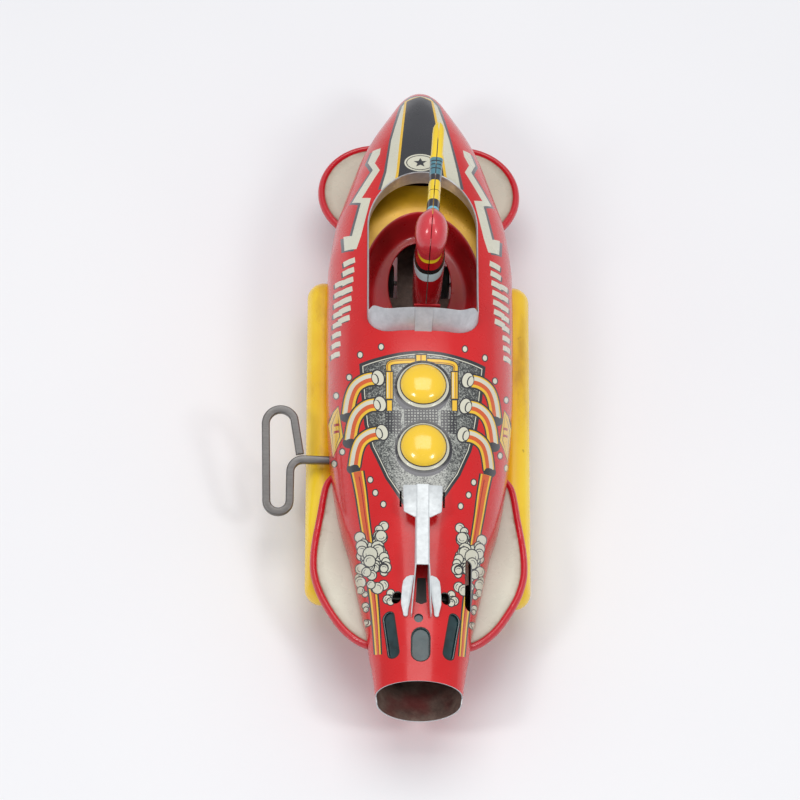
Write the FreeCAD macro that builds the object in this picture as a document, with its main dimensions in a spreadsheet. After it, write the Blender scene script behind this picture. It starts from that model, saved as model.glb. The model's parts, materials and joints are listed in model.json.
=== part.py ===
import FreeCAD, Part
import math
import os
from FreeCAD import Vector, Placement, Rotation

# Clockwork tin space rocket.
# Frame: +Y is forward (nose), +Z up, +X to the right looking forward.
# Origin: on the ground under the middle of the body, in the body's symmetry plane.
# All driving sizes are in the spreadsheet, in millimetres.

os.makedirs("parts", exist_ok=True)
doc = FreeCAD.newDocument("tin_space_rocket")
sheet = doc.addObject("Spreadsheet::Sheet", "dims")

CELLS = [
    ("seam_height", 35.6), ("tin_gauge", 0.5), ("film_gauge", 0.35),
    ("tail_station", -150.0), ("lip_station", -152.5), ("nose_station", 152.5),
    ("cockpit_rear", 6.0), ("cockpit_front", 91.0), ("cockpit_half", 23.3),
    ("pod_radius", 7.0), ("pod_axis_x", 39.9), ("pod_axis_z", 20.3), ("pod_front", 63.0), ("pod_rear", -96.0),
    ("front_fin_radius", 25.0), ("front_fin_x", 18.0), ("front_fin_y", 108.0), ("front_fin_z", 25.0),
    ("rear_fin_z", 31.0), ("fin_bead", 3.0),
    ("dome_radius", 9.3), ("dome_height", 4.4), ("dome_one_y", -20.8), ("dome_two_y", -49.4),
    ("plate_gap", 23.2), ("plate_gauge", 0.8), ("pillar_radius", 1.3),
    ("arbor_y", -33.0), ("arbor_z", 32.0), ("arbor_radius", 2.0), ("arbor_length", 28.0),
    ("second_y", -55.05), ("second_z", 30.0), ("drive_y", -68.55), ("drive_z", 12.5), ("third_y", -77.14), ("third_z", 31.0),
    ("spark_y", -96.2), ("spark_z", 36.0),
    ("train_shaft_radius", 1.2), ("train_shaft_length", 27.0), ("running_gap", 0.05),
    ("gear_module", 0.8), ("great_width", 1.2), ("pinion_width", 3.0), ("wheel_width", 1.0),
    ("axle_radius", 1.4), ("drive_axle_length", 41.0), ("drive_wheel_radius", 12.5), ("drive_wheel_width", 4.6),
    ("front_axle_y", 74.0), ("front_wheel_radius", 8.0), ("front_wheel_width", 3.6), ("front_axle_length", 31.0), ("front_axle_radius", 1.0),
    ("spark_wheel_radius", 15.0), ("spark_wheel_width", 1.2), ("spark_shaft_length", 31.6),
    ("ratchet_radius", 6.5), ("ratchet_width", 1.2),
    ("key_wire", 3.4), ("key_handle_width", 10.0), ("spring_width", 13.5), ("spring_gauge", 0.45),
    ("base_pad_width", 22.0), ("base_pad_length", 26.0),
]
for i, (alias, value) in enumerate(CELLS, 1):
    sheet.set("A%d" % i, alias.replace("_", " "))
    sheet.set("B%d" % i, str(value))
    sheet.setAlias("B%d" % i, alias)
doc.recompute()


def S(alias):
    return float(sheet.get(alias))


GAUGE = S("tin_gauge")
SEAM = S("seam_height")
NODES = []

# ---------------------------------------------------------------- hull form
# Half width, deck height and belly height along the length, and the
# superellipse exponents of the sections above and below the seam.
HALF_WIDTH = [(-153, 17.6), (-147, 18.3), (-137, 19.5), (-130, 20.7), (-121, 21.6), (-113, 23.2), (-100, 25.7),
              (-83, 28.9), (-70, 32.4), (-45, 36.4), (-20, 38.4), (0, 39.0), (30, 39.2), (54.5, 38.9), (70, 37.3),
              (80, 35.7), (87.5, 33.6), (100, 29.9), (115, 25.1), (126, 20.2), (135.6, 14.9), (140.7, 12.1),
              (145.7, 9.2), (150, 5.6), (152.5, 1.6)]
DECK = [(-153, 47.8), (-150, 48.4), (-140, 50.4), (-130, 52.6), (-110, 57), (-80, 64), (-50, 69), (-20, 72), (13, 73),
        (60, 70), (90, 66), (110, 61), (130, 53.6), (140, 48.8), (146, 45), (150, 41), (152.5, 37.4)]
BELLY = [(-153, 21), (-130, 18.8), (-110, 16), (-85, 12), (-60, 10.3), (-30, 10), (30, 10), (60, 10.5), (80, 12),
         (100, 15), (115, 17.5), (130, 20.8), (140, 24), (146, 27.2), (150, 30.6), (152.5, 33.8)]
ROUND_TOP = [(-153, 2.0), (-120, 2.1), (-60, 2.3), (60, 2.3), (120, 2.15), (152.5, 2.0)]
ROUND_LOW = [(-153, 2.0), (-120, 2.2), (-60, 2.5), (60, 2.5), (120, 2.3), (152.5, 2.0)]


def curve(table, x):
    # monotone piecewise cubic through the table
    n = len(table)
    if x <= table[0][0]:
        return table[0][1]
    if x >= table[-1][0]:
        return table[-1][1]
    k = 0
    while table[k + 1][0] < x:
        k += 1

    def slope(j):
        if j <= 0:
            return (table[1][1] - table[0][1]) / (table[1][0] - table[0][0])
        if j >= n - 1:
            return (table[-1][1] - table[-2][1]) / (table[-1][0] - table[-2][0])
        h0 = table[j][0] - table[j - 1][0]
        h1 = table[j + 1][0] - table[j][0]
        d0 = (table[j][1] - table[j - 1][1]) / h0
        d1 = (table[j + 1][1] - table[j][1]) / h1
        if d0 * d1 <= 0:
            return 0.0
        w0 = 2 * h1 + h0
        w1 = h1 + 2 * h0
        return (w0 + w1) / (w0 / d0 + w1 / d1)

    h = table[k + 1][0] - table[k][0]
    u = (x - table[k][0]) / h
    m0, m1 = slope(k) * h, slope(k + 1) * h
    return ((2 * u ** 3 - 3 * u ** 2 + 1) * table[k][1] + (u ** 3 - 2 * u ** 2 + u) * m0
            + (-2 * u ** 3 + 3 * u ** 2) * table[k + 1][1] + (u ** 3 - u ** 2) * m1)


def spow(c, e):
    return math.copysign(abs(c) ** e, c)


def section(y, inset, top, count=12):
    w = max(curve(HALF_WIDTH, y) - inset, 0.5)
    if top:
        rise = max(curve(DECK, y) - SEAM - inset, 0.5)
        n = curve(ROUND_TOP, y)
    else:
        rise = -max(SEAM - curve(BELLY, y) - inset, 0.5)
        n = curve(ROUND_LOW, y)
    pts = []
    for i in range(count + 1):
        a = math.pi * i / count
        pts.append(Vector(w * spow(math.cos(a), 2.0 / n), y, SEAM + rise * spow(math.sin(a), 2.0 / n)))
    pts[0] = Vector(w, y, SEAM)
    pts[-1] = Vector(-w, y, SEAM)
    return pts


def surface_z(x, y, inset=0.0, top=True):
    w = curve(HALF_WIDTH, y) - inset
    n = curve(ROUND_TOP if top else ROUND_LOW, y)
    rise = (curve(DECK, y) - SEAM - inset) if top else -(SEAM - curve(BELLY, y) - inset)
    u = min(abs(x) / w, 1.0)
    return SEAM + rise * (1 - u ** n) ** (1.0 / n)


STATIONS = [-153, -140, -128, -114, -100, -85, -70, -50, -25, 0, 25, 50, 68, 82, 95, 108, 120, 130, 138, 144.5, 149.3, 152.5]


def half_loft(inset, top, first=None, last=None, extra=0.0):
    stations = [y for y in STATIONS if (first is None or y > first) and (last is None or y < last)]
    if first is not None:
        stations = [first] + stations
    if last is not None:
        stations = stations + [last]
    wires = []
    for y in stations:
        pts = section(y, inset, top)
        if extra:
            # a straight skirt past the seam, so that a cutter clears the edge
            step = -extra if top else extra
            pts = [pts[0] + Vector(0, 0, step)] + pts + [pts[-1] + Vector(0, 0, step)]
            spline = Part.BSplineCurve()
            spline.interpolate(pts[1:-1])
            edges = [Part.makeLine(pts[0], pts[1]), spline.toShape(), Part.makeLine(pts[-2], pts[-1]),
                     Part.makeLine(pts[-1], pts[0])]
        else:
            spline = Part.BSplineCurve()
            spline.interpolate(pts)
            edges = [spline.toShape(), Part.makeLine(pts[-1], pts[0])]
        wires.append(Part.Wire(edges))
    return Part.makeLoft(wires, True, False)


def feature(label, shape):
    obj = doc.addObject("Part::Feature", label)
    obj.Label = label
    obj.Shape = shape
    NODES.append(obj)
    return obj


def box(x0, x1, y0, y1, z0, z1):
    return Part.makeBox(x1 - x0, y1 - y0, z1 - z0, Vector(x0, y0, z0))


def prism_z(points, z0, z1):
    wire = Part.makePolygon([Vector(x, y, z0) for x, y in points] + [Vector(points[0][0], points[0][1], z0)])
    return Part.Face(wire).extrude(Vector(0, 0, z1 - z0))


def prism_x(points, x0, x1):
    wire = Part.makePolygon([Vector(x0, y, z) for y, z in points] + [Vector(x0, points[0][0], points[0][1])])
    return Part.Face(wire).extrude(Vector(x1 - x0, 0, 0))


def slot_z(x0, y0, x1, y1, r, z0, z1):
    # round-ended slot through the deck, seen from above
    a = math.atan2(y1 - y0, x1 - x0)
    pts = []
    for i in range(9):
        t = a + math.pi / 2 + math.pi * i / 8
        pts.append((x0 + r * math.cos(t), y0 + r * math.sin(t)))
    for i in range(9):
        t = a - math.pi / 2 + math.pi * i / 8
        pts.append((x1 + r * math.cos(t), y1 + r * math.sin(t)))
    return prism_z(pts, z0, z1)


def biggest(shape):
    solids = shape.Solids
    if not solids:
        raise RuntimeError("no solid")
    return max(solids, key=lambda q: q.Volume)


outer_top = half_loft(0.0, True)
outer_low = half_loft(0.0, False)
inner_top = half_loft(GAUGE, True, last=151.6, extra=2.0)
inner_low = half_loft(GAUGE, False, last=151.6, extra=2.0)
hull = outer_top.fuse(outer_low)

def leaf(points, inset):
    # inset of a closed outline by moving each edge line inwards
    n = len(points)
    area = sum(points[i][0] * points[(i + 1) % n][1] - points[(i + 1) % n][0] * points[i][1] for i in range(n))
    sgn = 1.0 if area > 0 else -1.0
    out = []
    for i in range(n):
        ax, ay = points[i - 1]
        bx, by = points[i]
        cx, cy = points[(i + 1) % n]
        l0, l1 = math.hypot(bx - ax, by - ay), math.hypot(cx - bx, cy - by)
        n0 = (-(by - ay) / l0 * sgn, (bx - ax) / l0 * sgn)
        n1 = (-(cy - by) / l1 * sgn, (cx - bx) / l1 * sgn)
        mx, my = n0[0] + n1[0], n0[1] + n1[1]
        q = max(mx * n0[0] + my * n0[1], 0.45)
        out.append((bx + mx * inset / q, by + my * inset / q))
    return out


# ---------------------------------------------------------------- cockpit outline
C_REAR, C_FRONT, C_HALF = S("cockpit_rear"), S("cockpit_front"), S("cockpit_half")


def cockpit_outline(grow, n=14):
    # rear edge nearly straight with rounded corners, front a round arch
    hw, rear, front = C_HALF + grow, C_REAR - grow, C_FRONT + grow
    r = 8.0 + grow
    arch = 27.0 + grow
    pts = []
    for i in range(7):
        a = math.radians(180 + 90 * i / 6)
        pts.append((-hw + r + r * math.cos(a), rear + r + r * math.sin(a)))
    for i in range(7):
        a = math.radians(270 + 90 * i / 6)
        pts.append((hw - r + r * math.cos(a), rear + r + r * math.sin(a)))
    for i in range(2 * n + 1):
        a = math.radians(180.0 * i / (2 * n))
        pts.append((hw * math.cos(a), front - arch + arch * math.sin(a)))
    return pts


# ---------------------------------------------------------------- upper shell
upper = outer_top.cut(inner_top)
upper = upper.cut(prism_z(cockpit_outline(0.0), 42, 90))
upper = upper.cut(box(-40, 40, -160, S("tail_station"), 30, 60))
for x0, y0, x1, y1, r in [(-13.2, -121.5, -11.0, -137.0, 2.1), (13.9, -121.5, 11.5, -137.0, 2.1)]:
    upper = upper.cut(slot_z(x0, y0, x1, y1, r, 40, 60))
upper = upper.cut(slot_z(0, -131.2, 0, -137.9, 3.65, 40, 60))
upper = upper.cut(slot_z(19.6, -96.5, 19.6, -113.3, 1.45, 40, 66))
for sx in (-1, 1):
    upper = upper.cut(slot_z(sx * 9.9, -113.2, sx * 10.2, -114.6, 1.9, 45, 66))
    upper = upper.cut(box(min(sx * 8.5, sx * 9.3), max(sx * 8.5, sx * 9.3), -76, -69, 60, 75))
upper = upper.cut(Part.makeCylinder(1.9, 20, Vector(-1.0, -123.4, 45)))
domes = None
for yy in (S("dome_one_y"), S("dome_two_y")):
    zz = surface_z(0, yy)
    h, a = S("dome_height"), S("dome_radius")
    rr = (a * a + h * h) / (2 * h)
    ball = Part.makeSphere(rr, Vector(0, yy, zz + h - rr)).common(Part.makeCylinder(a, 20, Vector(0, yy, zz - 3)))
    ring = Part.makeCylinder(10.6, 6, Vector(0, yy, zz - 5.2)).cut(Part.makeCylinder(9.3, 8, Vector(0, yy, zz - 6)))
    ball = ball.fuse(ring).cut(inner_top)
    upper = upper.fuse(ball)
upper = biggest(upper)
feature("upper_shell", upper)

# ---------------------------------------------------------------- lower shell
lower = outer_low.cut(inner_low)
pad_w, pad_l = S("base_pad_width"), S("base_pad_length")
lower = lower.fuse(box(-pad_w / 2, pad_w / 2, 4, 4 + pad_l, 9.5, 10.4))
lower = lower.cut(box(-21.6, 21.6, -84.0, -52.8, 5, 24))
for sx in (-1, 1):
    lower = lower.cut(box(min(sx * 8.6, sx * 14.8), max(sx * 8.6, sx * 14.8), 64.0, 84.0, 5, 20))
lower = lower.cut(Part.makeCylinder(2.6, 30, Vector(-60, S("arbor_y"), S("arbor_z")), Vector(1, 0, 0)))
lower = biggest(lower)
feature("lower_shell", lower)

# ---------------------------------------------------------------- cockpit rim
# strip standing around the opening, high at the back
ring = prism_z(cockpit_outline(-0.15), 45, 90).cut(prism_z(cockpit_outline(-1.1), 44, 91))
side = [(C_REAR - 2, 66.5)]
for y in (12, 20, 30, 40, 50, 60, 70, 80, 86, 92.5):
    side.append((y, surface_z(C_HALF, y) - 3.5 if y < 80 else surface_z(C_HALF, 78) - 3.5))
for y in (92.5, 86, 76, 66, 56, 46, 36, 24, 18, 12, C_REAR - 2):
    lift = 1.4 if y > 24 else 1.4 + (24 - y) * 0.4
    base = surface_z(C_HALF, y) if y < 70 else surface_z(C_HALF * math.sqrt(max(0.0, 1 - ((y - 64) / 27.0) ** 2)), y)
    side.append((y, base + lift))
rim = ring.common(prism_x(side, -40, 40))
rim = biggest(rim)
feature("cockpit_rim", rim)

# ---------------------------------------------------------------- cockpit tub
inner_clear = half_loft(GAUGE + 0.15, True, first=-60, last=130)
flange = prism_z([(-36, 3), (36, 3), (36, 88), (18, 96), (-18, 96), (-36, 88)], 49.4, 49.9).common(inner_clear)


def oval(hw, y0, y1, z, n=36, p=1.9):
    c, l = (y0 + y1) / 2, (y1 - y0) / 2
    pts = [Vector(hw * spow(math.cos(2 * math.pi * i / n), 2 / p), c + l * spow(math.sin(2 * math.pi * i / n), 2 / p), z) for i in range(n)]
    return Part.makePolygon(pts + [pts[0]])


well_out = Part.makeLoft([oval(25.5, 9.3, 82.7, 49.9), oval(22.9, 11.5, 81, 41), oval(20.1, 13.5, 79.5, 35.2)], True, True)
well_in = Part.makeLoft([oval(25.0, 9.8, 82.2, 49.95), oval(22.4, 12, 80.5, 41), oval(19.6, 14, 79, 35.7)], True, True)
tub = flange.fuse(well_out).cut(well_in)
tub = tub.cut(prism_z([(13.3 * math.cos(2 * math.pi * i / 40), 54 + 22 * math.sin(2 * math.pi * i / 40)) for i in range(40)], 30, 38))
tub = biggest(tub)
feature("cockpit_tub", tub)

# strap across the tub's hole that carries the figure
feature("pilot_strap", box(-3, 8, 29.0, 33.0, 35.75, 36.45).fuse(box(-3, 8, 32.9, 33.6, 35.75, 52)).removeSplitter())

# ---------------------------------------------------------------- figure, two embossed stampings
BODY_SIDE = [(34, 38), (34, 60), (35, 70), (37.5, 77), (37.5, 88), (40, 93), (46, 95.5), (53, 94), (57, 88), (57, 81),
             (54, 77), (58, 74), (62, 66), (62, 50), (58, 38)]
ARM_SIDE = [(50, 76), (50, 86), (63.5, 90), (89.5, 90), (101.5, 88.8), (101.5, 86.2), (89.5, 85), (77.5, 84.5), (73.5, 79), (65.5, 77), (62, 72)]
for name, x0, x1, g0, g1 in (("pilot_left_half", -4.6, 2.2, -0.6, 2.2), ("pilot_right_half", 2.5, 9.3, 2.5, 5.3)):
    # each half is open towards the other
    w0, w1 = (x0 + 0.6, x1 + 1) if x0 < 0 else (x0 - 1, x1 - 0.6)
    torso = prism_x(BODY_SIDE, x0, x1)
    arms = prism_x(ARM_SIDE, g0, g1)
    half = torso.fuse(arms).cut(prism_x(leaf(BODY_SIDE, 0.6), w0, w1))
    half.rotate(Vector(2.35, 40, 0), Vector(0, 0, 1), -3.3)
    feature(name, biggest(half))

# ---------------------------------------------------------------- spark window film, behind the tail slots
film = half_loft(GAUGE + 0.7, True, first=-147, last=-118).cut(
    half_loft(GAUGE + 0.7 + S("film_gauge"), True, first=-148, last=-117, extra=2.0)).common(box(-16.5, 16.5, -149, -116, 42, 60))
feature("spark_window_film", biggest(film.cut(upper)))

# ---------------------------------------------------------------- pods
pr, pin = S("pod_radius"), S("pod_radius") - GAUGE
for name, sx in (("pod_left", -1), ("pod_right", 1)):
    px, pz = sx * S("pod_axis_x"), S("pod_axis_z")
    y0, y1 = S("pod_rear"), S("pod_front")

    def capsule(r, a, b):
        prof = [Vector(0, a, 0)]
        for i in range(1, 7):
            t = math.pi / 2 * i / 6
            prof.append(Vector(r * math.sin(t), a + r * (1 - math.cos(t)), 0))
        for i in range(7):
            t = math.pi / 2 * i / 6
            prof.append(Vector(r * math.cos(t), b - r * (1 - math.sin(t)), 0))
        prof[-1] = Vector(0, b, 0)
        face = Part.Face(Part.makePolygon(prof + [prof[0]]))
        s = face.revolve(Vector(0, 0, 0), Vector(0, 1, 0), 360)
        s.translate(Vector(px, 0, pz))
        return s
    tube = capsule(pr, y0, y1).cut(capsule(pin, y0 + GAUGE, y1 - GAUGE))
    tube = tube.cut(box(min(px, px - sx * 12), max(px, px - sx * 12), y0 + 9, y1 - 9, pz - 2.0, pz + 1.0))
    fl = prism_z([(sx * 33, 57), (px, 60), (px, -9), (sx * 35.5, -3), (sx * 33, -1)], pz + pr - 0.75, pz + pr - 0.25)
    fl = fl.cut(hull).cut(capsule(pin + 0.2, y0, y1))
    body = tube.cut(hull).fuse(biggest(fl))
    feature(name, biggest(body))


# ---------------------------------------------------------------- fins, each an upper and a lower stamping
def stamped_fin(outline, zf, up):
    # bead around the edge, flat field, open underneath
    bead = S("fin_bead")
    g = GAUGE
    hgt = 2.2 if up else -1.6
    mid = 1.0 if up else -0.8
    s = 1 if up else -1
    lo, hi = sorted((0.0, hgt))
    body = prism_z(outline, zf + lo, zf + hi)
    body = body.cut(prism_z(leaf(outline, bead), zf + min(mid, mid + s * 9), zf + max(mid, mid + s * 9)))
    inner = prism_z(leaf(outline, g), zf + min(-s * 9, hgt - s * g), zf + max(-s * 9, hgt - s * g))
    keep = prism_z(leaf(outline, bead - g), zf + min(mid - s * g, mid + s * 9), zf + max(mid - s * g, mid + s * 9))
    inner = inner.cut(keep)
    return body.cut(inner)


ffr, ffx, ffy, ffz = S("front_fin_radius"), S("front_fin_x"), S("front_fin_y"), S("front_fin_z")
REAR_LEAF = [(39.3, -43.0), (40.6, -48.0), (42.2, -60.0), (44.8, -74.5), (45.2, -84.0), (44.6, -90.5), (42.3, -98.5),
             (38.2, -107.2), (33.2, -115.7), (27.0, -121.5), (21.0, -124.6), (12, -124.6), (12, -60), (30, -42)]
for side_name, sx in (("left", -1), ("right", 1)):
    disc = [(sx * (ffx + ffr * math.cos(math.radians(a))), ffy + ffr * math.sin(math.radians(a))) for a in range(-90, 91, 6)]
    disc += [(sx * 4, ffy + ffr), (sx * 4, ffy - ffr)]
    if sx < 0:
        disc = disc[::-1]
    rl = [(sx * x, y) for x, y in REAR_LEAF]
    for tag, up in (("upper", True), ("lower", False)):
        feature("front_fin_%s_%s" % (side_name, tag), biggest(stamped_fin(disc, ffz + (0.01 if up else -0.01), up).cut(hull)))
        feature("rear_fin_%s_%s" % (side_name, tag), biggest(stamped_fin(rl, S("rear_fin_z") + (0.01 if up else -0.01), up).cut(hull)))

# ---------------------------------------------------------------- tail fin, folded from one sheet
wall = [(-67.3, 66.5), (-68.5, 70.3), (-107, 69.3), (-115, 62), (-123, 57.2), (-123, 52), (-105, 56), (-80, 62)]
fin = prism_x(wall, -2.9, -2.4).fuse(prism_x(wall, 2.4, 2.9))
strip = [(-68.5, 69.8), (-68.5, 70.3), (-107, 69.3), (-107, 68.8)]
fin = fin.fuse(prism_x(strip, -2.9, 2.9))
fin = fin.fuse(prism_x([(-68.6, 69.8), (-68.6, 70.3), (-84.5, 69.9), (-84.5, 69.4)], -8.2, 8.2))
foot = [(-105.5, 59.0), (-105.5, 59.5), (-123, 56.0), (-123, 55.5)]
fin = fin.fuse(prism_x(foot, 2.4, 8.4)).fuse(prism_x(foot, -8.4, -2.4))
fin = fin.cut(hull)
feature("tail_fin", biggest(fin))


# ---------------------------------------------------------------- turned and cut pieces, as bodies
def body_plane(body, role):
    for f in body.Origin.OriginFeatures:
        if f.Role == role:
            return f
    raise RuntimeError(role)


def add_sketch(body, role, name):
    sk = body.newObject("Sketcher::SketchObject", name)
    sk.AttachmentSupport = [(body_plane(body, role), "")]
    sk.MapMode = "FlatFace"
    return sk


def circle(sk, x, y, alias_or_value):
    import Sketcher
    value = S(alias_or_value) if isinstance(alias_or_value, str) and alias_or_value in [c[0] for c in CELLS] else alias_or_value
    expr = None
    if isinstance(value, str):
        expr = value
        value = 1.0
    g = sk.addGeometry(Part.Circle(Vector(x, y, 0), Vector(0, 0, 1), value), False)
    c = sk.addConstraint(Sketcher.Constraint("Radius", g, value))
    if isinstance(alias_or_value, str):
        if expr is None:
            expr = "dims." + alias_or_value
        sk.setExpression("Constraints[%d]" % c, expr)
    if x == 0 and y == 0:
        sk.addConstraint(Sketcher.Constraint("Coincident", g, 3, -1, 1))
    return g


def polygon(sk, pts):
    lines = []
    n = len(pts)
    for i in range(n):
        a, b = pts[i], pts[(i + 1) % n]
        lines.append(Part.LineSegment(Vector(a[0], a[1], 0), Vector(b[0], b[1], 0)))
    sk.addGeometry(lines, False)


def x_body(label, length_expr, at, outline=None, radius=None, bores=()):
    # a piece cut or turned about X: profile in Y and Z, padded along +X from x = at[0]
    body = doc.addObject("PartDesign::Body", label)
    body.Label = label
    sk = add_sketch(body, "YZ_Plane", label + "_profile")
    if outline is not None:
        polygon(sk, outline)
    if radius is not None:
        circle(sk, 0, 0, radius)
    for bx, by, br in bores:
        circle(sk, bx, by, br)
    pad = body.newObject("PartDesign::Pad", label + "_pad")
    pad.Profile = sk
    pad.setExpression("Length", length_expr)
    sk.Visibility = False
    body.Placement = Placement(Vector(*at), Rotation())
    NODES.append(body)
    return body


def gear_outline(teeth, phase, backlash=0.22, add=0.8, ded=1.08, steps=3):
    m = S("gear_module")
    pa = math.radians(25)
    r = teeth * m / 2
    rb = r * math.cos(pa)
    ra, rf = r + add * m, r - ded * m
    inv = math.tan(pa) - pa
    half = math.pi / (2 * teeth) - backlash / 2 / (2 * r)
    low = max(rb, rf)
    radii = [low + (ra - low) * i / steps for i in range(steps + 1)]
    flank = []
    if rf < rb - 0.01:
        flank.append((rf, half + inv))
    for q in radii:
        al = math.acos(min(1.0, rb / q))
        flank.append((q, half + inv - (math.tan(al) - al)))
    pts = []
    for k in range(teeth):
        c = phase + 2 * math.pi * k / teeth
        for q, a in flank:
            pts.append((q * math.cos(c - a), q * math.sin(c - a)))
        for q, a in reversed(flank):
            pts.append((q * math.cos(c + a), q * math.sin(c + a)))
    return pts


def meshed(za, phase_a, pa, zb, pb):
    th = math.atan2(pb[1] - pa[1], pb[0] - pa[0])
    u = (th - phase_a) * za / (2 * math.pi)
    v = 0.5 - u
    return th + math.pi - v * 2 * math.pi / zb


ARBOR = (S("arbor_y"), S("arbor_z"))
SECOND = (S("second_y"), S("second_z"))
DRIVE = (S("drive_y"), S("drive_z"))
THIRD = (S("third_y"), S("third_z"))
SPARK = (S("spark_y"), S("spark_z"))
for name, a, b, za, zb in (("great/second", ARBOR, SECOND, 44, 11), ("second/drive", SECOND, DRIVE, 44, 11),
                           ("second/third", SECOND, THIRD, 44, 11), ("third/spark", THIRD, SPARK, 38, 11)):
    print("centres", name, round(math.hypot(a[0] - b[0], a[1] - b[1]), 3), "pitch sum", (za + zb) * S("gear_module") / 2)

half_gap = S("plate_gap") / 2
PLATE = [(-12.2, 16), (-12.2, 45), (-58, 51.5), (-100, 48), (-111.8, 42), (-111.8, 27), (-100, 20), (-83.5, 18.5), (-80, 8.5),
         (-58, 8.5), (-56, 14), (-40, 13), (-20, 13)]
PILLARS = [(-14.0, 41.5), (-14.0, 19.5), (-62.0, 49.2), (-103.5, 43.5), (-93.5, 22.0)]
gap_r = "dims.train_shaft_radius + dims.running_gap"
for name, x0 in (("motor_plate_left", -half_gap - S("plate_gauge")), ("motor_plate_right", half_gap)):
    bores = [(ARBOR[0], ARBOR[1], "dims.arbor_radius + dims.running_gap"),
             (SECOND[0], SECOND[1], gap_r), (THIRD[0], THIRD[1], gap_r), (SPARK[0], SPARK[1], gap_r),
             (DRIVE[0], DRIVE[1], "dims.axle_radius + dims.running_gap")]
    x_body(name, "dims.plate_gauge", (x0, 0, 0), outline=PLATE, bores=bores)

pill = None
for y, z in PILLARS:
    c = Part.makeCylinder(S("pillar_radius"), 2 * half_gap, Vector(-half_gap, y, z), Vector(1, 0, 0))
    pill = c if pill is None else pill.fuse(c)
feature("plate_pillars", pill)

# straps that hold the motor between the hull sides, just under the seam
for name, ya, yb in (("motor_strap_front", -12.0, -6.0), ("motor_strap_rear", -117.0, -112.0)):
    wa = min(curve(HALF_WIDTH, ya), curve(HALF_WIDTH, yb)) - GAUGE - 0.25
    feature(name, box(-wa, wa, ya, yb, 34.2, 35.0))

# spring arbor and winding key ratchet
x_body("spring_arbor", "dims.arbor_length", (-15.0, ARBOR[0], ARBOR[1]), radius="arbor_radius")
rat = []
for k in range(12):
    a0 = math.radians(30 * k)
    rat.append((5.2 * math.cos(a0), 5.2 * math.sin(a0)))
    rat.append((S("ratchet_radius") * math.cos(a0), S("ratchet_radius") * math.sin(a0)))
    for f in (10, 20):
        rr = S("ratchet_radius") + (5.2 - S("ratchet_radius")) * f / 30.0
        a1 = math.radians(30 * k + f)
        rat.append((rr * math.cos(a1), rr * math.sin(a1)))
x_body("ratchet_wheel", "dims.ratchet_width", (-8.3, ARBOR[0], ARBOR[1]), outline=rat, bores=[(0, 0, "arbor_radius")])


def polar(pairs):
    return [(q * math.cos(math.radians(a)), q * math.sin(math.radians(a))) for q, a in pairs]


CLICK_PIVOT = polar([(11.5, -56)])[0]
click_pts = polar([(5.45, -2.2), (6.1, -2.2), (7.7, -6), (9.6, -25), (12.4, -42)])
for i in range(7):
    t = math.radians(20 - 35 * i)
    click_pts.append((CLICK_PIVOT[0] + 2.1 * math.cos(t), CLICK_PIVOT[1] + 2.1 * math.sin(t)))
click_pts += polar([(8.6, -40), (6.95, -22), (6.15, -12)])
x_body("click", "dims.ratchet_width", (-8.3, ARBOR[0], ARBOR[1]), outline=click_pts, bores=[(CLICK_PIVOT[0], CLICK_PIVOT[1], 0.95)])
x_body("click_pin", "dims.ratchet_width + 0.55", (-8.65, ARBOR[0] + CLICK_PIVOT[0], ARBOR[1] + CLICK_PIVOT[1]), radius=0.9)

great_phase = 0.0
x_body("great_wheel", "dims.great_width", (-9.85, ARBOR[0], ARBOR[1]), outline=gear_outline(44, great_phase),
       bores=[(0, 0, "dims.arbor_radius + dims.running_gap")])
p2 = meshed(44, great_phase, ARBOR, 11, SECOND)
x_body("second_shaft", "dims.train_shaft_length", (-13.5, SECOND[0], SECOND[1]), radius="train_shaft_radius")
x_body("second_pinion", "dims.pinion_width", (-10.75, SECOND[0], SECOND[1]), outline=gear_outline(11, p2), bores=[(0, 0, "train_shaft_radius")])
x_body("second_wheel", "dims.wheel_width", (9.3, SECOND[0], SECOND[1]), outline=gear_outline(44, 0.0), bores=[(0, 0, "train_shaft_radius")])
pd = meshed(44, 0.0, SECOND, 11, DRIVE)
p3 = meshed(44, 0.0, SECOND, 11, THIRD)
x_body("drive_axle", "dims.drive_axle_length", (-S("drive_axle_length") / 2, DRIVE[0], DRIVE[1]), radius="axle_radius")
x_body("drive_pinion", "dims.pinion_width", (8.3, DRIVE[0], DRIVE[1]), outline=gear_outline(11, pd), bores=[(0, 0, "axle_radius")])
for name, x0 in (("drive_wheel_left", -19.8), ("drive_wheel_right", 19.8 - S("drive_wheel_width"))):
    x_body(name, "dims.drive_wheel_width", (x0, DRIVE[0], DRIVE[1]), radius="drive_wheel_radius", bores=[(0, 0, "axle_radius")])
x_body("third_shaft", "dims.train_shaft_length", (-13.5, THIRD[0], THIRD[1]), radius="train_shaft_radius")
x_body("third_pinion", "dims.pinion_width", (8.3, THIRD[0], THIRD[1]), outline=gear_outline(11, p3), bores=[(0, 0, "train_shaft_radius")])
x_body("third_wheel", "dims.wheel_width", (-3.0, THIRD[0], THIRD[1]), outline=gear_outline(38, 0.0), bores=[(0, 0, "train_shaft_radius")])
ps = meshed(38, 0.0, THIRD, 11, SPARK)
x_body("spark_shaft", "dims.spark_shaft_length", (-13.2, SPARK[0], SPARK[1]), radius="train_shaft_radius")
x_body("spark_pinion", "dims.pinion_width", (-4.0, SPARK[0], SPARK[1]), outline=gear_outline(11, ps), bores=[(0, 0, "train_shaft_radius")])
x_body("spark_wheel", "dims.spark_wheel_width", (17.0, SPARK[0], SPARK[1]), radius="spark_wheel_radius", bores=[(0, 0, "train_shaft_radius")])

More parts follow.
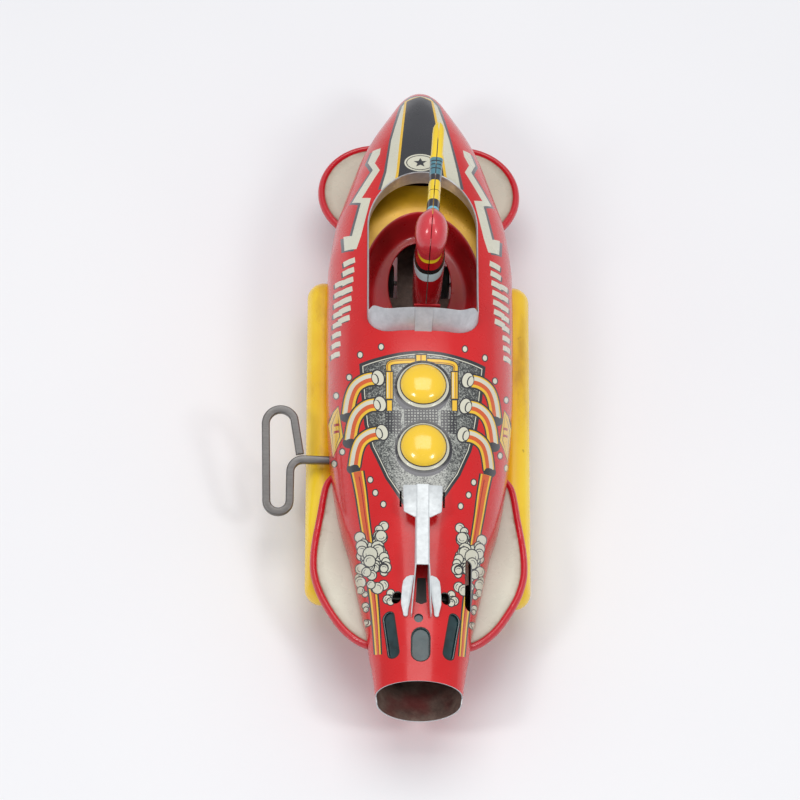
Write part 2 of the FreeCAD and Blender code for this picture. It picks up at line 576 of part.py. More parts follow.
# flint on its sprung arm, resting just off the abrasive wheel
FA = math.radians(22)
fy, fz = SPARK[0] + 15.15 * math.cos(FA), SPARK[1] + 15.15 * math.sin(FA)
fl = box(16.6, 18.6, 0, 2.6, -1.2, 1.2)
fl.rotate(Vector(0, 0, 0), Vector(1, 0, 0), 22)
fl.translate(Vector(0, fy, fz))
feature("flint", fl)
PIV = (-77.5, 27.5)
ey, ez = SPARK[0] + 17.8 * math.cos(FA), SPARK[1] + 17.8 * math.sin(FA)
arm_dir = math.atan2(ez - PIV[1], ey - PIV[0])
arm_len = math.hypot(ez - PIV[1], ey - PIV[0])
cup = box(16.4, 18.8, 2.62, 3.4, -1.6, 1.6)
cup.rotate(Vector(0, 0, 0), Vector(1, 0, 0), 22)
cup.translate(Vector(0, fy, fz))
arm = box(16.9, 18.3, 0, arm_len + 0.6, -0.3, 0.3)
arm.rotate(Vector(0, 0, 0), Vector(1, 0, 0), math.degrees(arm_dir))
arm.translate(Vector(0, PIV[0], PIV[1]))
flint_solid = fl
hub = Part.makeCylinder(2.1, 2.4, Vector(16.4, PIV[0], PIV[1]), Vector(1, 0, 0))
armed = hub.fuse(arm).fuse(cup).cut(Part.makeCylinder(1.05, 20, Vector(10, PIV[0], PIV[1]), Vector(1, 0, 0))).cut(flint_solid)
feature("flint_arm", biggest(armed))
x_body("flint_post", "7.6", (half_gap + S("plate_gauge"), PIV[0], PIV[1]), radius=1.0)

# ---------------------------------------------------------------- mainspring
turns, r0, r1 = 5.2, 3.2, 14.6
sg = S("spring_gauge")
inn, out = [], []
count = 90
end_ang = math.atan2(PILLARS[0][1] - ARBOR[1], PILLARS[0][0] - ARBOR[0])
for i in range(count + 1):
    f = i / count
    a = end_ang - turns * 2 * math.pi * (1 - f)
    q = r0 + (r1 - r0) * f ** 1.15
    inn.append(Vector(0, q * math.cos(a), q * math.sin(a)))
    out.append(Vector(0, (q + sg) * math.cos(a), (q + sg) * math.sin(a)))
b_in, b_out = Part.BSplineCurve(), Part.BSplineCurve()
b_in.interpolate(inn)
b_out.interpolate(out)
wire = Part.Wire([b_in.toShape(), Part.makeLine(inn[-1], out[-1]), b_out.toShape(), Part.makeLine(out[0], inn[0])])
spring = Part.Face(wire).extrude(Vector(S("spring_width"), 0, 0))
spring.translate(Vector(-6.2, ARBOR[0], ARBOR[1]))
feature("mainspring", biggest(spring))

# ---------------------------------------------------------------- winding key, bent square wire
kw = S("key_wire") / 2
TILT = math.radians(69)
UPV = Vector(0, math.sin(TILT), math.cos(TILT))
NRM = Vector(0, -math.cos(TILT), math.sin(TILT))
# centre line in the key's own plane: x along the shank, q across it
KEY = [(-15.0, 0.0), (-47.0, 0.0)]


def arc(cx, cq, r, a0, a1, n):
    return [(cx + r * math.cos(math.radians(a0 + (a1 - a0) * i / n)), cq + r * math.sin(math.radians(a0 + (a1 - a0) * i / n))) for i in range(n + 1)]


KEY = [(-14.9, 0.0)] + arc(-48.4, -5.2, 5.2, 90, 180, 5) + arc(-58.45, -17.6, 4.85, 0, -180, 10) \
    + arc(-58.0, 15.0, 6.2, 180, 25, 9) + [(-49.7, 2.4)]


def wire_solid(path, hw):
    # square bar along a plane path, mitred at each bend
    left, right = [], []
    n = len(path)
    for i, (x, q) in enumerate(path):
        if i == 0:
            dx, dq = path[1][0] - x, path[1][1] - q
            l = math.hypot(dx, dq)
            nx, nq, sc = -dq / l, dx / l, 1.0
        elif i == n - 1:
            dx, dq = x - path[-2][0], q - path[-2][1]
            l = math.hypot(dx, dq)
            nx, nq, sc = -dq / l, dx / l, 1.0
        else:
            ax, aq = x - path[i - 1][0], q - path[i - 1][1]
            bx, bq = path[i + 1][0] - x, path[i + 1][1] - q
            la, lb = math.hypot(ax, aq), math.hypot(bx, bq)
            n0 = (-aq / la, ax / la)
            n1 = (-bq / lb, bx / lb)
            nx, nq = n0[0] + n1[0], n0[1] + n1[1]
            l = math.hypot(nx, nq)
            nx, nq = nx / l, nq / l
            sc = 1.0 / max(nx * n0[0] + nq * n0[1], 0.3)
        left.append((x + nx * hw * sc, q + nq * hw * sc))
        right.append((x - nx * hw * sc, q - nq * hw * sc))
    outline = left + right[::-1]
    base = Vector(0, ARBOR[0], ARBOR[1])
    pts = [base + Vector(x, 0, 0) + UPV * q - NRM * hw for x, q in outline]
    return Part.Face(Part.makePolygon(pts + [pts[0]])).extrude(NRM * (2 * hw))


key = wire_solid(KEY, kw)
shank_clear = Part.makeCylinder(2.35, 22, Vector(-36.9, ARBOR[0], ARBOR[1]), Vector(1, 0, 0))
# the shank is turned round where it passes through the hull and into the arbor socket
key_round = Part.makeCylinder(1.7, 25.0, Vector(-40.0, ARBOR[0], ARBOR[1]), Vector(1, 0, 0))
key = key.cut(box(-40.0, -10, ARBOR[0] - 6, ARBOR[0] + 6, ARBOR[1] - 6, ARBOR[1] + 6)).fuse(key_round)
feature("winding_key", biggest(key))

# ---------------------------------------------------------------- front axle
fay, fr = S("front_axle_y"), S("front_wheel_radius")
x_body("front_axle", "dims.front_axle_length", (-S("front_axle_length") / 2, fay, fr), radius="front_axle_radius")
for name, x0 in (("front_wheel_left", -13.6), ("front_wheel_right", 13.6 - S("front_wheel_width"))):
    x_body(name, "dims.front_wheel_width", (x0, fay, fr), radius="front_wheel_radius", bores=[(0, 0, "front_axle_radius")])
BRK = [(fay - 3.2, 5.0), (fay + 3.2, 5.0), (fay + 5.0, 14.0), (fay - 5.0, 14.0)]
bracket = None
for x0 in (-7.6, 6.8):
    ear = prism_x(BRK, x0, x0 + 0.8).cut(Part.makeCylinder(S("front_axle_radius") + S("running_gap"), 4, Vector(x0 - 1, fay, fr), Vector(1, 0, 0)))
    bracket = ear if bracket is None else bracket.fuse(ear)
bracket = bracket.fuse(box(-7.6, 7.6, fay - 5, fay + 5, 10.2, 11.0)).cut(hull)
feature("front_axle_bracket", biggest(bracket))

# ---------------------------------------------------------------- check and write
doc.recompute()
bad = []
for obj in doc.Objects:
    if "Invalid" in obj.State or "Error" in obj.State:
        bad.append("%s %s" % (obj.Label, obj.State))
for obj in NODES:
    sh = obj.Shape
    if sh.isNull() or not sh.isValid() or not sh.Solids:
        bad.append("shape " + obj.Label)
if bad:
    raise RuntimeError("; ".join(bad))
if len(NODES) > 60:
    raise RuntimeError("too many nodes")
for obj in NODES:
    sh = obj.Shape
    b = sh.BoundBox
    print("%-24s solids %d faces %4d vol %9.1f  x %7.2f %7.2f  y %7.2f %7.2f  z %6.2f %6.2f" % (
        obj.Label, len(sh.Solids), len(sh.Faces), sh.Volume, b.XMin, b.XMax, b.YMin, b.YMax, b.ZMin, b.ZMax))
    sh.exportStep("parts/%s.step" % obj.Label)
print("nodes", len(NODES))
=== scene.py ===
import bpy, bmesh, math, json, random
from mathutils import Vector, Matrix
from mathutils.geometry import delaunay_2d_cdt


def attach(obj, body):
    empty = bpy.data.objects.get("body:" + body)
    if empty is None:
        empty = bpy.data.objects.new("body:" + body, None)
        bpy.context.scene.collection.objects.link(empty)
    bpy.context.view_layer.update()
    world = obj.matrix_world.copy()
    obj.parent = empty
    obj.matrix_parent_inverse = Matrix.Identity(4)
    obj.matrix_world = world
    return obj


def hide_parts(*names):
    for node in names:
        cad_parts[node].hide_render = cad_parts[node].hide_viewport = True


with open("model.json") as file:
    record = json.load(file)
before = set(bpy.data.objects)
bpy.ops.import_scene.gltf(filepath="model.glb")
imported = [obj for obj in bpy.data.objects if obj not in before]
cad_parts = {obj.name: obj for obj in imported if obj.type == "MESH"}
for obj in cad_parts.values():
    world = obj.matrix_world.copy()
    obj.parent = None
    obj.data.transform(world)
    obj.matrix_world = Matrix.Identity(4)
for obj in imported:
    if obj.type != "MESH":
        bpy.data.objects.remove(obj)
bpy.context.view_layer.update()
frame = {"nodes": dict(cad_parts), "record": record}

MM = 0.001
NODES = frame["nodes"]
SCN = bpy.context.scene

# ------------------------------------------------------------------ hull form, as in the CAD model (mm)
SEAM = 35.6
GAUGE = 0.5
HALF_WIDTH = [(-153, 17.6), (-147, 18.3), (-137, 19.5), (-130, 20.7), (-121, 21.6), (-113, 23.2), (-100, 25.7),
              (-83, 28.9), (-70, 32.4), (-45, 36.4), (-20, 38.4), (0, 39.0), (30, 39.2), (54.5, 38.9), (70, 37.3),
              (80, 35.7), (87.5, 33.6), (100, 29.9), (115, 25.1), (126, 20.2), (135.6, 14.9), (140.7, 12.1),
              (145.7, 9.2), (150, 5.6), (152.5, 1.6)]
DECK = [(-153, 47.8), (-150, 48.4), (-140, 50.4), (-130, 52.6), (-110, 57), (-80, 64), (-50, 69), (-20, 72), (13, 73),
        (60, 70), (90, 66), (110, 61), (130, 53.6), (140, 48.8), (146, 45), (150, 41), (152.5, 37.4)]
BELLY = [(-153, 21), (-130, 18.8), (-110, 16), (-85, 12), (-60, 10.3), (-30, 10), (30, 10), (60, 10.5), (80, 12),
         (100, 15), (115, 17.5), (130, 20.8), (140, 24), (146, 27.2), (150, 30.6), (152.5, 33.8)]
ROUND_TOP = [(-153, 2.0), (-120, 2.1), (-60, 2.3), (60, 2.3), (120, 2.15), (152.5, 2.0)]
ROUND_LOW = [(-153, 2.0), (-120, 2.2), (-60, 2.5), (60, 2.5), (120, 2.3), (152.5, 2.0)]


def curve(table, x):
    # monotone piecewise cubic through the table
    n = len(table)
    if x <= table[0][0]:
        return table[0][1]
    if x >= table[-1][0]:
        return table[-1][1]
    k = 0
    while table[k + 1][0] < x:
        k += 1

    def slope(j):
        if j <= 0:
            return (table[1][1] - table[0][1]) / (table[1][0] - table[0][0])
        if j >= n - 1:
            return (table[-1][1] - table[-2][1]) / (table[-1][0] - table[-2][0])
        h0 = table[j][0] - table[j - 1][0]
        h1 = table[j + 1][0] - table[j][0]
        d0 = (table[j][1] - table[j - 1][1]) / h0
        d1 = (table[j + 1][1] - table[j][1]) / h1
        if d0 * d1 <= 0:
            return 0.0
        w0 = 2 * h1 + h0
        w1 = h1 + 2 * h0
        return (w0 + w1) / (w0 / d0 + w1 / d1)

    h = table[k + 1][0] - table[k][0]
    u = (x - table[k][0]) / h
    m0, m1 = slope(k) * h, slope(k + 1) * h
    return ((2 * u ** 3 - 3 * u ** 2 + 1) * table[k][1] + (u ** 3 - 2 * u ** 2 + u) * m0
            + (-2 * u ** 3 + 3 * u ** 2) * table[k + 1][1] + (u ** 3 - u ** 2) * m1)


def spow(c, e):
    return math.copysign(abs(c) ** e, c)


def spow(c, e):
    return math.copysign(abs(c) ** e, c)


_cache = {}


def cv(name, y):
    key = (name, round(y, 3))
    if key not in _cache:
        _cache[key] = curve({"W": HALF_WIDTH, "D": DECK, "B": BELLY, "NT": ROUND_TOP, "NL": ROUND_LOW}[name], y)
    return _cache[key]


def hull_pt(a, y, inset=0.0, top=True):
    """Point of the hull skin at section angle a (0 right, pi left) and station y, in mm."""
    w = max(cv("W", y) - inset, 0.4)
    if top:
        rise = max(cv("D", y) - SEAM - inset, 0.4)
        n = cv("NT", y)
    else:
        rise = -max(SEAM - cv("B", y) - inset, 0.4)
        n = cv("NL", y)
    c, s = math.cos(a), max(math.sin(a), 0.0)
    return Vector((w * spow(c, 2.0 / n), y, SEAM + rise * (s ** (2.0 / n))))


def surf_z(x, y, top=True, inset=0.0):
    w = cv("W", y) - inset
    n = cv("NT" if top else "NL", y)
    rise = (cv("D", y) - SEAM - inset) if top else -(SEAM - cv("B", y) - inset)
    u = min(abs(x) / w, 1.0)
    return SEAM + rise * (1 - u ** n) ** (1.0 / n)


def angle_of(x, y):
    w = cv("W", y)
    n = cv("NT", y)
    u = max(-1.0, min(1.0, x / w))
    return math.acos(spow(u, n / 2.0))


# ------------------------------------------------------------------ material helpers
def lin(c):
    return tuple(((v / 255.0) / 12.92 if v / 255.0 <= 0.04045 else ((v / 255.0 + 0.055) / 1.055) ** 2.4) for v in c) + (1.0,)


class Mat:
    def __init__(self, name):
        self.m = bpy.data.materials.new(name)
        self.m.use_nodes = True
        self.nt = self.m.node_tree
        self.b = self.nt.nodes["Principled BSDF"]
        self.coord = self.nt.nodes.new("ShaderNodeTexCoord")

    def n(self, kind, **kw):
        node = self.nt.nodes.new(kind)
        for k, v in kw.items():
            setattr(node, k, v)
        return node

    def link(self, a, b):
        self.nt.links.new(a, b)

    def noise(self, scale, detail=4, rough=0.55, stretch=None, lac=2.0):
        src = self.coord.outputs["Object"]
        if stretch:
            mp = self.n("ShaderNodeMapping")
            mp.inputs["Scale"].default_value = stretch
            self.link(src, mp.inputs["Vector"])
            src = mp.outputs["Vector"]
        nz = self.n("ShaderNodeTexNoise")
        nz.inputs["Scale"].default_value = scale
        nz.inputs["Detail"].default_value = detail
        nz.inputs["Roughness"].default_value = rough
        self.link(src, nz.inputs["Vector"])
        return nz.outputs["Fac"]

    def ramp(self, fac, stops, interp="LINEAR"):
        r = self.n("ShaderNodeValToRGB")
        r.color_ramp.interpolation = interp
        el = r.color_ramp.elements
        while len(el) < len(stops):
            el.new(0.5)
        for e, (p, c) in zip(el, stops):
            e.position = p
            e.color = c if len(c) == 4 else (*c, 1.0)
        self.link(fac, r.inputs["Fac"])
        return r.outputs["Color"]

    def mix(self, fac, a, b, mode="MIX"):
        mx = self.n("ShaderNodeMix", data_type="RGBA", blend_type=mode)
        for sock, v in ((mx.inputs[0], fac), (mx.inputs[6], a), (mx.inputs[7], b)):
            if hasattr(v, "links"):
                self.link(v, sock)
            else:
                sock.default_value = v
        return mx.outputs[2]

    def bump(self, height, strength, dist=0.0002, normal=None):
        bp = self.n("ShaderNodeBump")
        bp.inputs["Strength"].default_value = strength
        bp.inputs["Distance"].default_value = dist
        self.link(height, bp.inputs["Height"])
        if normal is not None:
            self.link(normal, bp.inputs["Normal"])
        return bp.outputs["Normal"]

    def base(self, v):
        if hasattr(v, "links"):
            self.link(v, self.b.inputs["Base Color"])
        else:
            self.b.inputs["Base Color"].default_value = v

    def rough(self, v):
        if hasattr(v, "links"):
            self.link(v, self.b.inputs["Roughness"])
        else:
            self.b.inputs["Roughness"].default_value = v

    def setb(self, **kw):
        for k, v in kw.items():
            self.b.inputs[k.replace("_", " ")].default_value = v


def g(v):
    return (v, v, v, 1.0)


def tin_print(name, rgb, var=0.10, specks=0.35, rough=0.26, coat=0.55, dirt=(60, 38, 26), grime=0.0):
    """Lithographed and varnished tin: colour with slight fade, fine rubs and pin-hole specks under a gloss varnish."""
    m = Mat(name)
    c = lin(rgb)
    big = m.noise(38, 3)
    dark = tuple(v * (1 - var) for v in c[:3]) + (1,)
    light = tuple(min(1, v * (1 + var * 0.7) + 0.004) for v in c[:3]) + (1,)
    col = m.ramp(big, [(0.3, dark), (0.7, light)])
    fine = m.noise(900, 5, 0.7)
    col = m.mix(m.ramp(fine, [(0.70, g(0)), (0.76, g(specks))]), col, lin(dirt))
    scr = m.noise(240, 6, 0.75, stretch=(9, 0.5, 9))
    col = m.mix(m.ramp(scr, [(0.70, g(0)), (0.75, g(0.16))]), col, lin((205, 190, 170)))
    if grime:
        gr = m.noise(22, 5, 0.6)
        col = m.mix(m.ramp(gr, [(0.48, g(0)), (0.72, g(grime))]), col, lin((70, 48, 30)))
    m.base(col)
    m.rough(m.ramp(m.noise(130, 4, 0.6), [(0.3, g(rough - 0.05)), (0.75, g(rough + 0.12))]))
    m.setb(Metallic=0.0, Coat_Weight=coat, Coat_Roughness=0.10)
    h = m.noise(70, 2, 0.4)
    nn = m.bump(h, 0.10, 0.0006)
    nn = m.bump(m.noise(700, 3, 0.5), 0.05, 0.0001, nn)
    m.link(nn, m.b.inputs["Normal"])
    return m.m


def bare_metal(name, rgb, rough=0.34, metallic=0.9, streak=None, tarnish=0.3, tint=(90, 80, 70), bump=0.12):
    m = Mat(name)
    c = lin(rgb)
    st = m.noise(420, 5, 0.6, stretch=streak or (1, 1, 1))
    col = m.ramp(st, [(0.25, tuple(v * 0.82 for v in c[:3])), (0.75, tuple(min(1, v * 1.1) for v in c[:3]))])
    col = m.mix(m.ramp(m.noise(55, 4, 0.6), [(0.5, g(0)), (0.8, g(tarnish))]), col, lin(tint))
    m.base(col)
    m.rough(m.ramp(m.noise(160, 5, 0.65), [(0.25, g(max(rough - 0.08, 0.05))), (0.8, g(rough + 0.16))]))
    m.setb(Metallic=metallic)
    nn = m.bump(st, bump, 0.00015)
    m.link(nn, m.b.inputs["Normal"])
    return m.m


# ------------------------------------------------------------------ mesh helpers
def new_obj(name, verts, faces, mats, face_mats=None, smooth=True, normals=None):
    me = bpy.data.meshes.new(name)
    me.from_pydata([tuple(c * MM for c in v) for v in verts], [], faces)
    for m in mats:
        me.materials.append(m)
    if face_mats:
        me.polygons.foreach_set("material_index", face_mats)
    me.polygons.foreach_set("use_smooth", [smooth] * len(me.polygons))
    me.update()
    if normals is not None:
        me.normals_split_custom_set_from_vertices([tuple(n) for n in normals])
    ob = bpy.data.objects.new(name, me)
    SCN.collection.objects.link(ob)
    return ob


def finish_mesh(ob, angle=35, bevel=None, subsurf=0, merge=0.00001):
    """Weld, orient outwards, then bevel or subdivide and apply, with sharp edges kept."""
    bm = bmesh.new()
    bm.from_mesh(ob.data)
    bmesh.ops.remove_doubles(bm, verts=bm.verts, dist=merge)
    bmesh.ops.recalc_face_normals(bm, faces=bm.faces)
    bm.to_mesh(ob.data)
    bm.free()
    if bevel:
        md = ob.modifiers.new("bevel", "BEVEL")
        md.width = bevel[0] * MM
        md.segments = bevel[1]
        md.limit_method = "ANGLE"
        md.angle_limit = math.radians(bevel[2] if len(bevel) > 2 else 40)
        md.harden_normals = False
    if subsurf:
        md = ob.modifiers.new("sub", "SUBSURF")
        md.levels = md.render_levels = subsurf
    if ob.modifiers:
        dg = bpy.context.evaluated_depsgraph_get()
        me = bpy.data.meshes.new_from_object(ob.evaluated_get(dg), depsgraph=dg)
        old = ob.data
        ob.modifiers.clear()
        ob.data = me
        bpy.data.meshes.remove(old)
    ob.data.polygons.foreach_set("use_smooth", [True] * len(ob.data.polygons))
    ob.data.set_sharp_from_angle(angle=math.radians(angle))
    return ob


def loft(rings, closed=True, cap0=True, cap1=True):
    verts, faces = [], []
    n = len(rings[0])
    for r in rings:
        verts += [tuple(p) for p in r]
    for i in range(len(rings) - 1):
        for j in range(n if closed else n - 1):
            a = i * n + j
            b = i * n + (j + 1) % n
            faces.append((a, b, b + n, a + n))
    if cap0:
        faces.append(tuple(range(n))[::-1])
    if cap1:
        faces.append(tuple(range((len(rings) - 1) * n, len(rings) * n)))
    return verts, faces


def lathe_x(profile, cy, cz, seg=64):
    """Closed profile of (x, r) turned about the X axis through (cy, cz)."""
    verts, faces = [], []
    n = len(profile)
    for k in range(seg):
        t = 2 * math.pi * k / seg
        for x, r in profile:
            verts.append((x, cy + r * math.cos(t), cz + r * math.sin(t)))
    for k in range(seg):
        for i in range(n):
            a = k * n + i
            b = k * n + (i + 1) % n
            c = ((k + 1) % seg) * n + (i + 1) % n
            d = ((k + 1) % seg) * n + i
            faces.append((a, b, c, d))
    return verts, faces


def merge_parts(parts):
    verts, faces, fm = [], [], []
    for v, f, m in parts:
        o = len(verts)
        verts += list(v)
        faces += [tuple(i + o for i in q) for q in f]
        fm += [m] * len(f) if isinstance(m, int) else list(m)
    return verts, faces, fm


def inset_loop(points, d):
    n = len(points)
    area = sum(points[i][0] * points[(i + 1) % n][1] - points[(i + 1) % n][0] * points[i][1] for i in range(n))
    sgn = 1.0 if area > 0 else -1.0
    out = []
    for i in range(n):
        ax, ay = points[i - 1]
        bx, by = points[i]
        cx, cy = points[(i + 1) % n]
        l0, l1 = math.hypot(bx - ax, by - ay) or 1e-9, math.hypot(cx - bx, cy - by) or 1e-9
        n0 = (-(by - ay) / l0 * sgn, (bx - ax) / l0 * sgn)
        n1 = (-(cy - by) / l1 * sgn, (cx - bx) / l1 * sgn)
        mx, my = n0[0] + n1[0], n0[1] + n1[1]
        q = max(mx * n0[0] + my * n0[1], 0.5)
        out.append((bx + mx * d / q, by + my * d / q))
    return out


def catmull(path, n=6, closed=False):
    out = []
    m = len(path)
    for i in range(m if closed else m - 1):
        if closed:
            p = [path[i - 1], path[i], path[(i + 1) % m], path[(i + 2) % m]]
        else:
            p = [path[max(i - 1, 0)], path[i], path[i + 1], path[min(i + 2, m - 1)]]
        for j in range(n):
            t = j / n
            out.append(tuple(0.5 * (2 * p[1][c] + (p[2][c] - p[0][c]) * t + (2 * p[0][c] - 5 * p[1][c] + 4 * p[2][c] - p[3][c]) * t * t
                                    + (3 * p[1][c] - p[0][c] - 3 * p[2][c] + p[3][c]) * t ** 3) for c in range(len(p[0]))))
    if not closed:
        out.append(tuple(path[-1]))
    return out

# ------------------------------------------------------------------ materials
RED = (208, 20, 24)
M = {}
M["red"] = tin_print("litho_red", RED, var=0.06, specks=0.22, rough=0.24, coat=0.35)
M["red"].node_tree.nodes["Principled BSDF"].inputs["Specular IOR Level"].default_value = 0.38
M["red2"] = tin_print("litho_deep_red", (170, 26, 30), var=0.06)
M["cream"] = tin_print("litho_cream", (214, 212, 192), var=0.05, specks=0.3)
M["black"] = tin_print("litho_black", (42, 42, 46), var=0.15, specks=0.12, dirt=(90, 85, 80))
M["grey"] = tin_print("litho_grey", (84, 84, 90), var=0.12, specks=0.2)
M["yellow"] = tin_print("litho_yellow", (238, 190, 44), var=0.06, specks=0.25)
M["ochre"] = tin_print("litho_ochre", (176, 120, 34), var=0.1)
M["orange"] = tin_print("litho_orange", (214, 92, 36), var=0.08)
M["blue"] = tin_print("litho_blue", (112, 168, 184), var=0.08)
M["palered"] = tin_print("litho_pale_red", (200, 60, 62), var=0.06)
# near-black print used as painted shadow round the tail windows and as painted shade between the tail fin's rear walls
M["shade"] = tin_print("painted_shade_print", (34, 28, 24), var=0.3, specks=0.4, rough=0.6, coat=0.0, dirt=(90, 70, 56))
M["dome"] = tin_print("dome_yellow", (250, 205, 40), var=0.07, specks=0.12, rough=0.2, coat=0.8)


def stipple_panel():
    # grey-silver panel with a coarse air-brushed stipple, darker towards its edges
    m = Mat("litho_panel")
    a = m.noise(1500, 3, 0.8)
    b = m.noise(420, 4, 0.7)
    sep = m.n("ShaderNodeSeparateXYZ")
    m.link(m.coord.outputs["Object"], sep.inputs["Vector"])
    ax = m.n("ShaderNodeMath", operation="ABSOLUTE")
    m.link(sep.outputs["X"], ax.inputs[0])
    edge = m.n("ShaderNodeMapRange")
    edge.inputs["From Min"].default_value = 0.006
    edge.inputs["From Max"].default_value = 0.024
    edge.inputs["To Min"].default_value = -0.05
    edge.inputs["To Max"].default_value = 0.10
    m.link(ax.outputs[0], edge.inputs["Value"])
    add = m.n("ShaderNodeMath", operation="ADD")
    m.link(a, add.inputs[0])
    m.link(edge.outputs[0], add.inputs[1])
    add2 = m.n("ShaderNodeMath", operation="MULTIPLY_ADD")
    m.link(b, add2.inputs[0])
    add2.inputs[1].default_value = 0.35
    m.link(add.outputs[0], add2.inputs[2])
    col = m.ramp(add2.outputs[0], [(0.58, lin((176, 178, 170))), (0.66, lin((128, 131, 126))), (0.76, lin((52, 54, 54)))])
    m.base(col)
    m.rough(m.ramp(m.noise(130, 4), [(0.3, g(0.24)), (0.75, g(0.36))]))
    m.setb(Coat_Weight=0.5, Coat_Roughness=0.1)
    m.link(m.bump(m.noise(70, 2, 0.4), 0.10, 0.0006), m.b.inputs["Normal"])
    return m.m


M["panel"] = stipple_panel()


def lacquer_inside():
    # gold-brown lacquer wash inside the shell
    m = Mat("inside_lacquer")
    col = m.ramp(m.noise(60, 5, 0.6), [(0.3, lin((120, 84, 16))), (0.55, lin((176, 132, 30))), (0.75, lin((206, 168, 70)))])
    m.base(col)
    m.rough(m.ramp(m.noise(90, 4), [(0.3, g(0.3)), (0.8, g(0.5))]))
    m.setb(Metallic=0.55, Coat_Weight=0.3, Coat_Roughness=0.2)
    m.link(m.bump(m.noise(60, 3), 0.15, 0.0005), m.b.inputs["Normal"])
    return m.m


M["inside"] = lacquer_inside()


def gold_lacquer():
    m = Mat("gold_lacquer")
    col = m.ramp(m.noise(34, 4, 0.6), [(0.3, lin((170, 122, 14))), (0.6, lin((214, 164, 30))), (0.8, lin((228, 190, 80)))])
    m.base(col)
    m.rough(m.ramp(m.noise(90, 4), [(0.3, g(0.24)), (0.8, g(0.4))]))
    m.setb(Metallic=0.35, Coat_Weight=0.4, Coat_Roughness=0.15)
    m.link(m.bump(m.noise(40, 3), 0.2, 0.0008), m.b.inputs["Normal"])
    return m.m


M["gold"] = gold_lacquer()


def pod_paint():
    m = Mat("pod_yellow")
    col = m.ramp(m.noise(30, 3), [(0.3, lin((244, 196, 28))), (0.7, lin((255, 220, 52)))])
    sep = m.n("ShaderNodeSeparateXYZ")
    nrm = m.n("ShaderNodeNewGeometry")
    m.link(nrm.outputs["Normal"], sep.inputs["Vector"])
    # brownish blotches on upward faces only, made rougher there: stain together with a painted reflection of the red
    # body
    stain_and_reflection = m.noise(48, 5, 0.62, stretch=(1.6, 0.55, 1.0))
    up = m.ramp(sep.outputs["Z"], [(0.35, g(0)), (0.95, g(1))])
    mask = m.mix(1.0, m.ramp(stain_and_reflection, [(0.50, g(0)), (0.68, g(0.6))]), up, "MULTIPLY")
    col = m.mix(mask, col, lin((176, 122, 34)))
    spots = m.noise(150, 3, 0.6)
    col = m.mix(m.ramp(spots, [(0.68, g(0)), (0.74, g(0.45))]), col, lin((120, 78, 28)))
    m.base(col)
    rr = m.mix(mask, g(0.26), g(0.5))
    m.rough(rr)
    m.setb(Coat_Weight=0.35, Coat_Roughness=0.12)
    m.link(m.bump(m.noise(80, 3), 0.12, 0.0005), m.b.inputs["Normal"])
    return m.m


M["pod"] = pod_paint()
M["silver"] = bare_metal("silvered_tin", (216, 221, 222), rough=0.42, metallic=0.35, tarnish=0.14, tint=(170, 170, 164), bump=0.05)
M["rim"] = bare_metal("rim_tin", (206, 207, 210), rough=0.34, metallic=0.55, tarnish=0.25, tint=(120, 118, 116), bump=0.08)
M["keysteel"] = bare_metal("key_steel", (124, 122, 120), rough=0.40, metallic=0.9, streak=(0.6, 3, 3), tarnish=0.35, tint=(88, 78, 66), bump=0.2)
M["steel"] = bare_metal("works_steel", (132, 130, 126), rough=0.38, metallic=0.95, tarnish=0.5, tint=(92, 74, 56), bump=0.15)
M["brass"] = bare_metal("works_brass", (186, 148, 74), rough=0.34, metallic=0.95, tarnish=0.45, tint=(112, 84, 40), bump=0.12)
M["spring"] = bare_metal("spring_blue_steel", (74, 82, 102), rough=0.28, metallic=0.95, tarnish=0.3, tint=(70, 60, 54), bump=0.1)
M["dusty"] = bare_metal("dusty_tin", (92, 84, 76), rough=0.6, metallic=0.35, tarnish=0.7, tint=(66, 54, 46), bump=0.3)
M["tub"] = tin_print("tub_red", (186, 22, 32), var=0.12, specks=0.3, rough=0.3, grime=0.25)


def grit():
    m = Mat("abrasive_disc")
    v = m.n("ShaderNodeTexVoronoi")
    v.inputs["Scale"].default_value = 1800
    m.link(m.coord.outputs["Object"], v.inputs["Vector"])
    m.base(m.ramp(m.noise(900, 5, 0.8), [(0.35, lin((60, 50, 44))), (0.6, lin((112, 98, 86))), (0.8, lin((150, 140, 128)))]))
    m.rough(m.ramp(m.noise(300, 3), [(0.3, g(0.78)), (0.8, g(0.92))]))
    m.link(m.bump(v.outputs["Distance"], 0.8, 0.0003), m.b.inputs["Normal"])
    return m.m


M["grit"] = grit()


def film_mat():
    m = Mat("teal_film")
    m.base(m.ramp(m.noise(120, 4), [(0.3, lin((14, 32, 34))), (0.7, lin((38, 70, 74)))]))
    m.rough(m.ramp(m.noise(200, 4), [(0.3, g(0.12)), (0.8, g(0.3))]))
    m.setb(Coat_Weight=0.3, Coat_Roughness=0.12)
    m.link(m.bump(m.noise(90, 3), 0.4, 0.0006), m.b.inputs["Normal"])
    return m.m


M["film"] = film_mat()


def rubber_mat():
    m = Mat("tyre_rubber")
    m.base(m.ramp(m.noise(300, 5, 0.7), [(0.3, lin((28, 28, 29))), (0.75, lin((56, 54, 52)))]))
    m.rough(m.ramp(m.noise(160, 4), [(0.3, g(0.55)), (0.8, g(0.78))]))
    m.link(m.bump(m.noise(900, 4, 0.7), 0.35, 0.0002), m.b.inputs["Normal"])
    return m.m


M["rubber"] = rubber_mat()


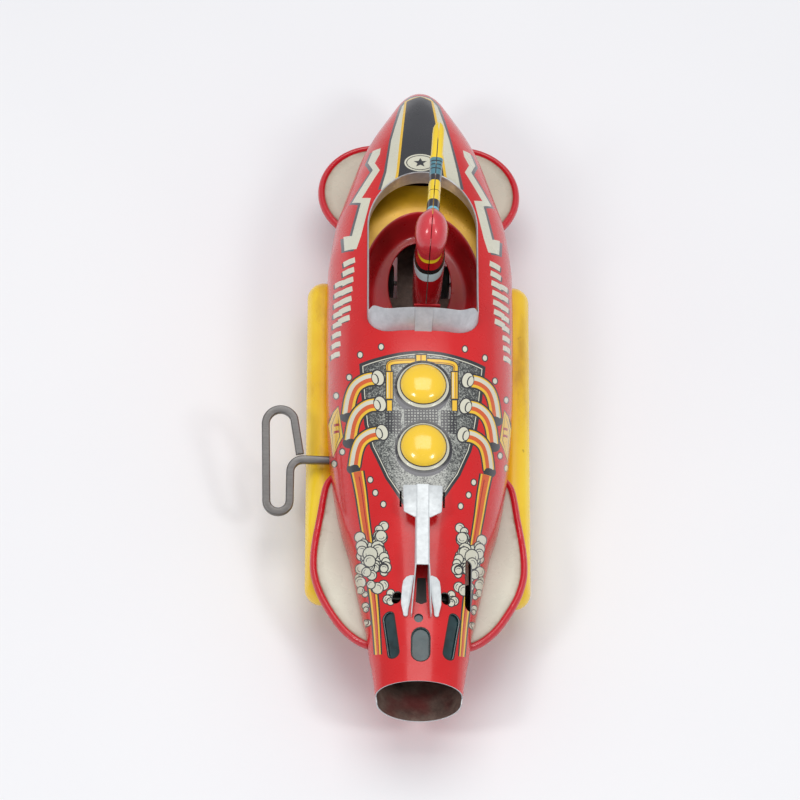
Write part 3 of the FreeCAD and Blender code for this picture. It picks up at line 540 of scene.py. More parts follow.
def mouth_inside():
    # scorched, dusty metal just inside the exhaust
    m = Mat("exhaust_inside")
    col = m.ramp(m.noise(120, 5, 0.7), [(0.3, lin((70, 52, 46))), (0.55, lin((122, 98, 88))), (0.8, lin((158, 138, 124)))])
    col = m.mix(m.ramp(m.noise(46, 3), [(0.5, g(0)), (0.66, g(0.7))]), col, lin((120, 40, 40)))
    m.base(col)
    m.rough(m.ramp(m.noise(200, 4), [(0.3, g(0.55)), (0.8, g(0.8))]))
    m.link(m.bump(m.noise(600, 5, 0.8), 0.5, 0.0003), m.b.inputs["Normal"])
    return m.m


M["mouth"] = mouth_inside()

# ------------------------------------------------------------------ printed art, outlines in mm seen from above (colour, mirrored, outline)
ART = [
    ('grey', 0, [(-9.04, 140.96), (-5.17, 146.24), (-0.11, 146.12), (4.64, 145.65), (8, 140.42), (12.42, 114.65), (15.79, 94.55), (17.4, 84.05), (-18.85, 83.25), (-16.33, 93.51), (-13.88, 114.22)]),
    ('cream', 0, [(-8.05, 139.38), (-4.81, 144.44), (-0.12, 145.64), (4.15, 144.21), (6.85, 139.11), (11.54, 114.23), (14.71, 94.11), (16.1, 83.57), (-17.61, 82.83), (-15.29, 93.15), (-13.05, 113.82)]),
    ('yellow', 0, [(-6.92, 143.13), (-0.13, 145.41), (5.2, 142.69), (7.86, 112.92), (9.77, 92.63), (10.97, 82.17), (-12.62, 81.64), (-11.13, 92.12), (-9.51, 112.61)]),
    ('black', 0, [(-6.12, 142.24), (-0.14, 145.19), (4.31, 142.06), (6.83, 112.66), (8.66, 92.4), (9.69, 81.93), (-11.37, 81.44), (-10.08, 91.95), (-8.51, 112.38)]),
    ('cream', 0, [(5.77, 97.78), (5.56, 96.47), (4.97, 95.19), (4.03, 94.04), (2.8, 93.1), (1.35, 92.43), (-0.23, 92.07), (-1.86, 92.02), (-3.43, 92.32), (-4.87, 92.93), (-6.08, 93.83), (-6.99, 94.95), (-7.56, 96.2), (-7.75, 97.51), (-7.54, 98.79), (-6.96, 99.96), (-6.03, 100.96), (-4.81, 101.76), (-3.37, 102.32), (-1.78, 102.63), (-0.15, 102.67), (1.43, 102.43), (2.88, 101.92), (4.09, 101.17), (5.01, 100.2), (5.59, 99.05)]),
    ('black', 0, [(5.01, 97.68), (4.82, 96.55), (4.3, 95.46), (3.46, 94.48), (2.37, 93.67), (1.09, 93.09), (-0.32, 92.78), (-1.76, 92.74), (-3.16, 92.99), (-4.43, 93.52), (-5.51, 94.28), (-6.32, 95.24), (-6.82, 96.31), (-6.99, 97.43), (-6.81, 98.53), (-6.29, 99.54), (-5.47, 100.41), (-4.38, 101.11), (-3.1, 101.6), (-1.7, 101.87), (-0.25, 101.91), (1.16, 101.7), (2.44, 101.26), (3.52, 100.6), (4.33, 99.76), (4.84, 98.77)]),
    ('cream', 0, [(4.58, 97.62), (4.41, 96.61), (3.92, 95.62), (3.15, 94.73), (2.14, 94.01), (0.94, 93.48), (-0.37, 93.2), (-1.71, 93.16), (-3.01, 93.39), (-4.19, 93.86), (-5.19, 94.55), (-5.95, 95.41), (-6.42, 96.38), (-6.57, 97.4), (-6.4, 98.39), (-5.92, 99.31), (-5.16, 100.1), (-4.15, 100.73), (-2.96, 101.18), (-1.65, 101.43), (-0.3, 101.46), (1, 101.27), (2.19, 100.87), (3.2, 100.28), (3.96, 99.51), (4.43, 98.61)]),
    ('black', 0, [(-0.99, 100.24), (-0.23, 98.35), (1.81, 98.3), (0.24, 96.89), (0.71, 94.94), (-1.02, 95.94), (-2.76, 94.86), (-2.27, 96.83), (-3.81, 98.17), (-1.78, 98.31)]),
    ('grey', 1, [(-18.68, 109.81), (-21.93, 111.05), (-24.05, 104.08), (-22.09, 96.54), (-30.72, 82.16), (-27.1, 78.3), (-30.76, 61.51), (-34.17, 64.74), (-33.76, 55.91), (-28.9, 52.96), (-27.09, 59.01), (-22.99, 78.83), (-26.68, 81.14), (-19.22, 94.66), (-21.23, 100.87), (-19.13, 105.73)]),
    ('cream', 1, [(-17.44, 110.49), (-20.71, 111.22), (-22.83, 104.17), (-20.85, 97.15), (-29.52, 82.07), (-25.87, 78.79), (-29.54, 61.82), (-32.97, 64.46), (-32.56, 55.88), (-27.68, 53.42), (-25.86, 59.58), (-21.76, 79.57), (-25.45, 81.64), (-17.97, 95.49), (-19.99, 101.48), (-17.89, 106.44)]),
    ('black', 1, [(-33.58, 49.94), (-28.97, 48.92), (-28.69, 45.96), (-33.3, 46.87)]),
    ('cream', 1, [(-33.03, 50.24), (-28.4, 49.43), (-28.12, 46.48), (-32.74, 47.18)]),
    ('black', 1, [(-33.92, 45.15), (-29.32, 43.99), (-29.03, 41.04), (-33.64, 42.09)]),
    ('cream', 1, [(-33.36, 45.42), (-28.75, 44.49), (-28.47, 41.55), (-33.08, 42.37)]),
    ('black', 1, [(-34.25, 40.41), (-29.66, 39.1), (-29.37, 36.17), (-33.97, 37.36)]),
    ('cream', 1, [(-33.7, 40.65), (-29.09, 39.58), (-28.81, 36.66), (-33.42, 37.62)]),
    ('black', 1, [(-34.58, 35.73), (-30, 34.26), (-29.71, 31.35), (-34.3, 32.7)]),
    ('cream', 1, [(-34.03, 35.94), (-29.43, 34.72), (-29.15, 31.82), (-33.75, 32.92)]),
    ('black', 1, [(-34.91, 31.12), (-30.34, 29.48), (-30.05, 26.59), (-34.63, 28.1)]),
    ('cream', 1, [(-34.36, 31.29), (-29.77, 29.92), (-29.49, 27.04), (-34.08, 28.29)]),
    ('black', 1, [(-35.24, 26.58), (-30.67, 24.75), (-30.39, 21.88), (-34.95, 23.56)]),
    ('cream', 1, [(-34.68, 26.71), (-30.11, 25.17), (-29.82, 22.31), (-34.4, 23.72)]),
    ('black', 1, [(-35.56, 22.1), (-31, 20.08), (-30.72, 17.23), (-35.27, 19.1)]),
    ('cream', 1, [(-35.01, 22.19), (-30.44, 20.48), (-30.16, 17.64), (-34.73, 19.21)]),
    ('black', 1, [(-36.92, 43.06), (-33.48, 40.37), (-33.27, 37.61), (-36.71, 40.11)]),
    ('cream', 1, [(-36.37, 42.93), (-32.93, 40.67), (-32.71, 37.91), (-36.16, 40.02)]),
    ('black', 1, [(-37.1, 38.01), (-33.67, 35.19), (-33.46, 32.44), (-36.89, 35.07)]),
    ('cream', 1, [(-36.56, 37.84), (-33.12, 35.46), (-32.9, 32.73), (-36.35, 34.95)]),
    ('black', 1, [(-37.28, 33.04), (-33.86, 30.06), (-33.65, 27.34), (-37.07, 30.12)]),
    ('cream', 1, [(-36.74, 32.82), (-33.31, 30.32), (-33.09, 27.61), (-36.53, 29.95)]),
    ('black', 1, [(-37.45, 28.16), (-34.05, 25), (-33.83, 22.3), (-37.24, 25.24)]),
    ('cream', 1, [(-36.92, 27.88), (-33.49, 25.23), (-33.28, 22.55), (-36.7, 25.03)]),
    ('black', 1, [(-37.63, 23.35), (-34.23, 19.99), (-34.01, 17.32), (-37.42, 20.44)]),
    ('cream', 1, [(-37.09, 23.01), (-33.68, 20.21), (-33.46, 17.55), (-36.88, 20.17)]),
    ('black', 1, [(-37.8, 18.63), (-34.41, 15.05), (-34.19, 12.39), (-37.59, 15.71)]),
    ('cream', 1, [(-37.27, 18.22), (-33.86, 15.24), (-33.64, 12.6), (-37.05, 15.38)]),
    ('black', 1, [(-37.96, 13.99), (-34.59, 10.16), (-34.37, 7.52), (-37.75, 11.06)]),
    ('cream', 1, [(-37.44, 13.49), (-34.04, 10.33), (-33.82, 7.71), (-37.22, 10.65)]),
    ('black', 1, [(-38.12, 9.44), (-34.77, 5.31), (-34.55, 2.68), (-37.92, 6.49)]),
    ('cream', 1, [(-37.6, 8.83), (-34.22, 5.47), (-34, 2.86), (-37.39, 5.99)]),
    ('black', 0, [(-26.33, -6.39), (-17.79, -5.83), (-9.57, -4.8), (-0.89, -3.99), (7.85, -4.44), (17.5, -5.59), (26.25, -6.34), (24.76, -22.97), (22.68, -37.78), (20.19, -48.66), (15.64, -60.68), (7.44, -74.79), (0.1, -82.21), (-8.18, -74.69), (-15.24, -62.9), (-21.49, -47.56), (-24.04, -36.25), (-25.4, -21.75)]),
    ('cream', 0, [(-25.05, -8), (-17.45, -7.31), (-9.37, -6.27), (-0.88, -5.46), (7.63, -5.91), (17.1, -7.09), (24.86, -7.97), (23.49, -23.35), (21.43, -37.96), (19, -48.59), (14.54, -60.28), (6.5, -74.02), (0.06, -80.5), (-7.27, -73.87), (-14.19, -62.43), (-20.35, -47.44), (-22.84, -36.45), (-24.18, -22.13)]),
    ('black', 0, [(-24.66, -8.46), (-17.34, -7.76), (-9.31, -6.7), (-0.88, -5.91), (7.57, -6.35), (16.98, -7.53), (24.45, -8.44), (23.11, -23.45), (21.06, -38.01), (18.64, -48.56), (14.21, -60.16), (6.21, -73.78), (0.05, -79.98), (-7, -73.62), (-13.87, -62.28), (-20.01, -47.4), (-22.48, -36.5), (-23.82, -22.24)]),
    ('panel', 0, [(-24.32, -8.88), (-17.25, -8.15), (-9.25, -7.09), (-0.88, -6.3), (7.51, -6.74), (16.87, -7.93), (24.08, -8.85), (22.77, -23.54), (20.73, -38.05), (18.32, -48.53), (13.92, -60.04), (5.96, -73.58), (0.04, -79.52), (-6.75, -73.4), (-13.59, -62.14), (-19.7, -47.36), (-22.16, -36.54), (-23.49, -22.33)]),
    ('grey', 0, [(11.45, -22.12), (11.2, -24.69), (10.44, -27.2), (9.21, -29.53), (7.56, -31.56), (5.57, -33.2), (3.32, -34.35), (0.91, -34.96), (-1.55, -35.03), (-3.96, -34.54), (-6.21, -33.5), (-8.2, -31.96), (-9.86, -30), (-11.1, -27.73), (-11.87, -25.26), (-12.14, -22.71), (-11.9, -20.2), (-11.16, -17.83), (-9.95, -15.71), (-8.32, -13.9), (-6.33, -12.47), (-4.09, -11.45), (-1.68, -10.9), (0.79, -10.83), (3.21, -11.26), (5.48, -12.17), (7.49, -13.5), (9.16, -15.23), (10.4, -17.29), (11.18, -19.62)]),
    ('grey', 0, [(12.22, -50.44), (11.98, -52.88), (11.23, -55.28), (10.01, -57.53), (8.37, -59.51), (6.38, -61.11), (4.14, -62.24), (1.75, -62.85), (-0.71, -62.92), (-3.11, -62.46), (-5.35, -61.48), (-7.34, -60.01), (-9, -58.15), (-10.24, -55.98), (-11.01, -53.63), (-11.29, -51.21), (-11.06, -48.83), (-10.32, -46.59), (-9.12, -44.58), (-7.5, -42.86), (-5.53, -41.49), (-3.29, -40.52), (-0.89, -39.98), (1.57, -39.91), (3.98, -40.3), (6.24, -41.13), (8.25, -42.37), (9.92, -43.97), (11.17, -45.9), (11.95, -48.08)]),
    ('black', 0, [(-0.89, -7.6), (-2.13, -7.65), (-3.94, -7.67), (-6, -7.68), (-8, -7.66), (-9.65, -7.68), (-10.92, -7.7), (-12.06, -7.73), (-13.11, -7.82), (-14.1, -8.1), (-15.06, -8.8), (-15.6, -10.08), (-15.66, -11.45), (-15.53, -12.68), (-15.37, -13.66), (-15.3, -14.28), (-12.78, -14.25), (-12.86, -13.55), (-13.01, -12.62), (-13.11, -11.71), (-13.11, -11.11), (-13.08, -11.01), (-12.95, -10.95), (-12.47, -10.82), (-11.69, -10.75), (-10.66, -10.73), (-9.45, -10.7), (-7.88, -10.68), (-5.93, -10.69), (-3.9, -10.69), (-2.1, -10.66), (-0.84, -10.61)]),
    ('yellow', 0, [(-0.88, -8.09), (-2.13, -8.13), (-3.93, -8.16), (-5.99, -8.16), (-7.98, -8.15), (-9.62, -8.17), (-10.88, -8.19), (-12, -8.22), (-13.01, -8.31), (-13.92, -8.56), (-14.74, -9.16), (-15.2, -10.26), (-15.25, -11.5), (-15.12, -12.68), (-14.97, -13.65), (-14.9, -14.28), (-13.19, -14.26), (-13.27, -13.58), (-13.42, -12.63), (-13.52, -11.68), (-13.51, -10.95), (-13.4, -10.65), (-13.13, -10.49), (-12.57, -10.34), (-11.75, -10.27), (-10.7, -10.24), (-9.48, -10.21), (-7.9, -10.2), (-5.94, -10.2), (-3.9, -10.2), (-2.1, -10.17), (-0.85, -10.13)]),
    ('ochre', 0, [(-0.88, -8.36), (-2.13, -8.4), (-3.93, -8.43), (-5.98, -8.43), (-7.97, -8.42), (-9.6, -8.43), (-10.86, -8.46), (-11.97, -8.49), (-12.95, -8.58), (-13.81, -8.82), (-14.56, -9.36), (-14.98, -10.35), (-15.02, -11.53), (-14.9, -12.68), (-14.75, -13.65), (-14.67, -14.28), (-14.23, -14.28), (-14.3, -13.63), (-14.45, -12.67), (-14.57, -11.58), (-14.54, -10.54), (-14.21, -9.75), (-13.61, -9.32), (-12.84, -9.11), (-11.9, -9.02), (-10.81, -9), (-9.56, -8.97), (-7.95, -8.95), (-5.97, -8.97), (-3.92, -8.96), (-2.12, -8.93), (-0.87, -8.89)]),
    ('black', 0, [(-0.9, -10.62), (0.41, -10.63), (2.3, -10.62), (4.44, -10.59), (6.5, -10.54), (8.15, -10.54), (9.42, -10.57), (10.5, -10.61), (11.34, -10.7), (11.91, -10.85), (12.15, -10.97), (12.2, -11.06), (12.22, -11.5), (12.17, -12.25), (12.07, -13.07), (12.02, -13.69), (14.61, -13.47), (14.65, -12.95), (14.75, -12.09), (14.82, -10.95), (14.67, -9.67), (14.03, -8.54), (13.07, -7.96), (12.07, -7.69), (10.97, -7.58), (9.77, -7.54), (8.41, -7.51), (6.66, -7.52), (4.54, -7.57), (2.37, -7.6), (0.48, -7.61), (-0.83, -7.6)]),
    ('yellow', 0, [(-0.89, -10.13), (0.42, -10.14), (2.31, -10.13), (4.46, -10.1), (6.52, -10.06), (8.19, -10.05), (9.48, -10.08), (10.58, -10.12), (11.46, -10.22), (12.1, -10.39), (12.45, -10.58), (12.59, -10.84), (12.64, -11.42), (12.58, -12.23), (12.48, -13.06), (12.43, -13.67), (14.19, -13.52), (14.23, -12.98), (14.34, -12.12), (14.4, -11.05), (14.27, -9.9), (13.73, -8.94), (12.88, -8.43), (11.95, -8.18), (10.9, -8.07), (9.71, -8.03), (8.37, -8), (6.63, -8.01), (4.52, -8.06), (2.36, -8.09), (0.47, -8.1), (-0.84, -8.09)]),
    ('ochre', 0, [(-0.88, -9.86), (0.43, -9.88), (2.32, -9.87), (4.46, -9.83), (6.54, -9.79), (8.22, -9.78), (9.51, -9.81), (10.62, -9.86), (11.52, -9.95), (12.2, -10.13), (12.62, -10.37), (12.81, -10.72), (12.87, -11.38), (12.81, -12.22), (12.71, -13.05), (12.66, -13.65), (13.12, -13.61), (13.17, -13.03), (13.27, -12.19), (13.33, -11.28), (13.25, -10.48), (12.96, -9.94), (12.41, -9.62), (11.65, -9.42), (10.7, -9.32), (9.57, -9.27), (8.26, -9.24), (6.57, -9.25), (4.48, -9.3), (2.33, -9.33), (0.44, -9.34), (-0.87, -9.33)]),
    ('black', 0, [(-3.37, -5.74), (1.61, -5.62), (1.64, -12.43), (-3.34, -12.54)]),
    ('yellow', 0, [(-2.87, -6.32), (1.11, -6.23), (1.14, -11.87), (-2.84, -11.96)]),
    ('ochre', 0, [(-1.29, -6.3), (-0.63, -6.28), (-0.61, -11.92), (-1.27, -11.93)]),
    ('black', 0, [(-15.69, -13.04), (-12.2, -13.55), (-12.11, -27.45), (-15.59, -26.96)]),
    ('yellow', 0, [(-15.19, -13.71), (-12.69, -14.07), (-12.61, -26.83), (-15.11, -26.47)]),
    ('ochre', 0, [(-13.59, -13.95), (-13.18, -14.01), (-13.1, -26.77), (-13.51, -26.71)]),
    ('cream', 0, [(-14.86, -14.05), (-14.45, -14.12), (-14.37, -26.21), (-14.78, -26.15)]),
    ('black', 0, [(-15.2, -27.02), (-12.5, -27.41), (-12.45, -33.01), (-15.16, -32.63)]),
    ('yellow', 0, [(-14.79, -27.37), (-12.91, -27.64), (-12.87, -32.5), (-14.75, -32.23)]),
    ('black', 0, [(11.34, -12.97), (14.78, -12.33), (14.81, -26.24), (11.38, -26.88)]),
    ('yellow', 0, [(11.84, -13.47), (14.27, -13.02), (14.31, -25.78), (11.88, -26.23)]),
    ('ochre', 0, [(13.35, -13.2), (13.77, -13.12), (13.8, -25.89), (13.39, -25.97)]),
    ('cream', 0, [(12.18, -13.71), (12.6, -13.63), (12.63, -25.73), (12.21, -25.8)]),
    ('black', 0, [(11.72, -26.83), (14.48, -26.31), (14.5, -31.92), (11.74, -32.43)]),
    ('yellow', 0, [(12.14, -27.04), (14.06, -26.68), (14.08, -31.54), (12.16, -31.9)]),
    ('black', 0, [(-15.55, -32.1), (-9.19, -32.85), (-9.11, -43.43), (-15.45, -42.68)]),
    ('panel', 0, [(-15.27, -32.44), (-14.56, -32.56), (-14.55, -33.3), (-15.26, -33.19)]),
    ('panel', 0, [(-15.26, -33.78), (-14.55, -33.89), (-14.54, -34.63), (-15.25, -34.52)]),
    ('panel', 0, [(-15.25, -35.1), (-14.54, -35.22), (-14.53, -35.96), (-15.24, -35.85)]),
    ('panel', 0, [(-15.23, -36.43), (-14.52, -36.54), (-14.52, -37.29), (-15.23, -37.17)]),
    ('panel', 0, [(-15.22, -37.75), (-14.51, -37.87), (-14.5, -38.61), (-15.21, -38.49)]),
    ('panel', 0, [(-15.21, -39.07), (-14.5, -39.19), (-14.49, -39.93), (-15.2, -39.81)]),
    ('panel', 0, [(-15.2, -40.39), (-14.49, -40.5), (-14.48, -41.24), (-15.19, -41.13)]),
    ('panel', 0, [(-15.18, -41.71), (-14.47, -41.82), (-14.47, -42.56), (-15.18, -42.44)]),
    ('panel', 0, [(-14, -32.64), (-13.29, -32.74), (-13.28, -33.48), (-13.99, -33.39)]),
    ('panel', 0, [(-13.99, -33.97), (-13.28, -34.07), (-13.27, -34.82), (-13.98, -34.72)]),
    ('panel', 0, [(-13.98, -35.3), (-13.27, -35.4), (-13.26, -36.14), (-13.97, -36.04)]),
    ('panel', 0, [(-13.97, -36.63), (-13.25, -36.73), (-13.25, -37.47), (-13.96, -37.37)]),
    ('panel', 0, [(-13.95, -37.95), (-13.24, -38.05), (-13.24, -38.79), (-13.95, -38.69)]),
    ('panel', 0, [(-13.94, -39.27), (-13.23, -39.37), (-13.22, -40.11), (-13.93, -40.01)]),
    ('panel', 0, [(-13.93, -40.59), (-13.22, -40.69), (-13.21, -41.42), (-13.92, -41.32)]),
    ('panel', 0, [(-13.92, -41.9), (-13.21, -42), (-13.2, -42.74), (-13.91, -42.64)]),
    ('panel', 0, [(-12.73, -32.81), (-12.02, -32.89), (-12.01, -33.64), (-12.72, -33.56)]),
    ('panel', 0, [(-12.72, -34.14), (-12.01, -34.22), (-12, -34.97), (-12.71, -34.89)]),
    ('panel', 0, [(-12.71, -35.47), (-12, -35.55), (-11.99, -36.3), (-12.7, -36.21)]),
    ('panel', 0, [(-12.7, -36.8), (-11.98, -36.88), (-11.98, -37.62), (-12.69, -37.54)]),
    ('panel', 0, [(-12.68, -38.12), (-11.97, -38.2), (-11.97, -38.94), (-12.68, -38.86)]),
    ('panel', 0, [(-12.67, -39.44), (-11.96, -39.52), (-11.95, -40.26), (-12.67, -40.18)]),
    ('panel', 0, [(-12.66, -40.76), (-11.95, -40.84), (-11.94, -41.58), (-12.65, -41.49)]),
    ('panel', 0, [(-12.65, -42.07), (-11.94, -42.16), (-11.93, -42.89), (-12.64, -42.81)]),
    ('panel', 0, [(-11.46, -32.95), (-10.75, -33.02), (-10.74, -33.77), (-11.45, -33.7)]),
    ('panel', 0, [(-11.45, -34.28), (-10.74, -34.35), (-10.73, -35.1), (-11.44, -35.03)]),
    ('panel', 0, [(-11.44, -35.61), (-10.72, -35.68), (-10.72, -36.42), (-11.43, -36.36)]),
    ('panel', 0, [(-11.42, -36.94), (-10.71, -37.01), (-10.71, -37.75), (-11.42, -37.68)]),
    ('panel', 0, [(-11.41, -38.26), (-10.7, -38.33), (-10.7, -39.07), (-11.41, -39)]),
    ('panel', 0, [(-11.4, -39.58), (-10.69, -39.65), (-10.68, -40.39), (-11.4, -40.32)]),
    ('panel', 0, [(-11.39, -40.9), (-10.68, -40.97), (-10.67, -41.71), (-11.38, -41.64)]),
    ('panel', 0, [(-11.38, -42.22), (-10.67, -42.28), (-10.66, -43.02), (-11.37, -42.95)]),
    ('panel', 0, [(-10.19, -33.07), (-9.47, -33.12), (-9.47, -33.87), (-10.18, -33.81)]),
    ('panel', 0, [(-10.18, -34.4), (-9.46, -34.46), (-9.46, -35.2), (-10.17, -35.15)]),
    ('panel', 0, [(-10.16, -35.73), (-9.45, -35.78), (-9.45, -36.53), (-10.16, -36.47)]),
    ('panel', 0, [(-10.15, -37.06), (-9.44, -37.11), (-9.43, -37.85), (-10.15, -37.8)]),
    ('panel', 0, [(-10.14, -38.38), (-9.43, -38.43), (-9.42, -39.17), (-10.14, -39.12)]),
    ('panel', 0, [(-10.13, -39.7), (-9.42, -39.75), (-9.41, -40.49), (-10.12, -40.44)]),
    ('panel', 0, [(-10.12, -41.02), (-9.41, -41.07), (-9.4, -41.81), (-10.11, -41.75)]),
    ('panel', 0, [(-10.11, -42.33), (-9.4, -42.39), (-9.39, -43.12), (-10.1, -43.07)]),
    ('black', 0, [(7.33, -32.54), (14, -31.56), (14.05, -42.13), (7.39, -43.12)]),
    ('panel', 0, [(7.62, -32.8), (8.37, -32.72), (8.37, -33.47), (7.63, -33.55)]),
    ('panel', 0, [(7.63, -34.14), (8.37, -34.06), (8.38, -34.8), (7.63, -34.88)]),
    ('panel', 0, [(7.64, -35.47), (8.38, -35.39), (8.39, -36.13), (7.64, -36.21)]),
    ('panel', 0, [(7.65, -36.79), (8.39, -36.71), (8.39, -37.45), (7.65, -37.53)]),
    ('panel', 0, [(7.65, -38.11), (8.4, -38.03), (8.4, -38.77), (7.66, -38.85)]),
    ('panel', 0, [(7.66, -39.43), (8.41, -39.35), (8.41, -40.09), (7.67, -40.17)]),
    ('panel', 0, [(7.67, -40.75), (8.41, -40.67), (8.42, -41.41), (7.67, -41.49)]),
    ('panel', 0, [(7.68, -42.07), (8.42, -41.99), (8.43, -42.72), (7.68, -42.8)]),
    ('panel', 0, [(8.95, -32.66), (9.7, -32.56), (9.7, -33.31), (8.96, -33.4)]),
    ('panel', 0, [(8.96, -33.99), (9.7, -33.89), (9.71, -34.64), (8.96, -34.73)]),
    ('panel', 0, [(8.97, -35.32), (9.71, -35.22), (9.72, -35.97), (8.97, -36.06)]),
    ('panel', 0, [(8.97, -36.64), (9.72, -36.55), (9.72, -37.29), (8.98, -37.38)]),
    ('panel', 0, [(8.98, -37.97), (9.73, -37.87), (9.73, -38.61), (8.99, -38.7)]),
    ('panel', 0, [(8.99, -39.29), (9.74, -39.19), (9.74, -39.93), (9, -40.02)]),
    ('panel', 0, [(9, -40.6), (9.74, -40.51), (9.75, -41.24), (9, -41.34)]),
    ('panel', 0, [(9.01, -41.92), (9.75, -41.82), (9.76, -42.56), (9.01, -42.65)]),
    ('panel', 0, [(10.28, -32.48), (11.03, -32.37), (11.03, -33.12), (10.29, -33.23)]),
    ('panel', 0, [(10.29, -33.82), (11.04, -33.71), (11.04, -34.45), (10.3, -34.56)]),
    ('panel', 0, [(10.3, -35.14), (11.04, -35.04), (11.05, -35.78), (10.3, -35.89)]),
    ('panel', 0, [(10.31, -36.47), (11.05, -36.36), (11.06, -37.1), (10.31, -37.21)]),
    ('panel', 0, [(10.31, -37.79), (11.06, -37.68), (11.06, -38.42), (10.32, -38.53)]),
    ('panel', 0, [(10.32, -39.11), (11.07, -39), (11.07, -39.74), (10.33, -39.85)]),
    ('panel', 0, [(10.33, -40.43), (11.08, -40.32), (11.08, -41.06), (10.33, -41.16)]),
    ('panel', 0, [(10.34, -41.74), (11.08, -41.63), (11.09, -42.37), (10.34, -42.48)]),
    ('panel', 0, [(11.62, -32.28), (12.37, -32.16), (12.37, -32.91), (11.62, -33.03)]),
    ('panel', 0, [(11.62, -33.62), (12.37, -33.49), (12.38, -34.24), (11.63, -34.36)]),
    ('panel', 0, [(11.63, -34.94), (12.38, -34.82), (12.38, -35.56), (11.64, -35.69)]),
    ('panel', 0, [(11.64, -36.27), (12.39, -36.14), (12.39, -36.89), (11.64, -37.01)]),
    ('panel', 0, [(11.65, -37.59), (12.39, -37.47), (12.4, -38.21), (11.65, -38.33)]),
    ('panel', 0, [(11.65, -38.91), (12.4, -38.79), (12.41, -39.52), (11.66, -39.65)]),
    ('panel', 0, [(11.66, -40.23), (12.41, -40.1), (12.41, -40.84), (11.67, -40.96)]),
    ('panel', 0, [(11.67, -41.54), (12.42, -41.42), (12.42, -42.15), (11.67, -42.28)]),
    ('panel', 0, [(12.95, -32.05), (13.7, -31.91), (13.71, -32.66), (12.96, -32.8)]),
    ('panel', 0, [(12.96, -33.39), (13.71, -33.25), (13.71, -33.99), (12.96, -34.13)]),
    ('panel', 0, [(12.97, -34.72), (13.72, -34.57), (13.72, -35.32), (12.97, -35.46)]),
    ('panel', 0, [(12.97, -36.04), (13.72, -35.9), (13.73, -36.64), (12.98, -36.78)]),
    ('panel', 0, [(12.98, -37.36), (13.73, -37.22), (13.73, -37.96), (12.99, -38.1)]),
    ('panel', 0, [(12.99, -38.68), (13.74, -38.54), (13.74, -39.28), (12.99, -39.42)]),
    ('panel', 0, [(13, -40), (13.75, -39.86), (13.75, -40.59), (13, -40.73)]),
    ('panel', 0, [(13, -41.31), (13.75, -41.17), (13.76, -41.9), (13.01, -42.05)]),
    ('black', 0, [(-7.76, -32), (6.08, -31.72), (6.13, -39.57), (-7.7, -39.85)]),
    ('panel', 0, [(-7.48, -32.31), (-6.78, -32.33), (-6.78, -33.07), (-7.48, -33.04)]),
    ('panel', 0, [(-7.47, -33.62), (-6.77, -33.65), (-6.77, -34.38), (-7.47, -34.36)]),
    ('panel', 0, [(-7.46, -34.93), (-6.76, -34.96), (-6.76, -35.7), (-7.46, -35.67)]),
    ('panel', 0, [(-7.45, -36.24), (-6.75, -36.27), (-6.75, -37), (-7.45, -36.97)]),
    ('panel', 0, [(-7.44, -37.55), (-6.74, -37.58), (-6.74, -38.31), (-7.44, -38.28)]),
    ('panel', 0, [(-7.43, -38.85), (-6.73, -38.88), (-6.73, -39.61), (-7.43, -39.58)]),
    ('panel', 0, [(-6.23, -32.35), (-5.53, -32.37), (-5.52, -33.11), (-6.23, -33.09)]),
    ('panel', 0, [(-6.22, -33.67), (-5.52, -33.69), (-5.51, -34.42), (-6.22, -34.4)]),
    ('panel', 0, [(-6.21, -34.98), (-5.51, -35), (-5.5, -35.73), (-6.21, -35.71)]),
    ('panel', 0, [(-6.2, -36.29), (-5.5, -36.31), (-5.49, -37.04), (-6.19, -37.02)]),
    ('panel', 0, [(-6.19, -37.59), (-5.49, -37.61), (-5.48, -38.34), (-6.18, -38.32)]),
    ('panel', 0, [(-6.18, -38.9), (-5.48, -38.91), (-5.47, -39.64), (-6.17, -39.63)]),
    ('panel', 0, [(-4.98, -32.38), (-4.27, -32.39), (-4.27, -33.12), (-4.97, -33.12)]),
    ('panel', 0, [(-4.97, -33.69), (-4.26, -33.7), (-4.26, -34.44), (-4.96, -34.43)]),
    ('panel', 0, [(-4.96, -35.01), (-4.25, -35.01), (-4.25, -35.75), (-4.95, -35.74)]),
    ('panel', 0, [(-4.95, -36.32), (-4.24, -36.32), (-4.24, -37.05), (-4.94, -37.05)]),
    ('panel', 0, [(-4.94, -37.62), (-4.23, -37.63), (-4.23, -38.36), (-4.93, -38.35)]),
    ('panel', 0, [(-4.93, -38.92), (-4.22, -38.93), (-4.22, -39.66), (-4.92, -39.65)]),
    ('panel', 0, [(-3.72, -32.39), (-3.02, -32.39), (-3.01, -33.12), (-3.71, -33.13)]),
    ('panel', 0, [(-3.71, -33.7), (-3.01, -33.7), (-3, -34.44), (-3.71, -34.44)]),
    ('panel', 0, [(-3.7, -35.02), (-3, -35.01), (-2.99, -35.75), (-3.7, -35.75)]),
    ('panel', 0, [(-3.69, -36.32), (-2.99, -36.32), (-2.98, -37.05), (-3.69, -37.06)]),
    ('panel', 0, [(-3.68, -37.63), (-2.98, -37.63), (-2.97, -38.36), (-3.68, -38.36)]),
    ('panel', 0, [(-3.67, -38.93), (-2.97, -38.93), (-2.96, -39.66), (-3.67, -39.66)]),
    ('panel', 0, [(-2.46, -32.38), (-1.76, -32.37), (-1.75, -33.11), (-2.46, -33.12)]),
    ('panel', 0, [(-2.45, -33.7), (-1.75, -33.69), (-1.74, -34.42), (-2.45, -34.43)]),
    ('panel', 0, [(-2.44, -35.01), (-1.74, -35), (-1.74, -35.73), (-2.44, -35.74)]),
    ('panel', 0, [(-2.43, -36.32), (-1.73, -36.31), (-1.73, -37.04), (-2.43, -37.05)]),
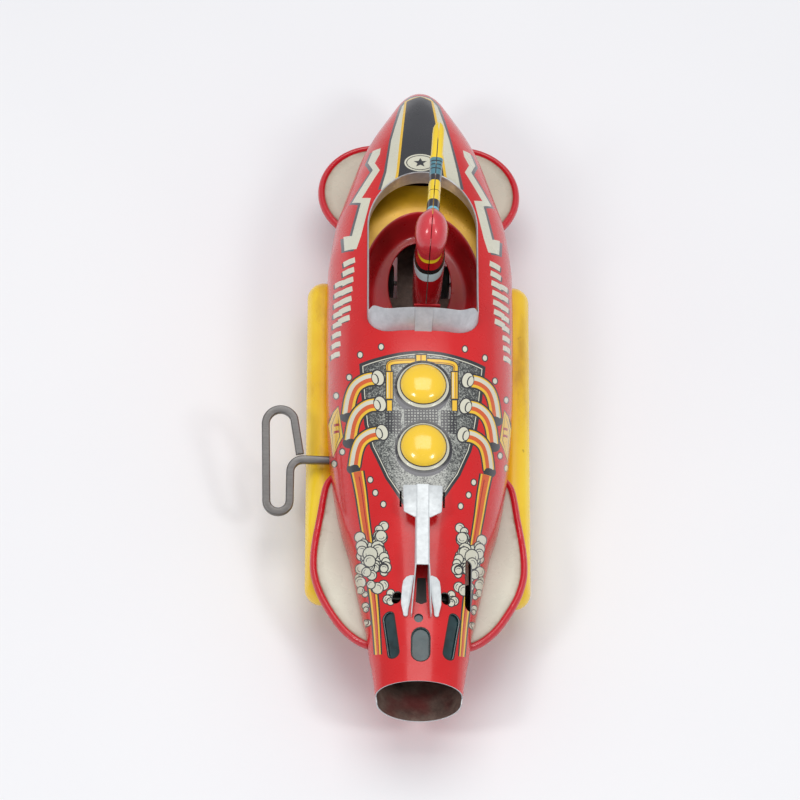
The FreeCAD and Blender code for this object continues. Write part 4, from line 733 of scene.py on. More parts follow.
    ('panel', 0, [(-2.43, -37.62), (-1.72, -37.61), (-1.72, -38.34), (-2.42, -38.35)]),
    ('panel', 0, [(-2.42, -38.93), (-1.71, -38.92), (-1.71, -39.65), (-2.41, -39.66)]),
    ('panel', 0, [(-1.21, -32.36), (-0.5, -32.34), (-0.5, -33.08), (-1.2, -33.1)]),
    ('panel', 0, [(-1.2, -33.68), (-0.49, -33.66), (-0.49, -34.4), (-1.19, -34.41)]),
    ('panel', 0, [(-1.19, -34.99), (-0.48, -34.97), (-0.48, -35.71), (-1.18, -35.72)]),
    ('panel', 0, [(-1.18, -36.3), (-0.47, -36.28), (-0.47, -37.01), (-1.17, -37.03)]),
    ('panel', 0, [(-1.17, -37.6), (-0.46, -37.59), (-0.46, -38.32), (-1.16, -38.33)]),
    ('panel', 0, [(-1.16, -38.91), (-0.46, -38.89), (-0.45, -39.62), (-1.15, -39.64)]),
    ('panel', 0, [(0.05, -32.33), (0.76, -32.31), (0.76, -33.05), (0.06, -33.07)]),
    ('panel', 0, [(0.06, -33.65), (0.77, -33.62), (0.77, -34.36), (0.07, -34.38)]),
    ('panel', 0, [(0.07, -34.96), (0.78, -34.94), (0.78, -35.67), (0.08, -35.69)]),
    ('panel', 0, [(0.08, -36.27), (0.78, -36.24), (0.79, -36.98), (0.08, -37)]),
    ('panel', 0, [(0.09, -37.57), (0.79, -37.55), (0.8, -38.28), (0.09, -38.3)]),
    ('panel', 0, [(0.1, -38.87), (0.8, -38.85), (0.81, -39.58), (0.1, -39.6)]),
    ('panel', 0, [(1.31, -32.29), (2.02, -32.26), (2.02, -33), (1.32, -33.03)]),
    ('panel', 0, [(1.32, -33.61), (2.03, -33.58), (2.03, -34.31), (1.33, -34.34)]),
    ('panel', 0, [(1.33, -34.92), (2.03, -34.89), (2.04, -35.62), (1.33, -35.65)]),
    ('panel', 0, [(1.34, -36.23), (2.04, -36.2), (2.05, -36.93), (1.34, -36.96)]),
    ('panel', 0, [(1.35, -37.53), (2.05, -37.51), (2.06, -38.24), (1.35, -38.26)]),
    ('panel', 0, [(1.36, -38.84), (2.06, -38.81), (2.07, -39.54), (1.36, -39.56)]),
    ('panel', 0, [(2.57, -32.24), (3.28, -32.2), (3.28, -32.94), (2.58, -32.98)]),
    ('panel', 0, [(2.58, -33.55), (3.29, -33.52), (3.29, -34.25), (2.58, -34.29)]),
    ('panel', 0, [(2.59, -34.87), (3.29, -34.83), (3.3, -35.56), (2.59, -35.6)]),
    ('panel', 0, [(2.6, -36.18), (3.3, -36.14), (3.31, -36.87), (2.6, -36.91)]),
    ('panel', 0, [(2.61, -37.48), (3.31, -37.45), (3.32, -38.18), (2.61, -38.21)]),
    ('panel', 0, [(2.61, -38.78), (3.32, -38.75), (3.32, -39.48), (2.62, -39.51)]),
    ('panel', 0, [(3.83, -32.17), (4.54, -32.13), (4.54, -32.87), (3.84, -32.91)]),
    ('panel', 0, [(3.84, -33.49), (4.55, -33.44), (4.55, -34.18), (3.85, -34.22)]),
    ('panel', 0, [(3.85, -34.8), (4.55, -34.76), (4.56, -35.49), (3.85, -35.53)]),
    ('panel', 0, [(3.86, -36.11), (4.56, -36.07), (4.57, -36.8), (3.86, -36.84)]),
    ('panel', 0, [(3.87, -37.42), (4.57, -37.37), (4.58, -38.1), (3.87, -38.15)]),
    ('panel', 0, [(3.87, -38.72), (4.58, -38.67), (4.58, -39.4), (3.88, -39.45)]),
    ('panel', 0, [(5.09, -32.09), (5.8, -32.04), (5.81, -32.77), (5.1, -32.83)]),
    ('panel', 0, [(5.1, -33.41), (5.81, -33.35), (5.81, -34.09), (5.11, -34.14)]),
    ('panel', 0, [(5.11, -34.72), (5.82, -34.66), (5.82, -35.4), (5.11, -35.45)]),
    ('panel', 0, [(5.12, -36.03), (5.82, -35.97), (5.83, -36.71), (5.12, -36.76)]),
    ('panel', 0, [(5.13, -37.33), (5.83, -37.28), (5.84, -38.01), (5.13, -38.06)]),
    ('panel', 0, [(5.13, -38.64), (5.84, -38.58), (5.85, -39.31), (5.14, -39.36)]),
    ('black', 1, [(-19.23, -12.18), (-19.8, -12.1), (-20.69, -11.93), (-21.85, -11.71), (-23.16, -11.52), (-24.47, -11.47), (-25.62, -11.57), (-26.7, -11.74), (-27.77, -12.01), (-28.81, -12.41), (-29.76, -12.98), (-30.55, -13.73), (-31.19, -14.6), (-31.69, -15.58), (-32.11, -16.64), (-32.49, -17.82), (-32.82, -19.3), (-33.1, -21.02), (-33.32, -22.7), (-33.49, -24.13), (-33.62, -25.09), (-27.86, -30.4), (-27.71, -29.36), (-27.52, -27.89), (-27.29, -26.24), (-27.03, -24.69), (-26.75, -23.47), (-26.45, -22.54), (-26.14, -21.7), (-25.82, -21.04), (-25.49, -20.53), (-25.14, -20.15), (-24.73, -19.85), (-24.22, -19.6), (-23.62, -19.41), (-22.96, -19.26), (-22.38, -19.18), (-21.81, -19.19), (-21.05, -19.31), (-20.17, -19.48), (-19.32, -19.66), (-18.66, -19.77)]),
    ('black', 1, [(-28.16, -29.74), (-28.14, -30.74), (-28.47, -31.51), (-29.1, -31.93), (-29.95, -31.93), (-30.93, -31.47), (-31.91, -30.58), (-32.78, -29.38), (-33.43, -28.05), (-33.78, -26.78), (-33.8, -25.78), (-33.48, -25.16), (-32.86, -24.96), (-32.01, -25.16), (-31.03, -25.69), (-30.05, -26.5), (-29.17, -27.5), (-28.52, -28.62)]),
    ('yellow', 1, [(-19.17, -12.99), (-19.75, -12.91), (-20.64, -12.74), (-21.76, -12.52), (-23.02, -12.34), (-24.25, -12.3), (-25.34, -12.4), (-26.37, -12.58), (-27.4, -12.84), (-28.38, -13.24), (-29.27, -13.8), (-30.01, -14.52), (-30.62, -15.37), (-31.1, -16.33), (-31.51, -17.37), (-31.88, -18.54), (-32.21, -20), (-32.49, -21.71), (-32.71, -23.4), (-32.88, -24.83), (-33.01, -25.8), (-28.48, -29.95), (-28.33, -28.92), (-28.14, -27.44), (-27.91, -25.79), (-27.65, -24.21), (-27.36, -22.96), (-27.06, -21.99), (-26.73, -21.13), (-26.39, -20.42), (-26.03, -19.86), (-25.64, -19.43), (-25.17, -19.09), (-24.6, -18.82), (-23.94, -18.61), (-23.24, -18.45), (-22.6, -18.37), (-21.95, -18.38), (-21.13, -18.5), (-20.23, -18.68), (-19.37, -18.86), (-18.72, -18.97)]),
    ('cream', 1, [(-19.12, -13.63), (-19.71, -13.54), (-20.6, -13.37), (-21.7, -13.16), (-22.9, -12.99), (-24.07, -12.95), (-25.11, -13.05), (-26.11, -13.23), (-27.1, -13.49), (-28.04, -13.88), (-28.89, -14.43), (-29.59, -15.13), (-30.17, -15.95), (-30.64, -16.89), (-31.04, -17.92), (-31.4, -19.07), (-31.73, -20.52), (-32.01, -22.22), (-32.23, -23.9), (-32.41, -25.35), (-32.53, -26.33), (-30.23, -28.53), (-30.09, -27.53), (-29.9, -26.06), (-29.67, -24.39), (-29.4, -22.77), (-29.09, -21.43), (-28.76, -20.37), (-28.4, -19.43), (-28, -18.62), (-27.54, -17.93), (-27.01, -17.38), (-26.38, -16.94), (-25.65, -16.61), (-24.85, -16.37), (-24.02, -16.21), (-23.21, -16.12), (-22.35, -16.14), (-21.37, -16.28), (-20.38, -16.48), (-19.51, -16.66), (-18.88, -16.77)]),
    ('orange', 1, [(-18.97, -15.54), (-19.59, -15.45), (-20.46, -15.28), (-21.49, -15.08), (-22.56, -14.94), (-23.54, -14.92), (-24.44, -15.02), (-25.33, -15.2), (-26.19, -15.46), (-27, -15.82), (-27.7, -16.31), (-28.29, -16.93), (-28.79, -17.68), (-29.21, -18.55), (-29.58, -19.53), (-29.92, -20.63), (-30.23, -22.01), (-30.5, -23.67), (-30.72, -25.36), (-30.9, -26.82), (-31.03, -27.82), (-29.52, -29.14), (-29.38, -28.11), (-29.19, -26.64), (-28.96, -24.98), (-28.7, -23.37), (-28.4, -22.06), (-28.08, -21.04), (-27.73, -20.12), (-27.36, -19.35), (-26.94, -18.71), (-26.47, -18.19), (-25.91, -17.79), (-25.24, -17.48), (-24.5, -17.24), (-23.72, -17.08), (-22.98, -16.98), (-22.2, -17), (-21.28, -17.13), (-20.32, -17.32), (-19.46, -17.5), (-18.82, -17.6)]),
    ('black', 1, [(-28.88, -29.29), (-28.91, -29.86), (-29.24, -30.24), (-29.83, -30.36), (-30.58, -30.17), (-31.37, -29.68), (-32.1, -28.97), (-32.64, -28.16), (-32.91, -27.41), (-32.88, -26.85), (-32.56, -26.57), (-31.98, -26.58), (-31.23, -26.84), (-30.43, -27.32), (-29.71, -27.93), (-29.16, -28.61)]),
    ('black', 1, [(-15.86, -15.59), (-15.68, -16.93), (-15.77, -18.18), (-16.14, -19.21), (-16.74, -19.93), (-17.51, -20.24), (-18.39, -20.13), (-19.27, -19.58), (-20.09, -18.67), (-20.75, -17.47), (-21.2, -16.13), (-21.38, -14.76), (-21.29, -13.53), (-20.93, -12.53), (-20.33, -11.87), (-19.55, -11.6), (-18.68, -11.73), (-17.79, -12.27), (-16.97, -13.15), (-16.31, -14.29)]),
    ('cream', 1, [(-16.41, -15.58), (-16.25, -16.7), (-16.32, -17.75), (-16.59, -18.61), (-17.06, -19.21), (-17.68, -19.46), (-18.37, -19.36), (-19.08, -18.9), (-19.74, -18.13), (-20.28, -17.13), (-20.65, -16.01), (-20.81, -14.86), (-20.75, -13.82), (-20.47, -12.98), (-20.01, -12.42), (-19.39, -12.19), (-18.7, -12.31), (-17.98, -12.76), (-17.32, -13.51), (-16.78, -14.48)]),
    ('black', 1, [(-18.34, -15.99), (-18.19, -17.15), (-18.32, -18.11), (-18.7, -18.68), (-19.26, -18.73), (-19.89, -18.25), (-20.45, -17.34), (-20.85, -16.19), (-20.99, -15.01), (-20.86, -14.06), (-20.48, -13.52), (-19.93, -13.48), (-19.3, -13.96), (-18.74, -14.85)]),
    ('cream', 1, [(-18.86, -15.93), (-18.73, -16.97), (-18.83, -17.82), (-19.14, -18.31), (-19.61, -18.35), (-20.14, -17.92), (-20.63, -17.11), (-20.98, -16.08), (-21.11, -15.04), (-21.01, -14.19), (-20.7, -13.71), (-20.23, -13.69), (-19.7, -14.12), (-19.21, -14.92)]),
    ('black', 1, [(-18.3, -24.89), (-18.88, -24.82), (-19.77, -24.66), (-20.95, -24.45), (-22.29, -24.29), (-23.64, -24.3), (-24.83, -24.49), (-25.89, -24.79), (-26.89, -25.19), (-27.83, -25.68), (-28.67, -26.29), (-29.39, -26.99), (-30.01, -27.78), (-30.53, -28.68), (-30.96, -29.67), (-31.35, -30.81), (-31.69, -32.24), (-31.97, -33.89), (-32.19, -35.51), (-32.35, -36.89), (-32.47, -37.82), (-26.72, -42.78), (-26.57, -41.76), (-26.38, -40.31), (-26.15, -38.7), (-25.89, -37.19), (-25.62, -36.05), (-25.33, -35.2), (-25.02, -34.47), (-24.71, -33.89), (-24.36, -33.4), (-23.98, -32.98), (-23.53, -32.61), (-23, -32.29), (-22.43, -32.02), (-21.84, -31.82), (-21.37, -31.72), (-20.88, -31.71), (-20.15, -31.81), (-19.29, -31.97), (-18.42, -32.14), (-17.76, -32.24)]),
    ('black', 1, [(-27.01, -42.13), (-27, -43.11), (-27.32, -43.87), (-27.95, -44.29), (-28.8, -44.31), (-29.78, -43.89), (-30.76, -43.06), (-31.63, -41.92), (-32.28, -40.65), (-32.64, -39.45), (-32.66, -38.49), (-32.34, -37.88), (-31.72, -37.66), (-30.87, -37.81), (-29.89, -38.29), (-28.91, -39.04), (-28.03, -39.99), (-27.37, -41.05)]),
    ('yellow', 1, [(-18.24, -25.68), (-18.83, -25.6), (-19.72, -25.44), (-20.86, -25.24), (-22.14, -25.09), (-23.4, -25.1), (-24.51, -25.3), (-25.52, -25.59), (-26.48, -25.98), (-27.37, -26.46), (-28.17, -27.05), (-28.86, -27.73), (-29.44, -28.5), (-29.94, -29.38), (-30.36, -30.35), (-30.74, -31.46), (-31.08, -32.87), (-31.35, -34.51), (-31.57, -36.14), (-31.74, -37.54), (-31.86, -38.48), (-27.34, -42.35), (-27.19, -41.33), (-27, -39.89), (-26.77, -38.27), (-26.51, -36.75), (-26.23, -35.57), (-25.93, -34.69), (-25.61, -33.92), (-25.27, -33.29), (-24.9, -32.77), (-24.48, -32.31), (-23.99, -31.91), (-23.42, -31.56), (-22.8, -31.27), (-22.16, -31.06), (-21.61, -30.94), (-21.03, -30.93), (-20.23, -31.03), (-19.34, -31.19), (-18.47, -31.36), (-17.81, -31.47)]),
    ('cream', 1, [(-18.2, -26.3), (-18.79, -26.22), (-19.68, -26.06), (-20.8, -25.86), (-22.02, -25.72), (-23.21, -25.73), (-24.27, -25.92), (-25.23, -26.21), (-26.16, -26.59), (-27.01, -27.07), (-27.78, -27.64), (-28.44, -28.3), (-29, -29.05), (-29.49, -29.9), (-29.9, -30.86), (-30.27, -31.96), (-30.6, -33.34), (-30.87, -34.98), (-31.09, -36.61), (-31.26, -38.01), (-31.39, -38.96), (-29.09, -41.02), (-28.95, -40.03), (-28.76, -38.6), (-28.53, -36.98), (-28.26, -35.41), (-27.96, -34.13), (-27.62, -33.15), (-27.26, -32.3), (-26.86, -31.58), (-26.4, -30.95), (-25.87, -30.4), (-25.26, -29.92), (-24.57, -29.51), (-23.82, -29.18), (-23.04, -28.93), (-22.28, -28.78), (-21.44, -28.77), (-20.47, -28.89), (-19.48, -29.07), (-18.6, -29.25), (-17.97, -29.34)]),
    ('orange', 1, [(-18.06, -28.16), (-18.68, -28.07), (-19.56, -27.91), (-20.59, -27.73), (-21.66, -27.61), (-22.63, -27.63), (-23.5, -27.8), (-24.35, -28.07), (-25.16, -28.43), (-25.91, -28.88), (-26.58, -29.4), (-27.15, -30), (-27.64, -30.68), (-28.07, -31.47), (-28.44, -32.36), (-28.78, -33.39), (-29.09, -34.71), (-29.36, -36.32), (-29.58, -37.95), (-29.75, -39.37), (-29.88, -40.35), (-28.37, -41.58), (-28.23, -40.58), (-28.05, -39.15), (-27.82, -37.52), (-27.56, -35.97), (-27.27, -34.72), (-26.95, -33.78), (-26.61, -32.96), (-26.23, -32.27), (-25.81, -31.68), (-25.33, -31.16), (-24.76, -30.71), (-24.12, -30.32), (-23.42, -30), (-22.7, -29.76), (-22.02, -29.62), (-21.28, -29.6), (-20.38, -29.71), (-19.43, -29.88), (-18.55, -30.05), (-17.91, -30.15)]),
    ('black', 1, [(-27.74, -41.71), (-27.77, -42.27), (-28.1, -42.65), (-28.68, -42.78), (-29.43, -42.62), (-30.23, -42.17), (-30.95, -41.5), (-31.49, -40.73), (-31.77, -40.02), (-31.74, -39.48), (-31.41, -39.19), (-30.83, -39.18), (-30.09, -39.41), (-29.29, -39.84), (-28.56, -40.42), (-28.02, -41.07)]),
    ('black', 1, [(-14.96, -28.16), (-14.77, -29.45), (-14.86, -30.66), (-15.23, -31.67), (-15.82, -32.36), (-16.6, -32.68), (-17.47, -32.58), (-18.36, -32.07), (-19.17, -31.2), (-19.83, -30.05), (-20.28, -28.76), (-20.47, -27.44), (-20.38, -26.24), (-20.01, -25.26), (-19.42, -24.6), (-18.65, -24.32), (-17.77, -24.44), (-16.88, -24.95), (-16.07, -25.79), (-15.4, -26.9)]),
    ('cream', 1, [(-15.51, -28.15), (-15.34, -29.24), (-15.4, -30.26), (-15.68, -31.09), (-16.15, -31.67), (-16.76, -31.93), (-17.46, -31.84), (-18.17, -31.41), (-18.83, -30.68), (-19.37, -29.72), (-19.74, -28.63), (-19.9, -27.53), (-19.84, -26.51), (-19.56, -25.69), (-19.09, -25.14), (-18.48, -24.9), (-17.79, -25.01), (-17.08, -25.44), (-16.42, -26.16), (-15.88, -27.09)]),
    ('black', 1, [(-17.43, -28.58), (-17.28, -29.71), (-17.41, -30.64), (-17.79, -31.18), (-18.35, -31.24), (-18.97, -30.79), (-19.53, -29.92), (-19.93, -28.81), (-20.08, -27.68), (-19.95, -26.75), (-19.57, -26.21), (-19.01, -26.17), (-18.39, -26.62), (-17.82, -27.48)]),
    ('cream', 1, [(-17.95, -28.54), (-17.81, -29.53), (-17.91, -30.36), (-18.23, -30.84), (-18.7, -30.88), (-19.23, -30.48), (-19.72, -29.7), (-20.06, -28.71), (-20.2, -27.7), (-20.1, -26.88), (-19.79, -26.41), (-19.32, -26.37), (-18.78, -26.78), (-18.3, -27.55)]),
    ('black', 1, [(-17.53, -38.31), (-18.12, -38.28), (-19.02, -38.19), (-20.17, -38.08), (-21.45, -38), (-22.72, -38.05), (-23.83, -38.25), (-24.84, -38.51), (-25.82, -38.87), (-26.73, -39.35), (-27.57, -39.97), (-28.26, -40.74), (-28.79, -41.6), (-29.2, -42.52), (-29.52, -43.48), (-29.81, -44.51), (-30.08, -45.78), (-30.31, -47.22), (-30.49, -48.63), (-30.63, -49.83), (-30.72, -50.63), (-24.96, -55.12), (-24.83, -54.24), (-24.67, -52.99), (-24.48, -51.6), (-24.27, -50.29), (-24.04, -49.24), (-23.79, -48.4), (-23.54, -47.65), (-23.3, -47.07), (-23.04, -46.63), (-22.77, -46.3), (-22.43, -46.01), (-21.99, -45.75), (-21.47, -45.52), (-20.9, -45.35), (-20.39, -45.23), (-19.84, -45.2), (-19.07, -45.25), (-18.18, -45.35), (-17.31, -45.45), (-16.65, -45.5)]),
    ('black', 1, [(-25.26, -54.52), (-25.24, -55.47), (-25.56, -56.22), (-26.19, -56.65), (-27.04, -56.7), (-28.02, -56.33), (-29, -55.57), (-29.87, -54.52), (-30.52, -53.34), (-30.88, -52.2), (-30.9, -51.27), (-30.58, -50.66), (-29.96, -50.4), (-29.11, -50.49), (-28.14, -50.9), (-27.15, -51.58), (-26.28, -52.47), (-25.62, -53.48)]),
    ('yellow', 1, [(-17.44, -39.08), (-18.03, -39.05), (-18.93, -38.96), (-20.05, -38.85), (-21.28, -38.77), (-22.48, -38.83), (-23.52, -39.02), (-24.48, -39.28), (-25.41, -39.63), (-26.28, -40.09), (-27.06, -40.69), (-27.7, -41.42), (-28.21, -42.25), (-28.6, -43.15), (-28.91, -44.08), (-29.2, -45.1), (-29.47, -46.35), (-29.69, -47.79), (-29.87, -49.2), (-30.01, -50.41), (-30.11, -51.22), (-25.58, -54.72), (-25.46, -53.85), (-25.3, -52.61), (-25.11, -51.21), (-24.89, -49.88), (-24.66, -48.81), (-24.41, -47.94), (-24.15, -47.17), (-23.88, -46.54), (-23.6, -46.05), (-23.28, -45.66), (-22.89, -45.33), (-22.39, -45.04), (-21.83, -44.79), (-21.21, -44.6), (-20.64, -44.48), (-20.02, -44.44), (-19.19, -44.49), (-18.27, -44.59), (-17.39, -44.69), (-16.74, -44.74)]),
    ('cream', 1, [(-17.37, -39.69), (-17.96, -39.65), (-18.86, -39.56), (-19.96, -39.45), (-21.15, -39.38), (-22.28, -39.43), (-23.28, -39.62), (-24.2, -39.88), (-25.09, -40.22), (-25.92, -40.67), (-26.66, -41.24), (-27.27, -41.94), (-27.75, -42.74), (-28.13, -43.62), (-28.44, -44.54), (-28.72, -45.54), (-28.98, -46.78), (-29.21, -48.21), (-29.39, -49.62), (-29.53, -50.83), (-29.63, -51.65), (-27.33, -53.52), (-27.21, -52.67), (-27.06, -51.44), (-26.87, -50.03), (-26.64, -48.65), (-26.39, -47.51), (-26.12, -46.58), (-25.84, -45.74), (-25.53, -45.01), (-25.15, -44.38), (-24.71, -43.85), (-24.16, -43.41), (-23.53, -43.05), (-22.82, -42.75), (-22.07, -42.53), (-21.33, -42.38), (-20.49, -42.34), (-19.51, -42.4), (-18.51, -42.51), (-17.63, -42.61), (-17, -42.66)]),
    ('orange', 1, [(-17.14, -41.5), (-17.76, -41.46), (-18.65, -41.37), (-19.68, -41.27), (-20.74, -41.21), (-21.69, -41.27), (-22.53, -41.44), (-23.34, -41.68), (-24.11, -42), (-24.81, -42.4), (-25.43, -42.9), (-25.93, -43.51), (-26.34, -44.21), (-26.67, -45), (-26.96, -45.88), (-27.22, -46.84), (-27.48, -48.02), (-27.69, -49.43), (-27.88, -50.84), (-28.02, -52.07), (-28.13, -52.91), (-26.61, -54.03), (-26.5, -53.17), (-26.34, -51.93), (-26.16, -50.53), (-25.94, -49.16), (-25.7, -48.04), (-25.44, -47.14), (-25.17, -46.32), (-24.87, -45.63), (-24.54, -45.05), (-24.15, -44.57), (-23.66, -44.17), (-23.08, -43.83), (-22.43, -43.55), (-21.74, -43.34), (-21.06, -43.19), (-20.31, -43.15), (-19.39, -43.2), (-18.42, -43.3), (-17.54, -43.4), (-16.9, -43.44)]),
    ('black', 1, [(-25.98, -54.14), (-26.01, -54.68), (-26.34, -55.07), (-26.93, -55.21), (-27.67, -55.09), (-28.47, -54.69), (-29.19, -54.08), (-29.73, -53.37), (-30.01, -52.69), (-29.98, -52.17), (-29.66, -51.87), (-29.08, -51.82), (-28.33, -52.01), (-27.53, -52.39), (-26.81, -52.91), (-26.26, -53.52)]),
    ('black', 1, [(-14.02, -41.46), (-13.83, -42.72), (-13.93, -43.91), (-14.29, -44.89), (-14.88, -45.58), (-15.66, -45.9), (-16.53, -45.81), (-17.41, -45.32), (-18.23, -44.48), (-18.89, -43.37), (-19.34, -42.11), (-19.53, -40.83), (-19.44, -39.66), (-19.08, -38.71), (-18.48, -38.06), (-17.71, -37.78), (-16.84, -37.89), (-15.95, -38.37), (-15.13, -39.18), (-14.47, -40.24)]),
    ('cream', 1, [(-14.57, -41.46), (-14.41, -42.53), (-14.47, -43.52), (-14.74, -44.34), (-15.21, -44.91), (-15.82, -45.17), (-16.52, -45.09), (-17.23, -44.67), (-17.88, -43.97), (-18.42, -43.04), (-18.79, -41.98), (-18.96, -40.91), (-18.9, -39.92), (-18.62, -39.12), (-18.16, -38.58), (-17.55, -38.34), (-16.85, -38.44), (-16.14, -38.85), (-15.48, -39.53), (-14.94, -40.43)]),
    ('black', 1, [(-16.49, -41.91), (-16.34, -43), (-16.47, -43.91), (-16.85, -44.45), (-17.4, -44.51), (-18.03, -44.08), (-18.59, -43.24), (-18.99, -42.16), (-19.14, -41.05), (-19.01, -40.15), (-18.63, -39.63), (-18.08, -39.58), (-17.45, -40.01), (-16.89, -40.84)]),
    ('cream', 1, [(-17.01, -41.87), (-16.87, -42.84), (-16.97, -43.64), (-17.29, -44.12), (-17.75, -44.17), (-18.29, -43.78), (-18.77, -43.02), (-19.12, -42.06), (-19.26, -41.08), (-19.16, -40.28), (-18.85, -39.82), (-18.38, -39.78), (-17.85, -40.17), (-17.36, -40.91)]),
    ('black', 1, [(-29.58, -54.66), (-29.37, -55.72), (-29.09, -57.14), (-28.77, -58.81), (-28.43, -60.6), (-28.1, -62.41), (-27.79, -64.1), (-27.52, -65.69), (-27.27, -67.28), (-27.02, -68.9), (-26.76, -70.6), (-26.47, -72.37), (-26.16, -74.25), (-25.78, -76.4), (-25.35, -78.85), (-24.91, -81.42), (-24.48, -83.9), (-24.11, -86.04), (-23.84, -87.58), (-19.51, -89.45), (-19.69, -87.96), (-19.97, -85.85), (-20.3, -83.37), (-20.65, -80.77), (-20.98, -78.28), (-21.26, -76.13), (-21.48, -74.3), (-21.66, -72.59), (-21.83, -70.94), (-22, -69.32), (-22.17, -67.71), (-22.35, -66.08), (-22.58, -64.36), (-22.83, -62.56), (-23.08, -60.79), (-23.32, -59.17), (-23.51, -57.82), (-23.63, -56.83)]),
    ('yellow', 1, [(-28.88, -55.03), (-28.67, -56.08), (-28.39, -57.5), (-28.08, -59.15), (-27.75, -60.94), (-27.42, -62.74), (-27.12, -64.44), (-26.86, -66.03), (-26.61, -67.62), (-26.37, -69.25), (-26.11, -70.94), (-25.84, -72.7), (-25.53, -74.57), (-25.16, -76.72), (-24.74, -79.18), (-24.3, -81.76), (-23.88, -84.25), (-23.52, -86.39), (-23.25, -87.92), (-20.11, -89.27), (-20.29, -87.77), (-20.58, -85.66), (-20.91, -83.18), (-21.27, -80.58), (-21.61, -78.1), (-21.9, -75.95), (-22.12, -74.12), (-22.31, -72.4), (-22.49, -70.75), (-22.66, -69.14), (-22.84, -67.54), (-23.03, -65.91), (-23.26, -64.2), (-23.52, -62.4), (-23.78, -60.64), (-24.02, -59.02), (-24.21, -57.66), (-24.34, -56.67)]),
    ('orange', 1, [(-28.17, -55.37), (-27.97, -56.41), (-27.7, -57.81), (-27.39, -59.46), (-27.07, -61.25), (-26.74, -63.04), (-26.45, -64.74), (-26.19, -66.34), (-25.95, -67.94), (-25.71, -69.56), (-25.46, -71.24), (-25.2, -73), (-24.9, -74.86), (-24.54, -77.01), (-24.12, -79.49), (-23.69, -82.07), (-23.28, -84.57), (-22.93, -86.7), (-22.67, -88.23), (-20.7, -89.06), (-20.89, -87.57), (-21.18, -85.46), (-21.53, -82.98), (-21.89, -80.38), (-22.24, -77.9), (-22.53, -75.76), (-22.76, -73.92), (-22.97, -72.2), (-23.15, -70.55), (-23.32, -68.94), (-23.51, -67.34), (-23.71, -65.73), (-23.94, -64.02), (-24.2, -62.23), (-24.47, -60.46), (-24.72, -58.84), (-24.92, -57.48), (-25.05, -56.48)]),
    ('red2', 1, [(-26.05, -58.44), (-25.77, -60.08), (-25.47, -61.85), (-25.17, -63.64), (-24.9, -65.35), (-24.67, -66.95), (-24.45, -68.55), (-24.24, -70.17), (-24.02, -71.84), (-23.78, -73.58), (-23.51, -75.42), (-23.18, -77.57), (-22.79, -80.05), (-22.39, -82.65), (-22.01, -85.14), (-21.68, -87.26), (-21.45, -88.78), (-21.13, -88.9), (-21.35, -87.39), (-21.67, -85.27), (-22.04, -82.79), (-22.44, -80.19), (-22.81, -77.71), (-23.13, -75.56), (-23.39, -73.71), (-23.62, -71.98), (-23.83, -70.32), (-24.03, -68.7), (-24.24, -67.1), (-24.47, -65.49), (-24.73, -63.79), (-25.01, -61.99), (-25.31, -60.22), (-25.58, -58.59)]),
    ('black', 1, [(-22.3, -102.99), (-22.13, -104.02), (-21.92, -105.42), (-21.68, -107.08), (-21.42, -108.88), (-21.17, -110.7), (-20.94, -112.42), (-20.73, -114.08), (-20.53, -115.77), (-20.33, -117.49), (-20.13, -119.24), (-19.94, -121.05), (-19.77, -122.91), (-19.59, -124.92), (-19.42, -127.09), (-19.24, -129.23), (-19.08, -131.15), (-18.93, -132.72), (-18.82, -133.84), (-15.48, -136.03), (-15.53, -134.9), (-15.6, -133.33), (-15.7, -131.47), (-15.81, -129.42), (-15.92, -127.33), (-16.03, -125.38), (-16.14, -123.54), (-16.25, -121.69), (-16.37, -119.86), (-16.5, -118.08), (-16.64, -116.35), (-16.78, -114.66), (-16.94, -112.9), (-17.13, -111.07), (-17.32, -109.27), (-17.49, -107.62), (-17.64, -106.25), (-17.73, -105.25)]),
    ('yellow', 1, [(-21.59, -103.47), (-21.44, -104.5), (-21.23, -105.9), (-20.99, -107.55), (-20.74, -109.35), (-20.5, -111.17), (-20.28, -112.91), (-20.08, -114.57), (-19.88, -116.27), (-19.68, -118.01), (-19.5, -119.78), (-19.32, -121.62), (-19.15, -123.49), (-18.98, -125.49), (-18.81, -127.65), (-18.64, -129.76), (-18.48, -131.66), (-18.35, -133.23), (-18.24, -134.37), (-16.08, -135.74), (-16.13, -134.62), (-16.21, -133.06), (-16.31, -131.19), (-16.43, -129.14), (-16.55, -127.05), (-16.66, -125.09), (-16.78, -123.24), (-16.9, -121.4), (-17.03, -119.58), (-17.16, -117.8), (-17.31, -116.08), (-17.46, -114.4), (-17.62, -112.65), (-17.81, -110.82), (-18.01, -109.02), (-18.19, -107.38), (-18.34, -106), (-18.44, -105.01)]),
    ('orange', 1, [(-20.89, -103.89), (-20.74, -104.91), (-20.54, -106.31), (-20.31, -107.96), (-20.07, -109.76), (-19.83, -111.59), (-19.61, -113.33), (-19.42, -115), (-19.22, -116.71), (-19.04, -118.46), (-18.86, -120.26), (-18.69, -122.11), (-18.52, -123.98), (-18.36, -125.98), (-18.2, -128.11), (-18.04, -130.21), (-17.88, -132.1), (-17.75, -133.67), (-17.65, -134.81), (-16.67, -135.43), (-16.73, -134.3), (-16.82, -132.75), (-16.93, -130.88), (-17.05, -128.82), (-17.17, -126.72), (-17.29, -124.76), (-17.41, -122.91), (-17.54, -121.07), (-17.68, -119.26), (-17.82, -117.5), (-17.97, -115.78), (-18.13, -114.11), (-18.3, -112.37), (-18.5, -110.54), (-18.7, -108.75), (-18.89, -107.11), (-19.05, -105.73), (-19.15, -104.73)]),
